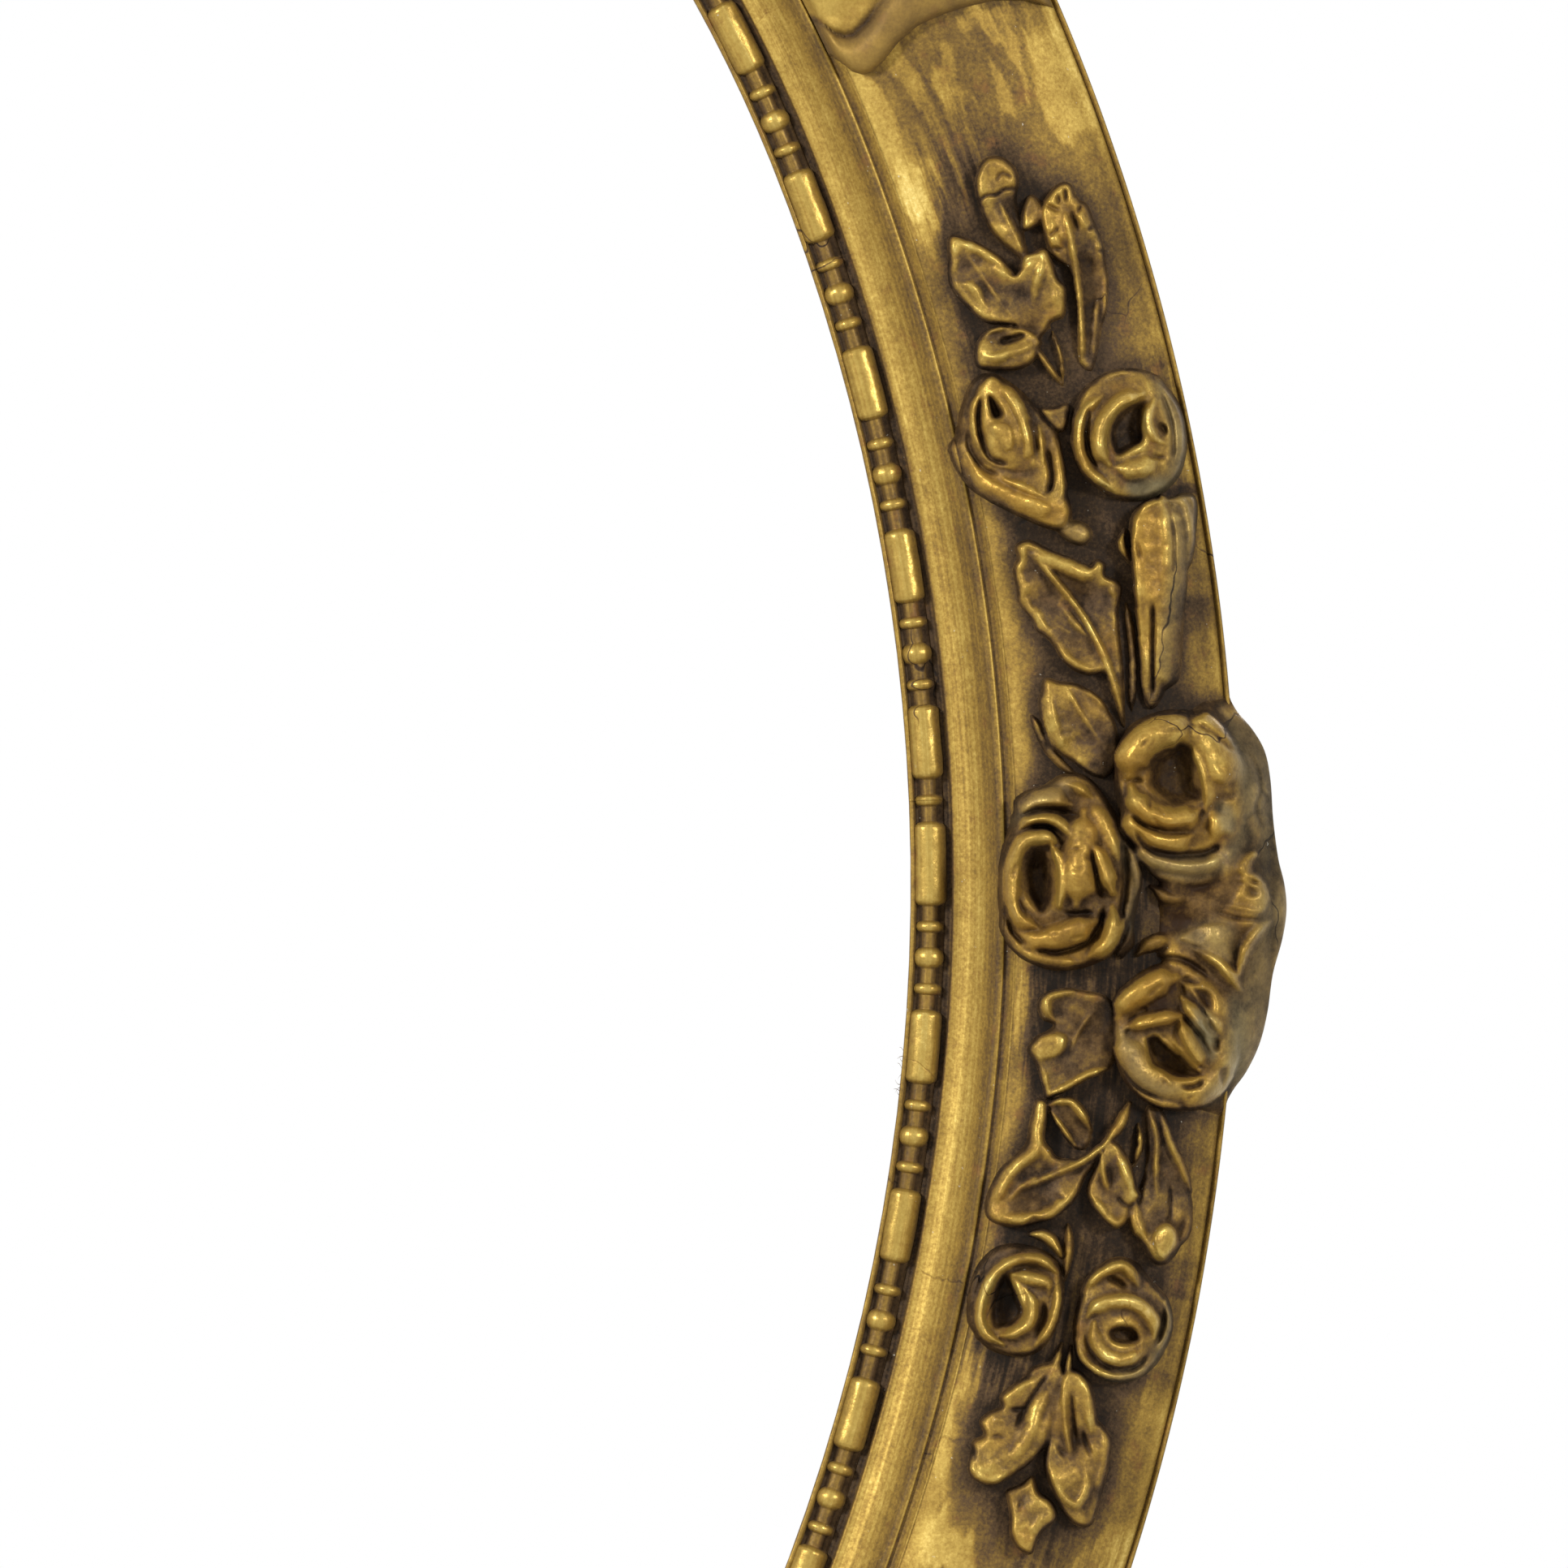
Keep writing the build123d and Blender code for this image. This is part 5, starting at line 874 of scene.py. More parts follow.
def tail_sprig(r):
    # body shared by the two upper leaves
    r.blade([(28.8, -83.6), (30.6, -81.2), (33.6, -80.2), (35.2, -83.5), (36.2, -89.2), (35.2, -93.4),
             (33.6, -94.6), (30, -91)],
            [(32, -82, 2.6), (34, -90, 3.0), (31, -90, 2.4)], edge=0.5, dome=0.3)
    # left leaf
    r.blade([(31.4, -82), (28, -84.6), (25.4, -87.8), (26, -89.6), (24.4, -91), (23.1, -93), (24.4, -95),
             (22.9, -96.6), (23.6, -99), (23.8, -101.6), (26, -102.9), (29, -102), (31.1, -99.8),
             (33, -97.2), (34.4, -94), (34.8, -90), (34.4, -86), (34, -82)],
            [(27.4, -86, 3.4), (26, -94, 3.6), (26.6, -99, 4.2), (29.4, -90, 2.2), (32, -92, 4.0),
             (33, -84, 2.4)], edge=0.5, rim=0.35, dome=0.4)
    r.fold([(31, -83.4, 3.4), (28.4, -85.6, 4.0), (26.2, -88, 4.2)], 0.8, 0.9, 1.3)
    r.fold([(32.8, -84.6, 3.8), (31.8, -89, 4.6), (31.6, -93.4, 4.8), (29, -98.6, 4.8)], 1.6, 1.8, 1.6)
    r.fold([(24.0, -92.6, 3.6), (26.2, -91.8, 4.2), (28.0, -92.6, 4.0)], 0.7, 0.9, 1.2)
    r.fold([(23.4, -98.8, 4.4), (24.6, -101.4, 4.8), (27.4, -101.9, 4.8), (30.2, -99.8, 4.6)], 0.8, 1.0, 1.4)
    r.groove([(32.3, -81.8), (30.8, -85.5), (29.5, -90.0), (29.0, -93.4)], 0.4, 1.2)
    r.groove([(26.6, -89.8), (28.6, -89.4), (30.2, -88.4)], 0.5, 1.0)
    r.groove([(24.8, -95.6), (26.6, -94.6), (28.4, -95.0)], 0.4, 0.8)
    # right leaf
    r.blade([(34.8, -81.4), (37.4, -81), (39.9, -83.4), (41.4, -87.5), (43.2, -88.8), (44.4, -90.2),
             (45.2, -93), (45.7, -98), (45.8, -104), (43.6, -105.2), (41, -104.1), (38.7, -101.8),
             (36.9, -99.6), (35.4, -97.2), (34.8, -94), (34.6, -90), (34.6, -85)],
            [(39, -85, 4.0), (36, -90, 3.0), (38.8, -92, 1.4), (43, -93, 3.8), (41, -98, 4.0),
             (38, -99, 4.6), (44.4, -102, 2.6), (37, -94, 3.0)], edge=0.5, rim=0.3, dome=0.3)
    r.fold([(34.6, -82.0, 3.8), (35.8, -86.1, 4.4), (37.1, -90.3, 4.4), (39.6, -95.4, 4.0)], 0.45, 0.6, 1.1)
    r.fold([(38.4, -82.6, 4.2), (40, -86.4, 4.6), (41.4, -90, 4.4)], 1.1, 1.1, 1.4)
    r.fold([(41.6, -95.4, 4.6), (43, -98.6, 4.8), (42.2, -102, 4.8), (39.6, -101.2, 5.0), (37, -98.2, 4.6)],
           0.8, 0.9, 1.3)
    r.fold([(42.6, -88.8, 4.2), (44.2, -91.0, 4.6), (44.8, -95, 4.4), (44.6, -100, 4.0)], 0.8, 1.2, 1.4)
    r.groove([(36.4, -84), (37.7, -88), (39.2, -92.4)], 0.5, 1.4)
    r.groove([(36.0, -93.2), (37.4, -94.2), (38.4, -95.6)], 0.7, 1.0)
    r.groove([(39.6, -89.4), (41.0, -92), (43.0, -94.4)], 0.6, 1.1)
    # lower leaf
    r.blade([(34, -99.6), (35.6, -101.8), (38.2, -102.8), (39.7, -105), (38.2, -107.6), (37.7, -109.6),
             (37.4, -111.8), (35, -111.5), (33.2, -109.6), (32.4, -107), (31.2, -104.6), (30.6, -103),
             (32.6, -101.4)],
            [(33, -104, 2.8), (36.6, -104, 4.0), (35.6, -109.6, 4.0)], edge=0.5, rim=0.3, dome=0.3)
    r.fold([(34.6, -101.4, 3.4), (34.2, -105, 3.6), (34, -107.6, 3.4)], 0.4, 0.4, 0.8)
    r.fold([(37, -103.6, 4.6), (37, -106.4, 4.6), (35.8, -109.6, 4.4)], 1.3, 1.2, 1.3)
    r.groove([(33.2, -103), (33.4, -106.4)], 0.5, 0.9)
    # stems up to the roses
    r.fold([(33.2, -77, 2.2), (33, -81, 3.0), (32.4, -85, 3.0)], 0.7, 0.7, 1.0)
    r.fold([(34.8, -77, 2.2), (35.2, -81, 3.2), (35.6, -85, 3.4)], 0.6, 0.6, 1.0)


def panel_patina_and_shade(r):
    """Places where the panel is darker or brighter than its usual run: patina and streaks, painted shade in
    the recesses between the castings, and a painted shadow beside the calyx.
    """
    for row in (
        # painted shade in the recesses between the castings, and patina on the ground round them
        ([(30.5, 22), (34.5, 22), (36.5, 12), (38.5, 3), (37, -6), (34, -2), (33, 8)], -0.16),
        ([(36, -4), (42, -5), (47, -6), (46, -12), (38, -14), (34, -13)], -0.10),
        ([(29.5, -63), (34, -57), (36.5, -58), (35.5, -68), (34.5, -80), (31.5, -80), (31.5, -70)], -0.14),
        ([(28.5, 84), (34, 83), (35.2, 77), (35, 66), (38.5, 62), (39.5, 56), (35, 57), (32, 68)], -0.14),
        ([(38, 104), (41, 103), (40.5, 94), (37.5, 84), (35.5, 84), (38, 94)], -0.12),
        ([(29, 88), (34, 89), (34, 84), (29, 84.5), (26.5, 86.5)], -0.12),
        ([(46.5, 116), (49, 112), (48.6, 98), (46, 92), (44, 90), (47.4, 100)], -0.10),
        ([(24, -80), (29, -83), (26, -87), (23.4, -93), (21, -92), (20.5, -83)], -0.04),
        ([(38.6, 52), (40.6, 50), (40, 34), (38, 27), (37, 36)], -0.10),
        ([(22, -14.5), (33, -14.5), (36, -18), (34, -21), (26, -17.5), (22, -18)], -0.08),
        # painted shadow to the right of the calyx, and the brighter panel beyond it
        ([(46, 47), (49, 54), (51, 50), (47, 36), (44, 30), (43.6, 34)], -0.14, 1.0),
        ([(46.5, 44), (52, 50), (52, 30), (47, 30), (45.4, 34)], 0.10),
        ([(47, 124), (52, 124), (52, 86), (48.6, 88), (49.4, 108)], 0.05),
        ([(46.6, -86), (52, -82), (52, -118), (46, -118), (47, -104)], 0.06),
        ([(24.5, -105.5), (29, -105.5), (33, -111), (37, -113.6), (45, -107.6), (47, -103.4), (47, -106),
          (43.5, -112), (36, -118), (31, -117), (27, -111)], -0.13),
        ([(18.6, -80), (23.5, -79), (25.5, -82), (22.5, -91), (21.4, -100), (21.6, -105), (19.4, -96)],
         -0.10, 1.0),
        ([(20, -109.6), (23, -108.4), (26.4, -110.6), (30.6, -116.4), (22.9, -120), (20, -118)], 0.12, 0.8),
        ([(15.8, -93), (17.8, -88), (20.2, -99), (21, -106), (18.4, -103)], 0.10, 0.8),
        ([(44.6, -111), (48, -105.6), (51.6, -101.4), (52, -109), (48, -113)], 0.12, 0.8),
        ([(17.4, 74), (20, 60), (20.5, 40), (21, 24), (17.4, 20)], 0.04),
        ([(17.4, -14), (20.4, -16), (20.8, -28), (20, -44), (17.4, -42)], 0.05),
        ([(17.6, -80), (20.5, -84), (22, -96), (22, -104), (18, -108)], 0.07),
        ([(19, -110.6), (24, -110.4), (29, -115), (31, -121), (19, -121)], 0.14, 0.6),
        ([(23, -103.6), (31, -105), (35, -113), (42, -113), (47, -105), (46, -114), (40, -120), (33, -120),
          (28, -112)], -0.06, 1.0),
    ):
        r.paint(r.shade, *row)
    dark = (
        [(28.9, 148), (36.5, 148), (33.4, 143.5), (30.2, 140), (27.8, 141.4), (27.2, 146)],
        [(21.8, 144), (23.0, 141.4), (22.2, 139.6), (21.0, 141)],
        [(22.8, 140), (25.0, 139.4), (24.4, 135.3), (24.9, 128), (22.9, 127.4), (22.2, 131.5), (22.0, 135.3)],
        [(28.2, 140), (29.6, 139.4), (28.8, 134.9), (26.8, 134.2)],
        [(35.5, 142.2), (38.2, 142.7), (42.8, 141.4), (42.6, 138.6), (39.6, 136.2), (38.0, 130), (36.6, 122),
         (33.4, 124), (33.5, 131.2), (34.0, 137)],
        [(26.4, 134.6), (31.0, 133.2), (34.1, 130.6), (37.7, 124.6), (39.0, 128.6), (44.6, 128.4),
         (44.9, 122.8), (47.2, 119.3), (48.8, 113.0), (38.4, 115.7), (30.4, 117.5), (24.8, 116.2),
         (25.2, 126.8)],
        [(40.4, 136.0), (41.4, 135.8), (42.8, 131.6), (41.6, 130.0)],
        [(45.6, 143), (46.8, 142), (46.0, 133)],
    )
    gold = (
        [(23.4, 145.3), (26.8, 146), (28.1, 140.0), (26.6, 134), (25.4, 136.1), (23.9, 141.3)],
        [(29.5, 138.8), (31.8, 142.6), (34.6, 145), (34.4, 138.0), (33.2, 131.8), (31.5, 130.4),
         (29.3, 134.9)],
        [(37.4, 146.4), (44.3, 146.3), (46.0, 140), (45.0, 135.5), (43.1, 130.6), (43.2, 138.4), (41, 142.4),
         (38.4, 143.6)],
        [(38.6, 135.8), (40.4, 136.8), (41.2, 131.2), (39.8, 126.0), (38.4, 124.0), (37.8, 129.8)],
        [(46.8, 140), (49.6, 135), (50.0, 128), (49.4, 121), (47.7, 119.7), (45.3, 122.4), (45.2, 130.0)],
        [(17.4, 146), (20.6, 142.5), (21.7, 136), (21.6, 127.4), (24.4, 126.0), (24.2, 118.8),
         (21.8, 115.3), (18.4, 117), (16.6, 125.6)],
    )
    # beyond the garland's other end the same places are turned round and fainter
    for outlines, amount, turned_amount in ((dark, -0.19, -0.14), (gold, 0.15, 0.11)):
        for outline in outlines:
            r.paint(r.shade, outline, amount, 0.32)
            r.paint(r.shade, [(70 - t, -s - 6) for t, s in outline], turned_amount, 0.32)
    r.paint(r.shade, [(50.4, 145), (53, 144), (53, 108), (49.6, 112), (50, 128)], -0.12, 0.8)
    r.paint(r.shade, [(48.2, 143), (53.4, 139), (53.2, 131), (50, 133), (48.4, 138)], 0.10, 0.8)


def shade_leaves(r):
    """Darker bodies of the leaves, partly patina and partly painted shade, and painted highlights on their
    turned edges and tips.
    """
    for row in (
        ([(24.5, -21), (33.5, -20), (34, -29), (28, -32.5), (25.2, -31), (26.6, -26), (25, -24)], -0.1),
        ([(27, -38.6), (30, -39), (31.2, -43.4), (28.6, -41.6)], -0.07),
        ([(24.4, -49.5), (32, -46.8), (30.6, -51.6), (26, -55), (21.6, -55.8)], -0.065),
        ([(35.2, -46.4), (37.6, -46), (38.8, -50.6), (36.4, -52.6), (34.4, -50.4)], -0.07),
        ([(41.4, -38.4), (43.4, -38), (45.6, -45), (47, -50), (45.4, -54), (42, -53), (42, -46)], -0.07),
        ([(18, -50), (21, -47), (21.4, -50), (19.4, -56), (17.4, -57)], 0.035),
        ([(43.8, -56), (47.8, -55.4), (48.8, -58.4), (46.6, -60.6)], 0.04),
        ([(23.6, 51.4), (26.4, 50), (27.6, 46.4), (24.6, 45.4), (22.8, 48.6)], -0.07),
        ([(28.2, 51), (31.4, 51.4), (34.6, 49), (34.6, 44), (32.6, 43.4), (29.6, 47)], -0.075),
        ([(27.6, 43), (31, 42.4), (33.4, 37.4), (29.4, 37.8), (26.8, 40.4)], -0.05),
        ([(29.4, 31.6), (32.2, 29.6), (34.4, 24), (33.6, 20), (30.2, 20), (28.6, 26)], -0.07),
        ([(34.4, 115), (36.6, 115.6), (37, 119), (35, 118.6)], -0.06),
        ([(41.6, 103), (46.4, 101), (45, 95), (42.6, 89), (40.2, 86), (41, 94)], -0.08),
        ([(39.6, 112), (45, 114), (46.4, 106), (43, 104.6), (39.6, 106)], 0.015),
        ([(22.6, 110), (25.6, 111.4), (28.6, 107.4), (26.4, 105.6)], 0.03),
        ([(33.4, 103.6), (37.8, 105.2), (37.8, 98.6), (34.8, 99.6)], 0.04),
        ([(26.6, 103.6), (29.6, 104), (32, 99.4), (31.4, 94.6), (28.6, 96)], -0.045),
        ([(22.4, 91), (28, 89), (31, 90), (28.4, 91.8), (24.6, 92)], 0.03),
        ([(25, -97), (30, -96), (30.4, -100.6), (25.4, -102)], 0.025),
        ([(29.6, -86), (31, -84.4), (30.2, -91), (28.6, -93.6), (27.6, -90)], -0.04),
        ([(38, -88.6), (41.4, -92), (41.6, -95.4), (38.4, -95), (36.6, -91)], -0.06),
    ):
        r.paint(r.shade, *row, 1.0)


castings = {"rose_cluster": rose_cluster, "small_roses": small_roses, "buds": buds,
            "upper_leaves": upper_leaves, "lower_leaves": lower_leaves, "top_sprig": top_sprig,
            "tail_sprig": tail_sprig}
# Outer line of the garland: the mass behind the large roses stands out past the frame's edge
overhang_line = [(54.0, 40), (54.0, 31), (54.9, 27.6), (57.6, 24), (59.4, 20.5), (60.1, 16), (60.3, 10),
                 (61.0, 4), (62.0, 0), (62.4, -4), (61.8, -8.5), (60.4, -14), (59.8, -20), (58.8, -25),
                 (57.0, -29.4), (54.9, -32.8), (54.0, -36), (54.0, -45)]
# The sheet stays just inside the solids, and its outer columns follow that line from this far in
line_clearance = 0.03
outer_reach = 9
# Wear and painted shade compare a place with what is round it: how far round, and the difference that counts
# as full
rub_and_shade_close = (0.4, 0.15)
rub_and_shade_middle = (0.9, 0.35)
rub_and_shade_broad = (2.6, 1.6)
hollow_measure = (3.0, 3.5)
darkest_tone = 0.15
# The mass: half of what keeps its two sides apart, how far in its edge rounds, and its blend at the ends
mass_slack = 0.05
mass_rounding = 5.0
mass_blend = 3.0


def sheet_of(step):
    """Places of a garland's sheet: even columns over the panel, then columns that follow its outer line."""
    s = np.arange(-garland_half_length, garland_half_length, step)
    even = np.arange(sheet_inner, sheet_even, step)
    line = smooth_line(overhang_line)
    outer = np.interp(s, line[::-1, 1], line[::-1, 0]) - line_clearance
    share = np.sin(np.linspace(0, np.pi / 2, int(outer_reach / step) + 1))
    t = np.concatenate([np.repeat(even[None], len(s), 0),
                        sheet_even + (outer[:, None] - sheet_even) * share[None]], 1)
    return np.repeat(s[:, None], t.shape[1], 1), t, outer[:, None]


def hollow(height, step):
    """How deep places lie under what is round them, 0 to 1."""
    reach, full = hollow_measure
    return np.clip((blur(height, reach / step) - height) / full, 0, 1)


def wear_and_shade_from(height, above, step, s, t):
    """How bright the gilding is: rubbed where it stands out, and dark in hollows and low down, partly as
    patina and partly as painted shade.
    """
    cover = ease(above / 1.3)
    close = (height - blur(height, rub_and_shade_close[0] / step)) / rub_and_shade_close[1]
    middle, broad = [(height - blur_within(height, cover, reach / step)) / full * cover
                     for reach, full in (rub_and_shade_middle, rub_and_shade_broad)]
    body = ease(above / 5.0)
    uneven = 0.75 + 0.55 * ripple(s, t, 3.2, 31)
    # raised places brighter, as rubbed gilding; hollows and low places darker, partly patina and partly
    # painted shade
    wear_and_shade = (0.38 + 0.06 * body + 0.02 * np.tanh(close) + 0.17 * np.tanh(middle) * uneven
            + 0.17 * np.tanh(broad) - 0.22 * hollow(height, step))
    return np.maximum(wear_and_shade, darkest_tone) + 0.09 * ripple(s, t, 2.4, 32) + 0.05 * ripple(s, t, 1.1, 33)


def garland_sheet(step):
    """All castings of one garland on a sheet: places, reliefs, values of wear and painted shade, and fields
    for the panel.
    """
    s, t, outer = sheet_of(step)
    reliefs = {}
    for name, carve in castings.items():
        relief = Relief(s, t)
        carve(relief)
        shade_leaves(relief)
        lumps = 0.15 * ripple(s, t, 1.6, 11) + 0.07 * ripple(s, t, 0.8, 12) + 0.22 * ripple(s, t, 4.0, 13)
        relief.height = blur(relief.height, 0.20 / step)
        relief.height = np.where(relief.height > carved_from, relief.height + lumps, relief.height)
        reliefs[name] = relief
    ground = Relief(s + 2.4 * ripple(t, 0.14 * s, 0.9, 61), t + 0.5 * ripple(s, t, 2.4, 62))
    panel_patina_and_shade(ground)
    surface = surface_height(t)
    above = np.maximum(0, np.max([relief.height for relief in reliefs.values()], axis=0))
    top = surface + above
    cover = (above > 0).astype(float)
    fields = [blur(cover, 1.6 / step), blur(cover, 5.0 / step), hollow(top, step), ground.shade]
    return s, t, outer, reliefs, wear_and_shade_from(top, above, step, s, t), fields


def shell(name, s, t, top, under, keep, values, centre):
    """A closed shell between two heights over the cells of a sheet that are kept."""
    rows, columns = s.shape
    cells = keep[:-1, :-1] | keep[1:, :-1] | keep[:-1, 1:] | keep[1:, 1:]
    index = np.arange(rows * columns).reshape(rows, columns)
    a, b, c, d = index[:-1, :-1], index[1:, :-1], index[1:, 1:], index[:-1, 1:]
    upper = np.stack([a, b, c, d], -1)[cells]
    below = rows * columns
    quads = [upper, upper[:, ::-1] + below]
    padded = np.pad(cells, 1)
    for one, other, beside in ((a, b, padded[1:-1, :-2]), (b, c, padded[2:, 1:-1]), (c, d, padded[1:-1, 2:]),
                               (d, a, padded[:-2, 1:-1])):
        edge = cells & ~beside
        quads.append(np.stack([other[edge], one[edge], one[edge] + below, other[edge] + below], -1))
    quads = np.concatenate(quads)
    used, quads = np.unique(quads, return_inverse=True)
    quads = quads.reshape(-1, 4)
    height = np.concatenate([top.ravel(), under.ravel()])[used]
    s2, t2 = [np.concatenate([v.ravel(), v.ravel()])[used] for v in (s, t)]
    data = {key: np.concatenate([v.ravel(), v.ravel()])[used] for key, v in values.items()}
    data["flow"] = flow_of(s2 + centre, t2, middle_oval)
    return build(name, middle_oval.place(s2 + centre, t2, height), quads, values=data)


def garland(side, sheet):
    """The seven castings of the garland at one side."""
    s, t, outer, reliefs, wear_and_shade = sheet[:5]
    centre = middle_oval.length_to(side_angles[side])
    ground = surface_height(t)
    made = []
    for name, relief in reliefs.items():
        top, under = ground + relief.height, ground + shell_floor
        keep = relief.height > shell_from
        if name == "rose_cluster":
            past = ease((s - mass_rows[0]) / mass_blend) * ease((mass_rows[1] - s) / mass_blend)
            bend = np.sqrt(1 - (1 - np.clip((outer - t) / mass_rounding, 0, 1)) ** 2) * past + 1 - past
            top = mass_middle_height + mass_slack + (top - mass_middle_height) * bend
            low = mass_middle_height - mass_slack - (mass_middle_height - mass_low) * bend
            under = np.where(t > panel_end - 0.5, np.minimum(under, low), under)
        amber = np.clip(relief.warm + 0.22 + 0.45 * ripple(s, t, 5.0, 34), 0, 1)
        values = {"wear_and_shade": wear_and_shade + relief.shade, "grey": relief.grey, "warm": amber}
        made.append((shell(f"{side}_{name}_leafed", s, t, top, under, keep, values, centre), name))
    return made


# Materials

def node(tree, kind, inputs=(), **settings):
    """A node with its settings, its inputs set or linked."""
    made = tree.nodes.new(kind)
    for key, value in settings.items():
        setattr(made, key, value)
    for key, value in dict(inputs).items():
        if isinstance(value, bpy.types.NodeSocket):
            tree.links.new(value, made.inputs[key])
        else:
            made.inputs[key].default_value = value
    return made


def calc(tree, operation, a, b=0.0, c=0.0, clamp=False):
    made = node(tree, "ShaderNodeMath", {0: a, 1: b, 2: c}, operation=operation, use_clamp=clamp)
    return made.outputs[0]


def total(tree, first, *terms):
    """first plus each (socket, weight), where a socket's middle value of 0.5 adds nothing."""
    for socket, weight in terms:
        first = calc(tree, "MULTIPLY_ADD", calc(tree, "SUBTRACT", socket, 0.5), weight, first)
    return first


def stops(tree, factor, colours):
    ramp = node(tree, "ShaderNodeValToRGB", {0: factor})
    elements = ramp.color_ramp.elements
    for element, (at, colour) in zip(elements, (colours[0], colours[-1])):
        element.position = at
        element.color = (*colour, 1)
    for at, colour in colours[1:-1]:
        elements.new(at).color = (*colour, 1)
    return ramp.outputs[0]


def scaled(tree, factor, low, high, out_low=0.0, out_high=1.0):
    made = node(tree, "ShaderNodeMapRange", {0: factor, 1: low, 2: high, 3: out_low, 4: out_high}, clamp=True)
    return made.outputs[0]


def noise(tree, vector, scale, detail=3.0, rough=0.55):
    inputs = {"Vector": vector, "Scale": scale, "Detail": detail, "Roughness": rough}
    return node(tree, "ShaderNodeTexNoise", inputs).outputs["Fac"]


def mixed(tree, factor, a, b):
    return node(tree, "ShaderNodeMix", {0: factor, 6: a, 7: b}, data_type="RGBA").outputs[2]


def attribute(tree, name, output="Fac"):
    return node(tree, "ShaderNodeAttribute", attribute_name=name).outputs[output]


def object_place(tree):
    return node(tree, "ShaderNodeTexCoord").outputs["Object"]


def stretched(tree, vector, factors):
    return node(tree, "ShaderNodeVectorMath", {0: vector, 1: factors}, operation="MULTIPLY").outputs[0]


def bumped(tree, strength, distance, height):
    inputs = {"Strength": strength, "Distance": distance, "Height": height}
    return node(tree, "ShaderNodeBump", inputs).outputs[0]


def connect(tree, shader, inputs):
    for key, value in inputs.items():
        tree.links.new(value, shader.inputs[key])


def new_material(name):
    made = bpy.data.materials.new(name)
    made.use_nodes = True
    tree = made.node_tree
    tree.nodes.clear()
    shader = node(tree, "ShaderNodeBsdfPrincipled")
    shader.inputs["Specular IOR Level"].default_value = 0.25
    node(tree, "ShaderNodeOutputMaterial", {"Surface": shader.outputs[0]})
    return made, tree, shader


# Patina to burnished gold
gilt_colours = [(0.0, (0.010, 0.006, 0.003)), (0.15, (0.030, 0.017, 0.008)), (0.30, (0.084, 0.049, 0.021)),
                (0.45, (0.185, 0.110, 0.028)), (0.60, (0.325, 0.202, 0.042)), (0.75, (0.475, 0.325, 0.078)),
                (0.90, (0.68, 0.51, 0.155)), (1.0, (0.82, 0.68, 0.33))]
# Dark and bright ends of the red bole and of the greyed leaf, and the colours of single specks
warm_colours = ((0.05, 0.022, 0.007, 1), (0.50, 0.27, 0.040, 1))
grey_colours = ((0.055, 0.042, 0.024, 1), (0.37, 0.295, 0.140, 1))
rust_colour = (0.20, 0.082, 0.030, 1)
violet_colour = (0.095, 0.057, 0.033, 1)
fleck_colour = (0.56, 0.52, 0.42, 1)


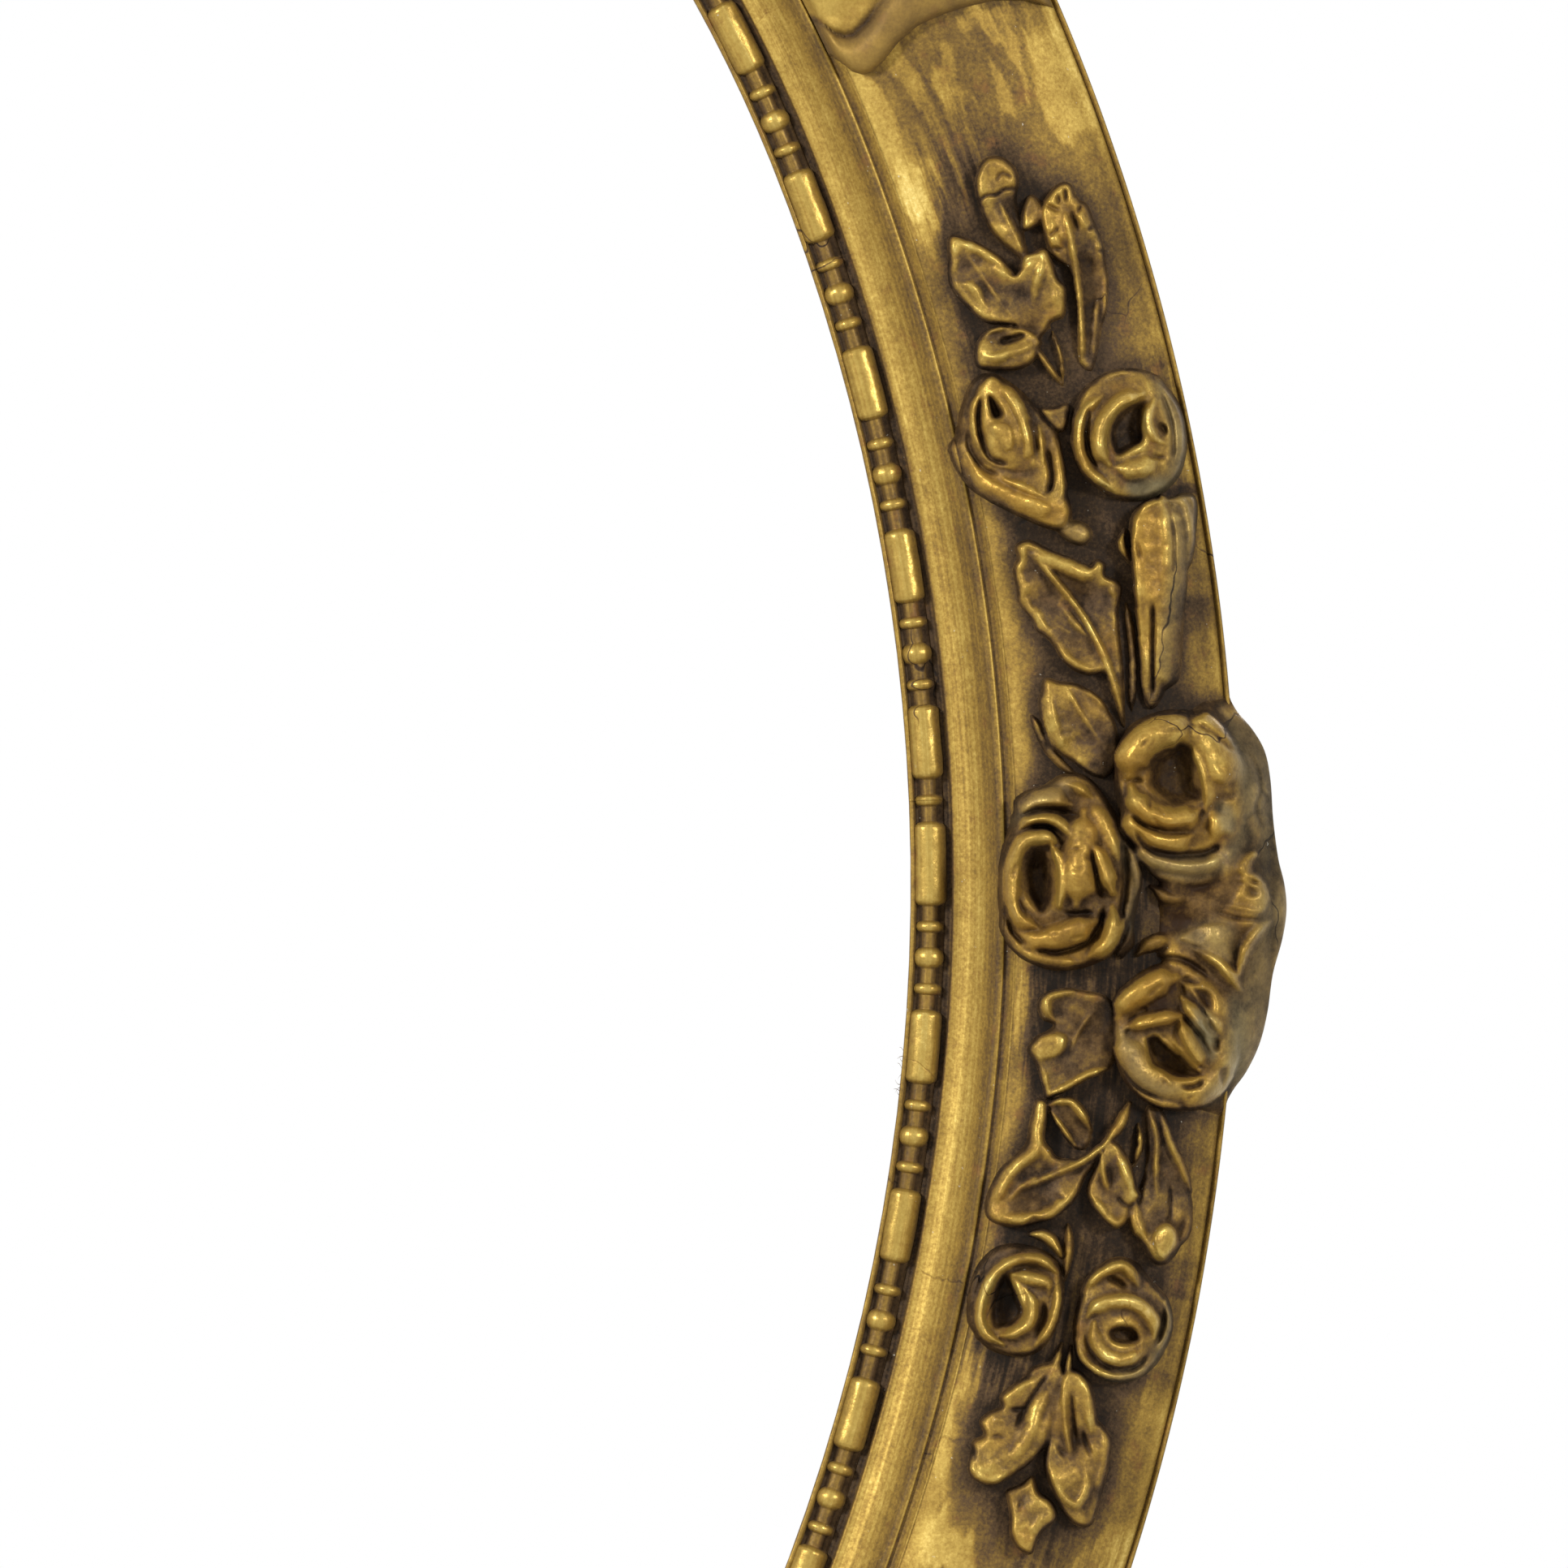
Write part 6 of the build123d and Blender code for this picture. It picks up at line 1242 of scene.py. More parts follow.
def gilt(name, blotch=0.30, streak=0.0, lines=0.0, speck=0.22, cracked=0.35, mottle=0.0, rough_low=0.30,
         relief=0.35):
    """Worn gold leaf: the value of wear and painted shade chooses between dark patina and burnished gold."""
    made, tree, shader = new_material(name)
    where = object_place(tree)
    large, middle = noise(tree, where, 75, 3.0), noise(tree, where, 330, 4.0, 0.6)
    fine = noise(tree, where, 1700, 3.0, 0.65)
    shader.inputs["Specular IOR Level"].default_value = 0.12
    wear_with_shade = total(tree, attribute(tree, "wear_and_shade"), (large, blotch), (middle, 0.26), (fine, speck))
    if mottle:
        wear_with_shade = total(tree, wear_with_shade, (noise(tree, where, 760, 3.0, 0.6), mottle))
    if streak or lines:
        flow = attribute(tree, "flow", "Vector")
        if streak:
            band = scaled(tree, noise(tree, stretched(tree, flow, (48, 48, 520)), 1.0, 3.0, 0.6), 0.40, 0.60)
            patch = scaled(tree, noise(tree, where, 24, 2.0), 0.44, 0.60)
            streaks = calc(tree, "MULTIPLY_ADD", calc(tree, "SUBTRACT", band, 0.5), patch, 0.5)
            wear_with_shade = total(tree, wear_with_shade, (streaks, streak))
        if lines:
            wear_with_shade = total(tree, wear_with_shade, (noise(tree, stretched(tree, flow, (9, 9, 1900)), 1.0, 2.0), lines))
    swirl = node(tree, "ShaderNodeTexNoise", {"Vector": where, "Scale": 160.0}).outputs["Color"]
    swirl = stretched(tree, swirl, (0.004, 0.004, 0.004))
    bent = node(tree, "ShaderNodeVectorMath", {0: where, 1: swirl}, operation="ADD").outputs[0]
    cells = node(tree, "ShaderNodeTexVoronoi", {"Vector": bent, "Scale": 42.0}, feature="DISTANCE_TO_EDGE")
    some = scaled(tree, noise(tree, where, 33, 1.0), 0.57, 0.64)
    crack = calc(tree, "MULTIPLY", scaled(tree, cells.outputs[0], 0.002, 0.007, 1.0, 0.0), some)
    wear_with_shade = calc(tree, "MULTIPLY_ADD", crack, -cracked, wear_with_shade, clamp=True)
    colour = stops(tree, wear_with_shade, gilt_colours)
    rust = scaled(tree, noise(tree, where, 240, 3.0), 0.60, 0.72)
    mid = calc(tree, "MULTIPLY", scaled(tree, wear_with_shade, 0.75, 0.5), scaled(tree, wear_with_shade, 0.2, 0.4))
    low = calc(tree, "MULTIPLY", scaled(tree, wear_with_shade, 0.5, 0.3), scaled(tree, wear_with_shade, 0.12, 0.3))
    violet = calc(tree, "MULTIPLY", scaled(tree, noise(tree, where, 130, 2.0), 0.48, 0.66), low)
    fleck = scaled(tree, noise(tree, where, 900, 2.0, 0.7), 0.745, 0.775)
    for share, weight, tint in ((calc(tree, "MULTIPLY", rust, mid), 0.45, rust_colour),
                                (violet, 0.35, violet_colour),
                                (attribute(tree, "warm"), 0.65, mixed(tree, wear_with_shade, *warm_colours)),
                                (attribute(tree, "grey"), 0.75, mixed(tree, wear_with_shade, *grey_colours)),
                                (fleck, 0.6, fleck_colour)):
        colour = mixed(tree, calc(tree, "MULTIPLY", share, weight), colour, tint)
    metal = scaled(tree, wear_with_shade, 0.32, 0.78, 0.0, 0.62)
    rough = total(tree, scaled(tree, wear_with_shade, 0.15, 0.80, 0.62, rough_low), (middle, 0.14), (fine, 0.10))
    grain = calc(tree, "MULTIPLY_ADD", middle, 1.6, fine)
    grain = calc(tree, "MULTIPLY_ADD", crack, -1.4, grain)
    connect(tree, shader, {"Base Color": colour, "Metallic": metal, "Roughness": rough,
                           "Normal": bumped(tree, relief, 0.0002, grain)})
    return made


wood_colours = [(0.0, (0.045, 0.024, 0.012)), (0.5, (0.19, 0.105, 0.048)), (1.0, (0.36, 0.225, 0.115))]


def wood(name, turn, light=1.0):
    """Bare old wood, its grain along one direction, given as a turn about Y."""
    made, tree, shader = new_material(name)
    where = object_place(tree)
    laid = node(tree, "ShaderNodeMapping", {"Vector": where, "Rotation": (0, turn, 0)}).outputs[0]
    long = stretched(tree, laid, (5, 60, 60))
    sway = noise(tree, long, 0.5, 2.0)
    bent = node(tree, "ShaderNodeVectorMath", {0: long, 1: sway}, operation="ADD").outputs[0]
    rings = node(tree, "ShaderNodeTexWave", {"Vector": bent, "Scale": 1.6, "Distortion": 3.0, "Detail": 3.0,
                                             "Detail Scale": 1.4}, bands_direction="Z").outputs["Fac"]
    fibre = noise(tree, stretched(tree, laid, (22, 900, 900)), 1.0, 4.0, 0.6)
    dirt = noise(tree, where, 22, 4.0)
    value = total(tree, 0.5, (rings, 0.34), (fibre, 0.55), (dirt, 0.9))
    colour = stops(tree, value, [(at, tuple(light * part for part in tone)) for at, tone in wood_colours])
    connect(tree, shader, {"Base Color": colour, "Roughness": scaled(tree, fibre, 0.2, 0.8, 0.85, 0.62),
                           "Normal": bumped(tree, 0.5, 0.0003, total(tree, fibre, (rings, 0.5)))})
    return made


def metal(name, bright, dull, rough):
    """Aged metal with tarnish in patches and fine scratches."""
    made, tree, shader = new_material(name)
    where = object_place(tree)
    patch, fine = noise(tree, where, 180, 4.0, 0.6), noise(tree, where, 1400, 3.0)
    scratch = noise(tree, stretched(tree, where, (300, 300, 4000)), 1.0, 2.0)
    tarnish = total(tree, scaled(tree, patch, 0.35, 0.65), (fine, 0.4))
    scratched = total(tree, scaled(tree, tarnish, 0, 1, rough, rough + 0.25), (scratch, 0.15))
    connect(tree, shader, {"Base Color": mixed(tree, tarnish, (*bright, 1), (*dull, 1)),
                           "Metallic": scaled(tree, tarnish, 0.0, 1.0, 0.95, 0.55), "Roughness": scratched,
                           "Normal": bumped(tree, 0.25, 0.0001, total(tree, fine, (scratch, 0.6)))})
    return made


cove_gilt = gilt("gilt_moulding", blotch=0.18, lines=0.36, speck=0.46, cracked=0.12, rough_low=0.48,
                 relief=0.12)
panel_gilt = gilt("gilt_panel_leaf", blotch=0.24, streak=0.30, speck=0.44, cracked=0.2, rough_low=0.55,
                  relief=0.18)
edge_gilt = gilt("gilt_edge_leaf", blotch=0.2, lines=0.3, speck=0.3, rough_low=0.45, relief=0.2)
strip_gilt = gilt("gilt_beads", blotch=0.10, lines=0.36, speck=0.30, cracked=0.3, rough_low=0.25, relief=0.2)
cast_gilt = gilt("gilt_castings", blotch=0.20, speck=0.34, cracked=0.40, mottle=0.32, rough_low=0.31,
                 relief=0.42)
clasp_gilt = gilt("gilt_clasps", blotch=0.18, speck=0.26, rough_low=0.50, relief=0.18)

# Garlands: the one at the right, which the photograph shows, has the finest mesh
fine_sheet = garland_sheet(fine_step)
coarse_sheet = garland_sheet(coarse_step)
for side in side_angles:
    for piece, name in garland(side, fine_sheet if side == "right" else coarse_sheet):
        dress(piece, cast_gilt, "gilded_compo", f"{side}_{name}")


# Clasps on the shoulders: their end, as (t, distance in from the half length)
clasp_end = [(16, 12.4), (17.0, 10.6), (18.2, 8.0), (19.6, 6.7), (21.0, 6.5), (23.5, 7.4), (27.0, 9.3),
             (31, 10.5), (35, 10.6), (39.7, 10.1), (44.7, 9.2), (49.8, 7.0), (52.9, 4.6), (54, 4.0)]
# Their heights, and the measures of the rolled lip and of the bound knot
clasp_body = 1.3
clasp_flute = 0.9
clasp_lip = 3.6
clasp_crease = 0.6
clasp_lip_width = 7.4
clasp_lip_swell = 2.2
knot_half_length = 12.5
knot_body = 1.3
knot_wrap = 0.7
knot_pitch = 6.0


def clasp_relief(s, t):
    """Ribbon clasp about its middle: two arched ends with a rolled lip, fluted arms and a bound knot."""
    away = clasp_half_length - np.abs(s)
    inner = away - np.interp(t, *zip(*clasp_end))
    wide = clasp_lip_width + clasp_lip_swell * ease((t - 24) / 10) * ease((50 - t) / 14)
    lip = np.sqrt(np.clip(1 - ((inner + 0.3) / wide * 2 - 1) ** 2, 0, 1))
    crease = np.exp(-((inner - wide) / 0.7) ** 2) * (0.25 + 0.75 * ease((28 - t) / 4))
    flutes = 0.5 + 0.5 * np.cos((t - panel_middle) / 17.2 * np.pi * 2.5)
    body = clasp_body + clasp_flute * flutes * ease(inner / 10 - 1.0)
    body = body * ease((inner - wide) / 2 + 0.8)
    knot = ease((knot_half_length - np.abs(s)) / 1.6)
    wrap = knot_body + knot_wrap * np.abs(np.sin((s + 0.35 * (t - panel_middle)) * np.pi / knot_pitch))
    ends = ease((t - panel_start + 1.6) / 1.4) * ease((lip_end - 0.6 - t) / 1.6)
    level = (body + clasp_lip * lip - clasp_crease * crease + knot * wrap) * ends
    return np.where(inner > -0.6, sunk + (level - sunk) * ease(inner + 0.5), sunk), lip, crease


def clasp(name, angle, step):
    """One ribbon clasp on a sheet of its own."""
    s = np.arange(-clasp_half_length - 1.5, clasp_half_length + 1.5, step)
    t = np.arange(panel_start - 1.8, lip_end - 0.4, step)
    s, t = np.meshgrid(s, t, indexing="ij")
    height, lip, crease = clasp_relief(s, t)
    lumps = 0.10 * ripple(s, t, 1.9, 21) + 0.20 * ripple(s, t, 7.0, 22)
    height = np.where(height > carved_from, height + lumps, height)
    ground = panel_height(np.clip(t, panel_start - 1.5, panel_end))
    rolled = ease(lip * 2)
    # the crease where the rolled lip meets the ribbon is darkened as painted shade
    wear_and_shade = (0.66 * (1 - rolled) + 0.34 * rolled - 0.24 * crease + 0.10 * (height - blur(height, 4 / step))
            + 0.05 * ripple(s, t, 2.4, 32))
    values = {"wear_and_shade": wear_and_shade, "grey": 0.25 * rolled, "warm": 0.6 * rolled}
    centre = middle_oval.length_to(angle)
    return shell(name, s, t, ground + height, ground + shell_floor, height > shell_from, values, centre)


for name, angle in shoulder_angles.items():
    piece = clasp(f"ribbon_clasp_{name}_leafed", angle, clasp_step)
    dress(piece, clasp_gilt, "gilded_compo", f"ribbon_clasp_{name}")


# Mouldings

def sampled(field, s, t):
    """A field of the fine sheet at places of the oval, round each garland; zero elsewhere."""
    out = np.zeros(s.shape)
    for centre_angle in side_angles.values():
        away = s - middle_oval.length_to(centre_angle)
        away = (away + middle_oval.total / 2) % middle_oval.total - middle_oval.total / 2
        i = (away + garland_half_length) / fine_step
        j = (np.clip(t, sheet_inner, sheet_even - 1) - sheet_inner) / fine_step
        hit = (i > 0) & (i < field.shape[0] - 2)
        a, b = np.floor(i[hit]).astype(int), np.floor(j[hit]).astype(int)
        u, v = i[hit] - a, j[hit] - b
        value = ((field[a, b] * (1 - u) + field[a + 1, b] * u) * (1 - v)
                 + (field[a, b + 1] * (1 - u) + field[a + 1, b + 1] * u) * v)
        out[hit] = np.maximum(out[hit], value)
    return out


def through(a, b, c, count):
    """Evenly placed points on the curve through three points."""
    u = np.linspace(0, 1, count)[:, None]
    a, b, c = np.array([a, b, c], float)
    return list(map(tuple, a * (1 - u) * (1 - 2 * u) + 4 * b * u * (1 - u) + c * u * (2 * u - 1)))


def ring(name, section, wear_and_shade, step, material, node_name, wobble):
    """A closed moulding: a section of (t, height) carried round the oval."""
    section = np.array(section, float)
    count = int(middle_oval.total / step)
    s = np.arange(count)[:, None] * middle_oval.total / count
    t, height = section[None, :, 0], section[None, :, 1]
    s2, t2 = np.broadcast_arrays(s, t)
    height = height + wobble * (ripple(s2, t2, 9.0, 41) + 0.5 * ripple(s2, t2, 3.0, 42))
    t3 = t2 + 0.5 * wobble * ripple(s2, t2 * 0, 14.0, 43)
    points = middle_oval.place(s2, t3, height).reshape(-1, 3)
    shade = wear_and_shade(s2, t2).ravel()
    values = {"wear_and_shade": shade, "flow": flow_of(s2, t2, middle_oval), "grey": shade * 0, "warm": shade * 0}
    quads = lattice(count, len(section), True, True)
    piece = build(name, points, quads, values=values)
    return dress(piece, material, "gilded_gesso", node_name)


near_cover, wide_cover, deep_cover, ground_shade = fine_sheet[5]
# Value of wear and painted shade across each moulding, as (t, value): painted shade in the groove, on steep
# faces, in the quirk and on the outer wall, painted highlight on the fillet's edge and on the panel's steep
# outer fall
cove_tones = [(5.6, 0.22), (6.5, 0.22), (6.95, 0.32), (7.2, 0.56), (8.0, 0.66), (12.3, 0.62), (12.8, 0.52),
              (13.6, 0.50), (14.2, 0.42), (15.0, 0.42), (15.2, 0.52), (15.4, 0.70), (15.62, 0.70),
              (15.7, 0.36), (16.3, 0.42), (16.8, 0.54), (17.6, 0.58)]
panel_tones = [(17.6, 0.54), (18.0, 0.57), (20.0, 0.54), (23.5, 0.43), (40.0, 0.43), (45.0, 0.50),
               (48.5, 0.53), (51.0, 0.48), (52.6, 0.62), (53.0, 0.58)]
edge_tones = [(53.0, 0.34), (53.3, 0.38), (53.5, 0.54), (53.7, 0.52), (54.0, 0.54), (54.15, 0.44),
              (54.4, 0.42)]


# Painted shade and patina round the castings: how much darker they make what is under, beside and deep
# between them
under_dark = 0.07
beside_dark = 0.18
between_dark = 0.32
cavetto_dark = 0.22
cavetto_start = 15.8
panel_darkest_tone = 0.14


def cove_wear_and_shade(s, t):
    # painted shade on the cavetto beside the castings
    beside = sampled(wide_cover, s, t) * (t > cavetto_start)
    return np.interp(t, *zip(*cove_tones)) - cavetto_dark * beside


def panel_wear_and_shade(s, t):
    """Darker round the castings, as painted shade and patina, and with patina and painted shade in places."""
    cover, wide, deep = [sampled(field, s, t) for field in (near_cover, wide_cover, deep_cover)]
    inside = ease((t - 18.5) / 3.0) * ease((50 - t) / 3.0)
    beside = (0.08 + 0.92 * inside) * np.clip(wide * 1.9, 0, 1)
    dark = beside_dark * beside + under_dark * cover + between_dark * deep
    wear_and_shade = np.interp(t, *zip(*panel_tones)) - dark + sampled(ground_shade, s, t)
    return np.maximum(wear_and_shade, panel_darkest_tone)


def edge_wear_and_shade(_, t):
    return np.interp(t, *zip(*edge_tones))


# Sections as (t, height)
cove_section = [(strip_width, strip_seat_height), (5.7, groove_floor - 0.05), (6.3, groove_floor - 0.05),
                (6.85, groove_floor), (6.93, 13.6), (6.98, 14.35)]
cove_section += through((7.15, 14.66), (10.8, 16.12), (14.4, 20.4), 26)
cove_section += [(14.6, 20.56), (14.9, fillet_height + 0.02), (15.2, fillet_height + 0.04),
                 (15.48, fillet_height), (15.62, 20.45), (15.68, 20.1)]
start_height = panel_height(panel_start)
cove_section += through((15.78, cavetto_height), (16.6, 20.32), (panel_start, start_height), 8)
cove_section += [(panel_start, start_height - gesso), (13.8, 17.6), (10.4, 14.8), (7.9, 13.4),
                 (7.9, strip_seat_height)]
panel_section = [(t, panel_height(t)) for t in np.linspace(panel_start, 52.9, 96)]
panel_section += [(53.05, panel_height(53.05) - 0.06), (53.14, panel_height(53.14) - 0.3),
                  (53.17, quirk_floor + 0.3), (53.12, quirk_floor - 0.9), (panel_end - 1, quirk_floor - 0.9)]
panel_section += [(t, panel_height(t) - gesso) for t in (50, 44, 36, 29, 22, panel_start)]
edge_section = [(52.9, quirk_floor + 0.4), (53.38, quirk_floor + 0.45), (53.45, 14.8), (53.54, 15.04),
                (53.7, lip_height), (53.95, lip_height - 0.02), (54.08, 15.0), (54.14, 14.7), (54.18, 12),
                (54.24, 8), (54.3, 4), (54.4, 0.05), (53.4, 0.05), (52.9, 13.1)]
for name, section, wear_and_shade, step, material, wobble in (
        ("gilt_cove", cove_section, cove_wear_and_shade, 1.6, cove_gilt, 0.05),
        ("gilt_panel", panel_section, panel_wear_and_shade, 0.9, panel_gilt, 0.09),
        ("gilt_outer_edge", edge_section, edge_wear_and_shade, 1.6, edge_gilt, 0.05)):
    ring(f"{name}_leafed", section, wear_and_shade, step, material, name, wobble)


# Bead and reel

def turned_radius(away, kind, half):
    """Radius of the turned form at a distance from its middle."""
    if kind == "bar":
        end = np.clip((half - away) / 1.5, 0, 1)
        return bar_radius * (1 - (1 - end) ** 2.4) ** 0.6 * (1 - 0.02 * (away / half) ** 4)
    if kind == "bead":
        return bead_radius * np.clip(1 - (away / half) ** 2, 0, 1) ** 0.42
    return disc_radius * np.clip(1 - (away / half) ** 2, 0, 1) ** 0.36


# How far single forms stray from their even places, by unit from the joint
strays = {1: -1.0, 2: -0.4, 19: -0.9, 20: -2.0, 21: -0.3, 22: -0.8}


def strip_marks():
    """Middle, kind and half length of every turned form of half the strip, which starts at its joint."""
    half = strip_oval.total / 2
    pitch = (half - strip_joint_gap - bar_length) / strip_units
    gap = pitch - bar_length
    start = strip_joint_rise + strip_joint_gap / 2
    marks = [(start - strip_joint_gap / 2, "disc", disc_half_length)]
    for unit in range(strip_units + 1):
        here = start + unit * pitch + strays.get(unit, 0.0)
        longer = 1.6 if unit == strip_units else 0.0
        marks.append((here + (bar_length - longer) / 2, "bar", (bar_length + longer) / 2))
        if unit < strip_units:
            after = strays.get(unit + 1, 0.0) if unit + 1 < strip_units else -1.6
            middle = start + unit * pitch + bar_length + gap / 2 + (strays.get(unit, 0.0) + after) / 2
            marks.append((middle, "bead", bead_half_length))
            marks += [(middle + side * gap * disc_place_share, "disc", disc_half_length) for side in (-1, 1)]
    marks.append((start + half - strip_joint_gap / 2, "disc", disc_half_length))
    return marks, start - strip_joint_gap / 2, pitch


# Section of the strip inside and outside its turned forms, as (t, height, value of wear and painted shade),
# and its finer marks
strip_floor = groove_floor + 0.02
strip_inside = [(0.0, strip_seat_height, 0.3), (0.0, 13.2, 0.42), (0.03, 13.7, 0.52), (0.2, 13.95, 0.55),
                (0.6, 13.9, 0.52), (0.95, 13.5, 0.42), (1.05, strip_floor, 0.24)]
strip_outside = [(strip_width, strip_floor, 0.22), (strip_width, strip_seat_height, 0.22)]
strip_step = 0.55
bar_rings = np.array([0, 0.04, 0.12, 0.25, 0.45, 0.8, 1.2])
bead_rings = np.array([-1.0, -0.985, -0.94, -0.86, -0.72, -0.5, -0.25, 0])
least_radius = 0.3


def strip(name, start, stop, marks, node_name):
    """One length of the strip: a base with the sight lip, and the turned forms along it."""
    spots = [np.arange(start, stop, strip_step), [stop]]
    for middle, kind, end in marks:
        offsets = bar_rings - end if kind == "bar" else end * bead_rings
        spots += [middle + offsets, middle - offsets]
    s = np.unique(np.round(np.concatenate(spots), 3))
    s = s[(s >= start) & (s <= stop)]
    radius = np.full(s.shape, neck_radius)
    for middle, kind, end in marks:
        away = np.abs(s - middle)
        hit = away < end
        radius[hit] = np.maximum(radius[hit], turned_radius(away[hit], kind, end))
    turn = np.linspace(0, np.pi, 29)[None]
    uneven = 1 + 0.02 * ripple(s[:, None], turn * 6, 1.9, 51) + 0.02 * ripple(s[:, None], turn * 0, 5.0, 52)
    wide = np.maximum(radius[:, None] * uneven, least_radius)
    full = ease((wide - neck_radius - 0.1) / 0.8)
    # painted light on the turned forms: darker flanks, darker still on the far side, and brighter crowns
    flank = np.where(turn < np.pi / 2, 0.26 + 0.20 * full, 0.24 + 0.12 * full)
    crown = 0.48 + 0.24 * full
    arcs = [strip_axis - strip_spread * wide * np.cos(turn), groove_floor + wide * np.sin(turn),
            flank + (crown - flank) * np.sin(turn) ** 1.6]
    ones = np.ones((len(s), 1))
    t, h, shade = [np.concatenate([ones * row[k] for row in strip_inside] + [arc]
                                  + [ones * row[k] for row in strip_outside], 1)
                   for k, arc in enumerate(arcs)]
    t[:, 1:6] += 0.05 * ripple(s[:, None], np.arange(5)[None] * 3.0, 2.3, 53)
    columns = t.shape[1]
    s2 = np.repeat(s[:, None], columns, 1)
    points = strip_oval.place(s2, t, h).reshape(-1, 3)
    values = {"wear_and_shade": shade.ravel(), "flow": flow_of(s2, t, strip_oval), "grey": shade.ravel() * 0,
              "warm": shade.ravel() * 0}
    quads = lattice(len(s), columns, False, True)
    last = (len(s) - 1) * columns
    caps = [list(range(columns))[::-1], [last + k for k in range(columns)]]
    piece = build(name, points, quads, caps, values)
    return dress(piece, strip_gilt, "gilded_compo", node_name)


marks, strip_start, strip_pitch = strip_marks()
half_oval = strip_oval.total / 2
strip_split = strip_start + strip_joint_gap / 2 + (strip_units + 1) // 2 * strip_pitch
for turn, names in ((0.0, ("upper_right", "upper_left")), (half_oval, ("lower_left", "lower_right"))):
    moved = [(middle + turn, kind, end) for middle, kind, end in marks]
    for name, start, stop in ((names[0], strip_start, strip_split),
                              (names[1], strip_split, strip_start + half_oval)):
        strip(f"beads_{name}", start + turn, stop + turn, moved, f"bead_strip_{name}")


# Fibres: their radius, how deep they root in the edge, and their height there and its rise to the tip
fibre_radius = 0.075
fibre_root = 0.25
fibre_height = 12.9
fibre_rise = 0.5
# Where each stands: s, reach past the edge, lean and bend
fibre_places = [(-28.4, 0.7, 0.9, 0.3), (-29.0, 0.9, -0.5, 0.2), (-29.8, 0.6, 0.8, -0.3),
                (-31.4, 0.8, 1.2, 0.4), (-32.0, 0.5, -0.9, 0.2), (-33.6, 0.9, 0.6, -0.4),
                (-34.2, 0.7, -1.0, 0.3), (-34.9, 1.0, 0.3, 0.2), (-35.6, 0.6, 1.1, -0.2)]


def fibres(name, places, material):
    """Frayed wood fibres that stand out of the sight edge: thin tapered tubes in one mesh."""
    sides, rings = 5, 7
    turn = np.arange(sides) / sides * 2 * np.pi
    u = np.linspace(0, 1, rings)[:, None]
    radius = fibre_radius * (1 - 0.7 * u)
    points, quads, caps = [], [], []
    for count, (s, reach, lean, bend) in enumerate(places):
        along = s + lean * u + bend * np.sin(u * np.pi) + radius * np.cos(turn)
        out = fibre_root - (reach + fibre_root) * u ** 0.8
        height = fibre_height + fibre_rise * u + radius * np.sin(turn)
        points.append(strip_oval.place(along, np.broadcast_to(out, along.shape), height).reshape(-1, 3))
        first = count * sides * rings
        last = first + sides * (rings - 1)
        quads.append(lattice(rings, sides, False, True, first))
        caps += [list(range(first, first + sides)), list(range(last, last + sides))[::-1]]
    values = {"flow": np.zeros((sum(len(p) for p in points), 3))}
    piece = build(name, np.concatenate(points), np.concatenate(quads), caps, values)
    return dress(piece, material, "carcass_wood")


# Carcass and hardware keep their own shapes
grain_turns = {"right": 90.0, "left": 90.0, "top": 0.0, "bottom": 0.0, "upper_right": 54.0,
               "lower_left": 54.0, "upper_left": -54.0, "lower_right": -54.0}
turns = sorted(set(grain_turns.values()))
woods = {turn: wood(f"softwood_{k}", math.radians(turn)) for k, turn in enumerate(turns)}
spline_wood = wood("hardwood", 0.0, 1.4)
fibres("frayed_fibres", fibre_places, woods[grain_turns["right"]])
brass = metal("aged_brass", bright=(0.62, 0.44, 0.17), dull=(0.26, 0.17, 0.075), rough=0.30)
steel = metal("aged_steel", bright=(0.42, 0.39, 0.35), dull=(0.16, 0.12, 0.085), rough=0.36)
for name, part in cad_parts.items():
    if name.startswith("carcass_"):
        finish = woods[grain_turns[name.split("_", 1)[1]]]
    elif name == "joint_splines":
        finish = spline_wood
    elif name.startswith(("hanger_strap", "hanger_ring")):
        finish = brass
    elif name.endswith("_screws"):
        finish = steel
    elif name.startswith("turn_button"):
        finish = brass
    else:
        finish = cast_gilt
    part.data.materials.clear()
    part.data.materials.append(finish)

# Floor, light and camera
floor_z = cad_box[0].z - 0.0005
floor_radius = 1.15
floor_fades_from = 0.55
floor_colour = (0.80, 0.79, 0.77, 1)
bpy.ops.mesh.primitive_circle_add(vertices=96, radius=floor_radius, fill_type="NGON",
                                  location=(0, 0, floor_z))
floor = bpy.context.object
floor.name = "floor"
pale, tree, shader = new_material("pale_floor")
far = node(tree, "ShaderNodeVectorMath", {0: object_place(tree)}, operation="LENGTH").outputs["Value"]
shader.inputs["Base Color"].default_value = floor_colour
shader.inputs["Roughness"].default_value = 0.8
clear = node(tree, "ShaderNodeBsdfTransparent")
gone = scaled(tree, far, floor_fades_from, floor_radius - 0.02)
fade = node(tree, "ShaderNodeMixShader", {0: gone, 1: shader.outputs[0], 2: clear.outputs[0]})
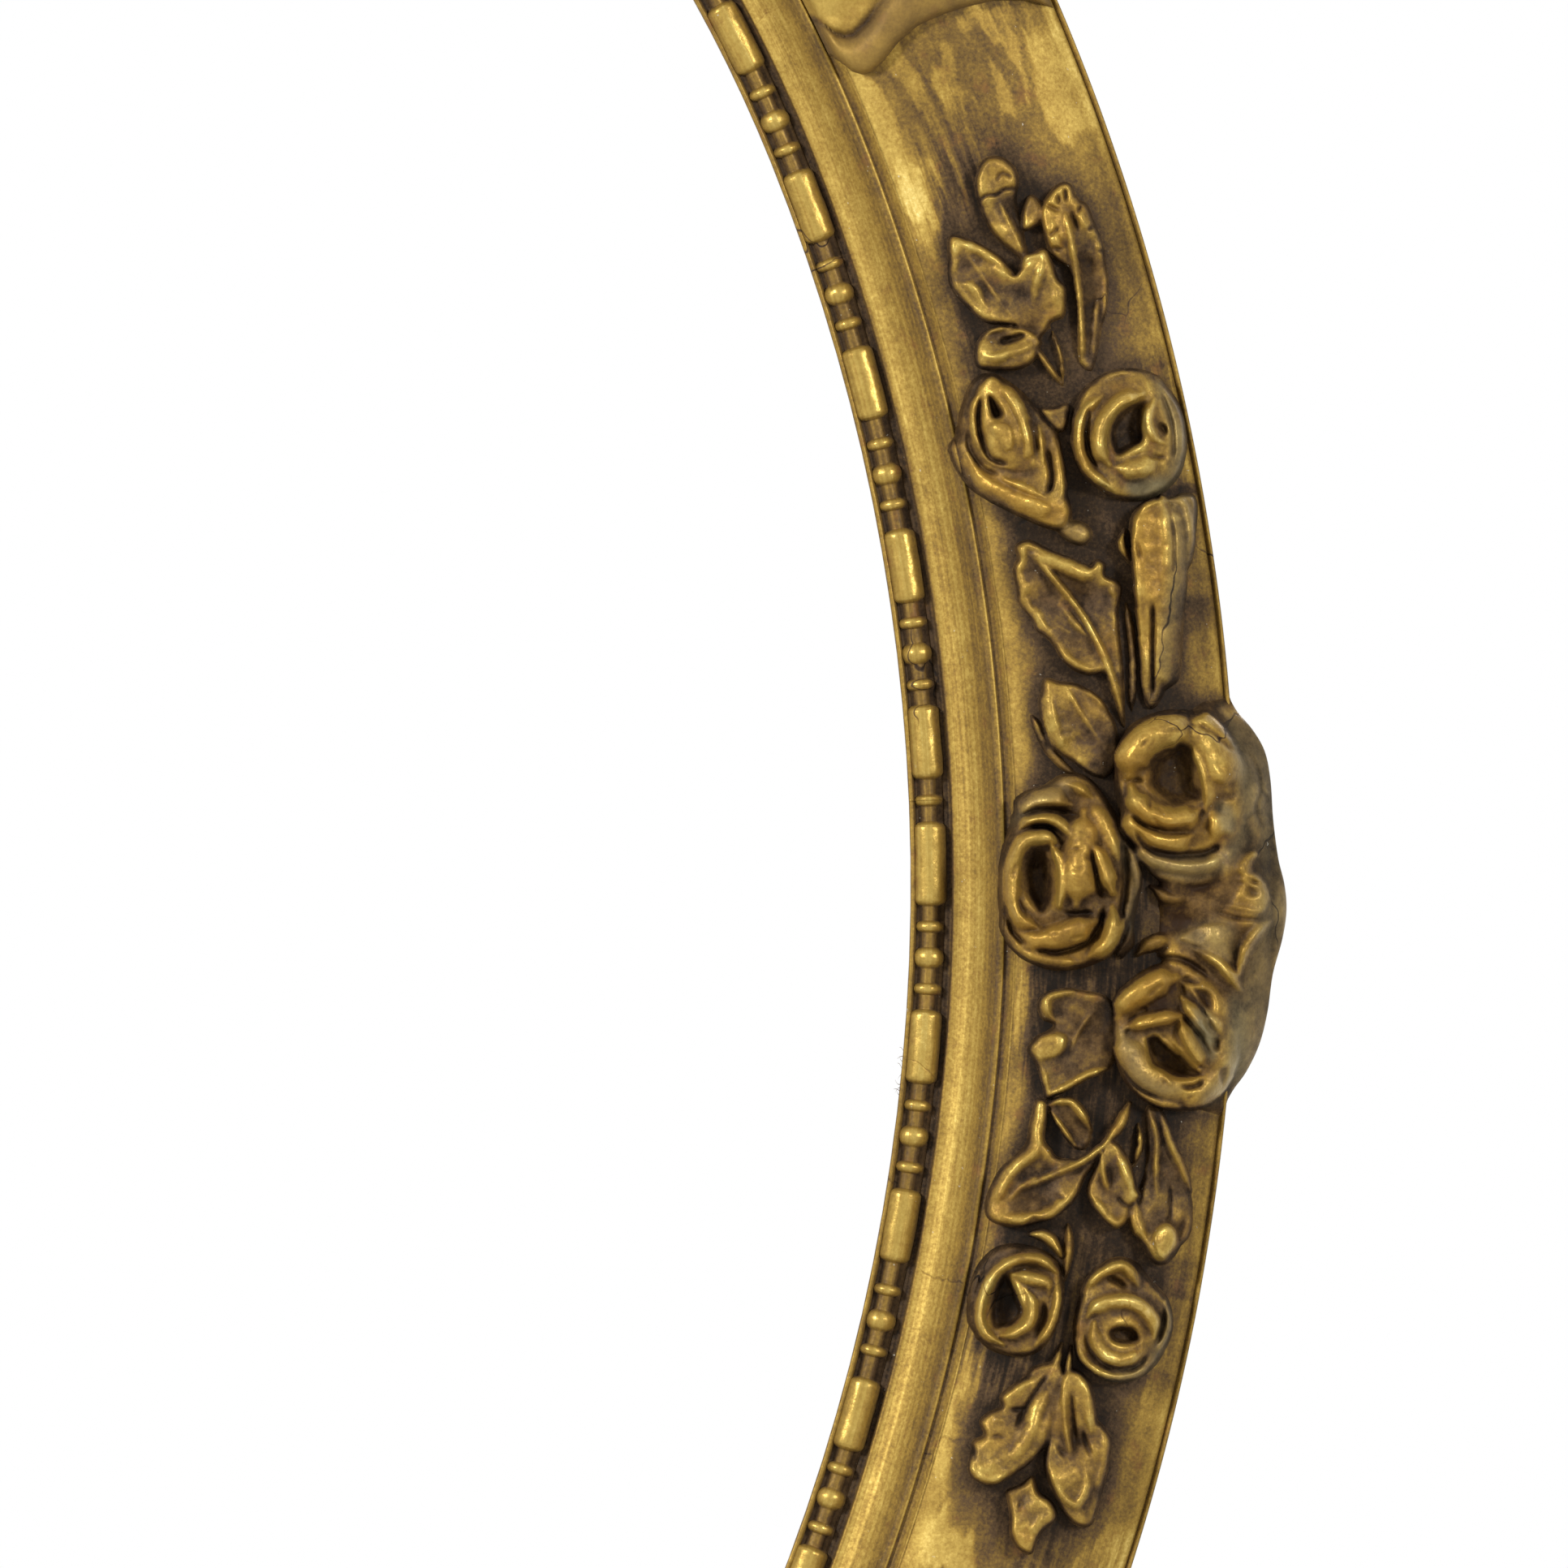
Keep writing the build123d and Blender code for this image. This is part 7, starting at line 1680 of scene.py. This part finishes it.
tree.links.new(fade.outputs[0], tree.nodes["Material Output"].inputs["Surface"])
floor.data.materials.append(pale)

# The world lights at a plain level, and shows as white to the camera and in reflections
light_level = 0.36
world = bpy.data.worlds.new("studio")
bpy.context.scene.world = world
world.use_nodes = True
tree = world.node_tree
tree.nodes.clear()
path = node(tree, "ShaderNodeLightPath")
seen = calc(tree, "MAXIMUM", path.outputs["Is Camera Ray"], path.outputs["Is Glossy Ray"])
seen = calc(tree, "MAXIMUM", seen, path.outputs["Is Transmission Ray"])
strength = scaled(tree, seen, 0, 1, light_level, 1.0)
sky = node(tree, "ShaderNodeBackground", {"Color": (1, 1, 1, 1), "Strength": strength})
node(tree, "ShaderNodeOutputWorld", {"Surface": sky.outputs[0]})


def lamp(name, place, aim, size, power):
    """A round soft lamp that points at a place."""
    data = bpy.data.lights.new(name, "AREA")
    data.shape = "DISK"
    data.size = size
    data.energy = power
    made = bpy.data.objects.new(name, data)
    bpy.context.scene.collection.objects.link(made)
    made.location = place
    made.rotation_mode = "QUATERNION"
    made.rotation_quaternion = (Vector(aim) - Vector(place)).to_track_quat("-Z", "Y")


lamp("left_key", place=(-1.10, -1.30, 0.70), aim=(0.1, 0, 0), size=0.34, power=27.0)
lamp("right_key", place=(1.40, -1.40, 0.55), aim=(0.1, 0, 0), size=0.34, power=16.0)
lamp("back_fill", place=(0.6, 1.8, 0.8), aim=(0, 0, 0), size=1.0, power=14.0)

# The photograph is taken square on; its frame shows 259.4 mm of the right side
photo_width = 0.2594
photo_centre = (0.1757, 0.0165)
camera_distance = 4.5
sensor_width = 36.0
camera_data = bpy.data.cameras.new("camera")
camera = bpy.data.objects.new("camera", camera_data)
bpy.context.scene.collection.objects.link(camera)
bpy.context.scene.camera = camera
front_y = back_y * MM - crown_height * MM
camera.location = (photo_centre[0], front_y - camera_distance, photo_centre[1])
camera.rotation_euler = (math.pi / 2, 0, 0)
camera_data.sensor_width = sensor_width
camera_data.lens = sensor_width * camera_distance / photo_width
bpy.context.scene.view_settings.view_transform = "Standard"
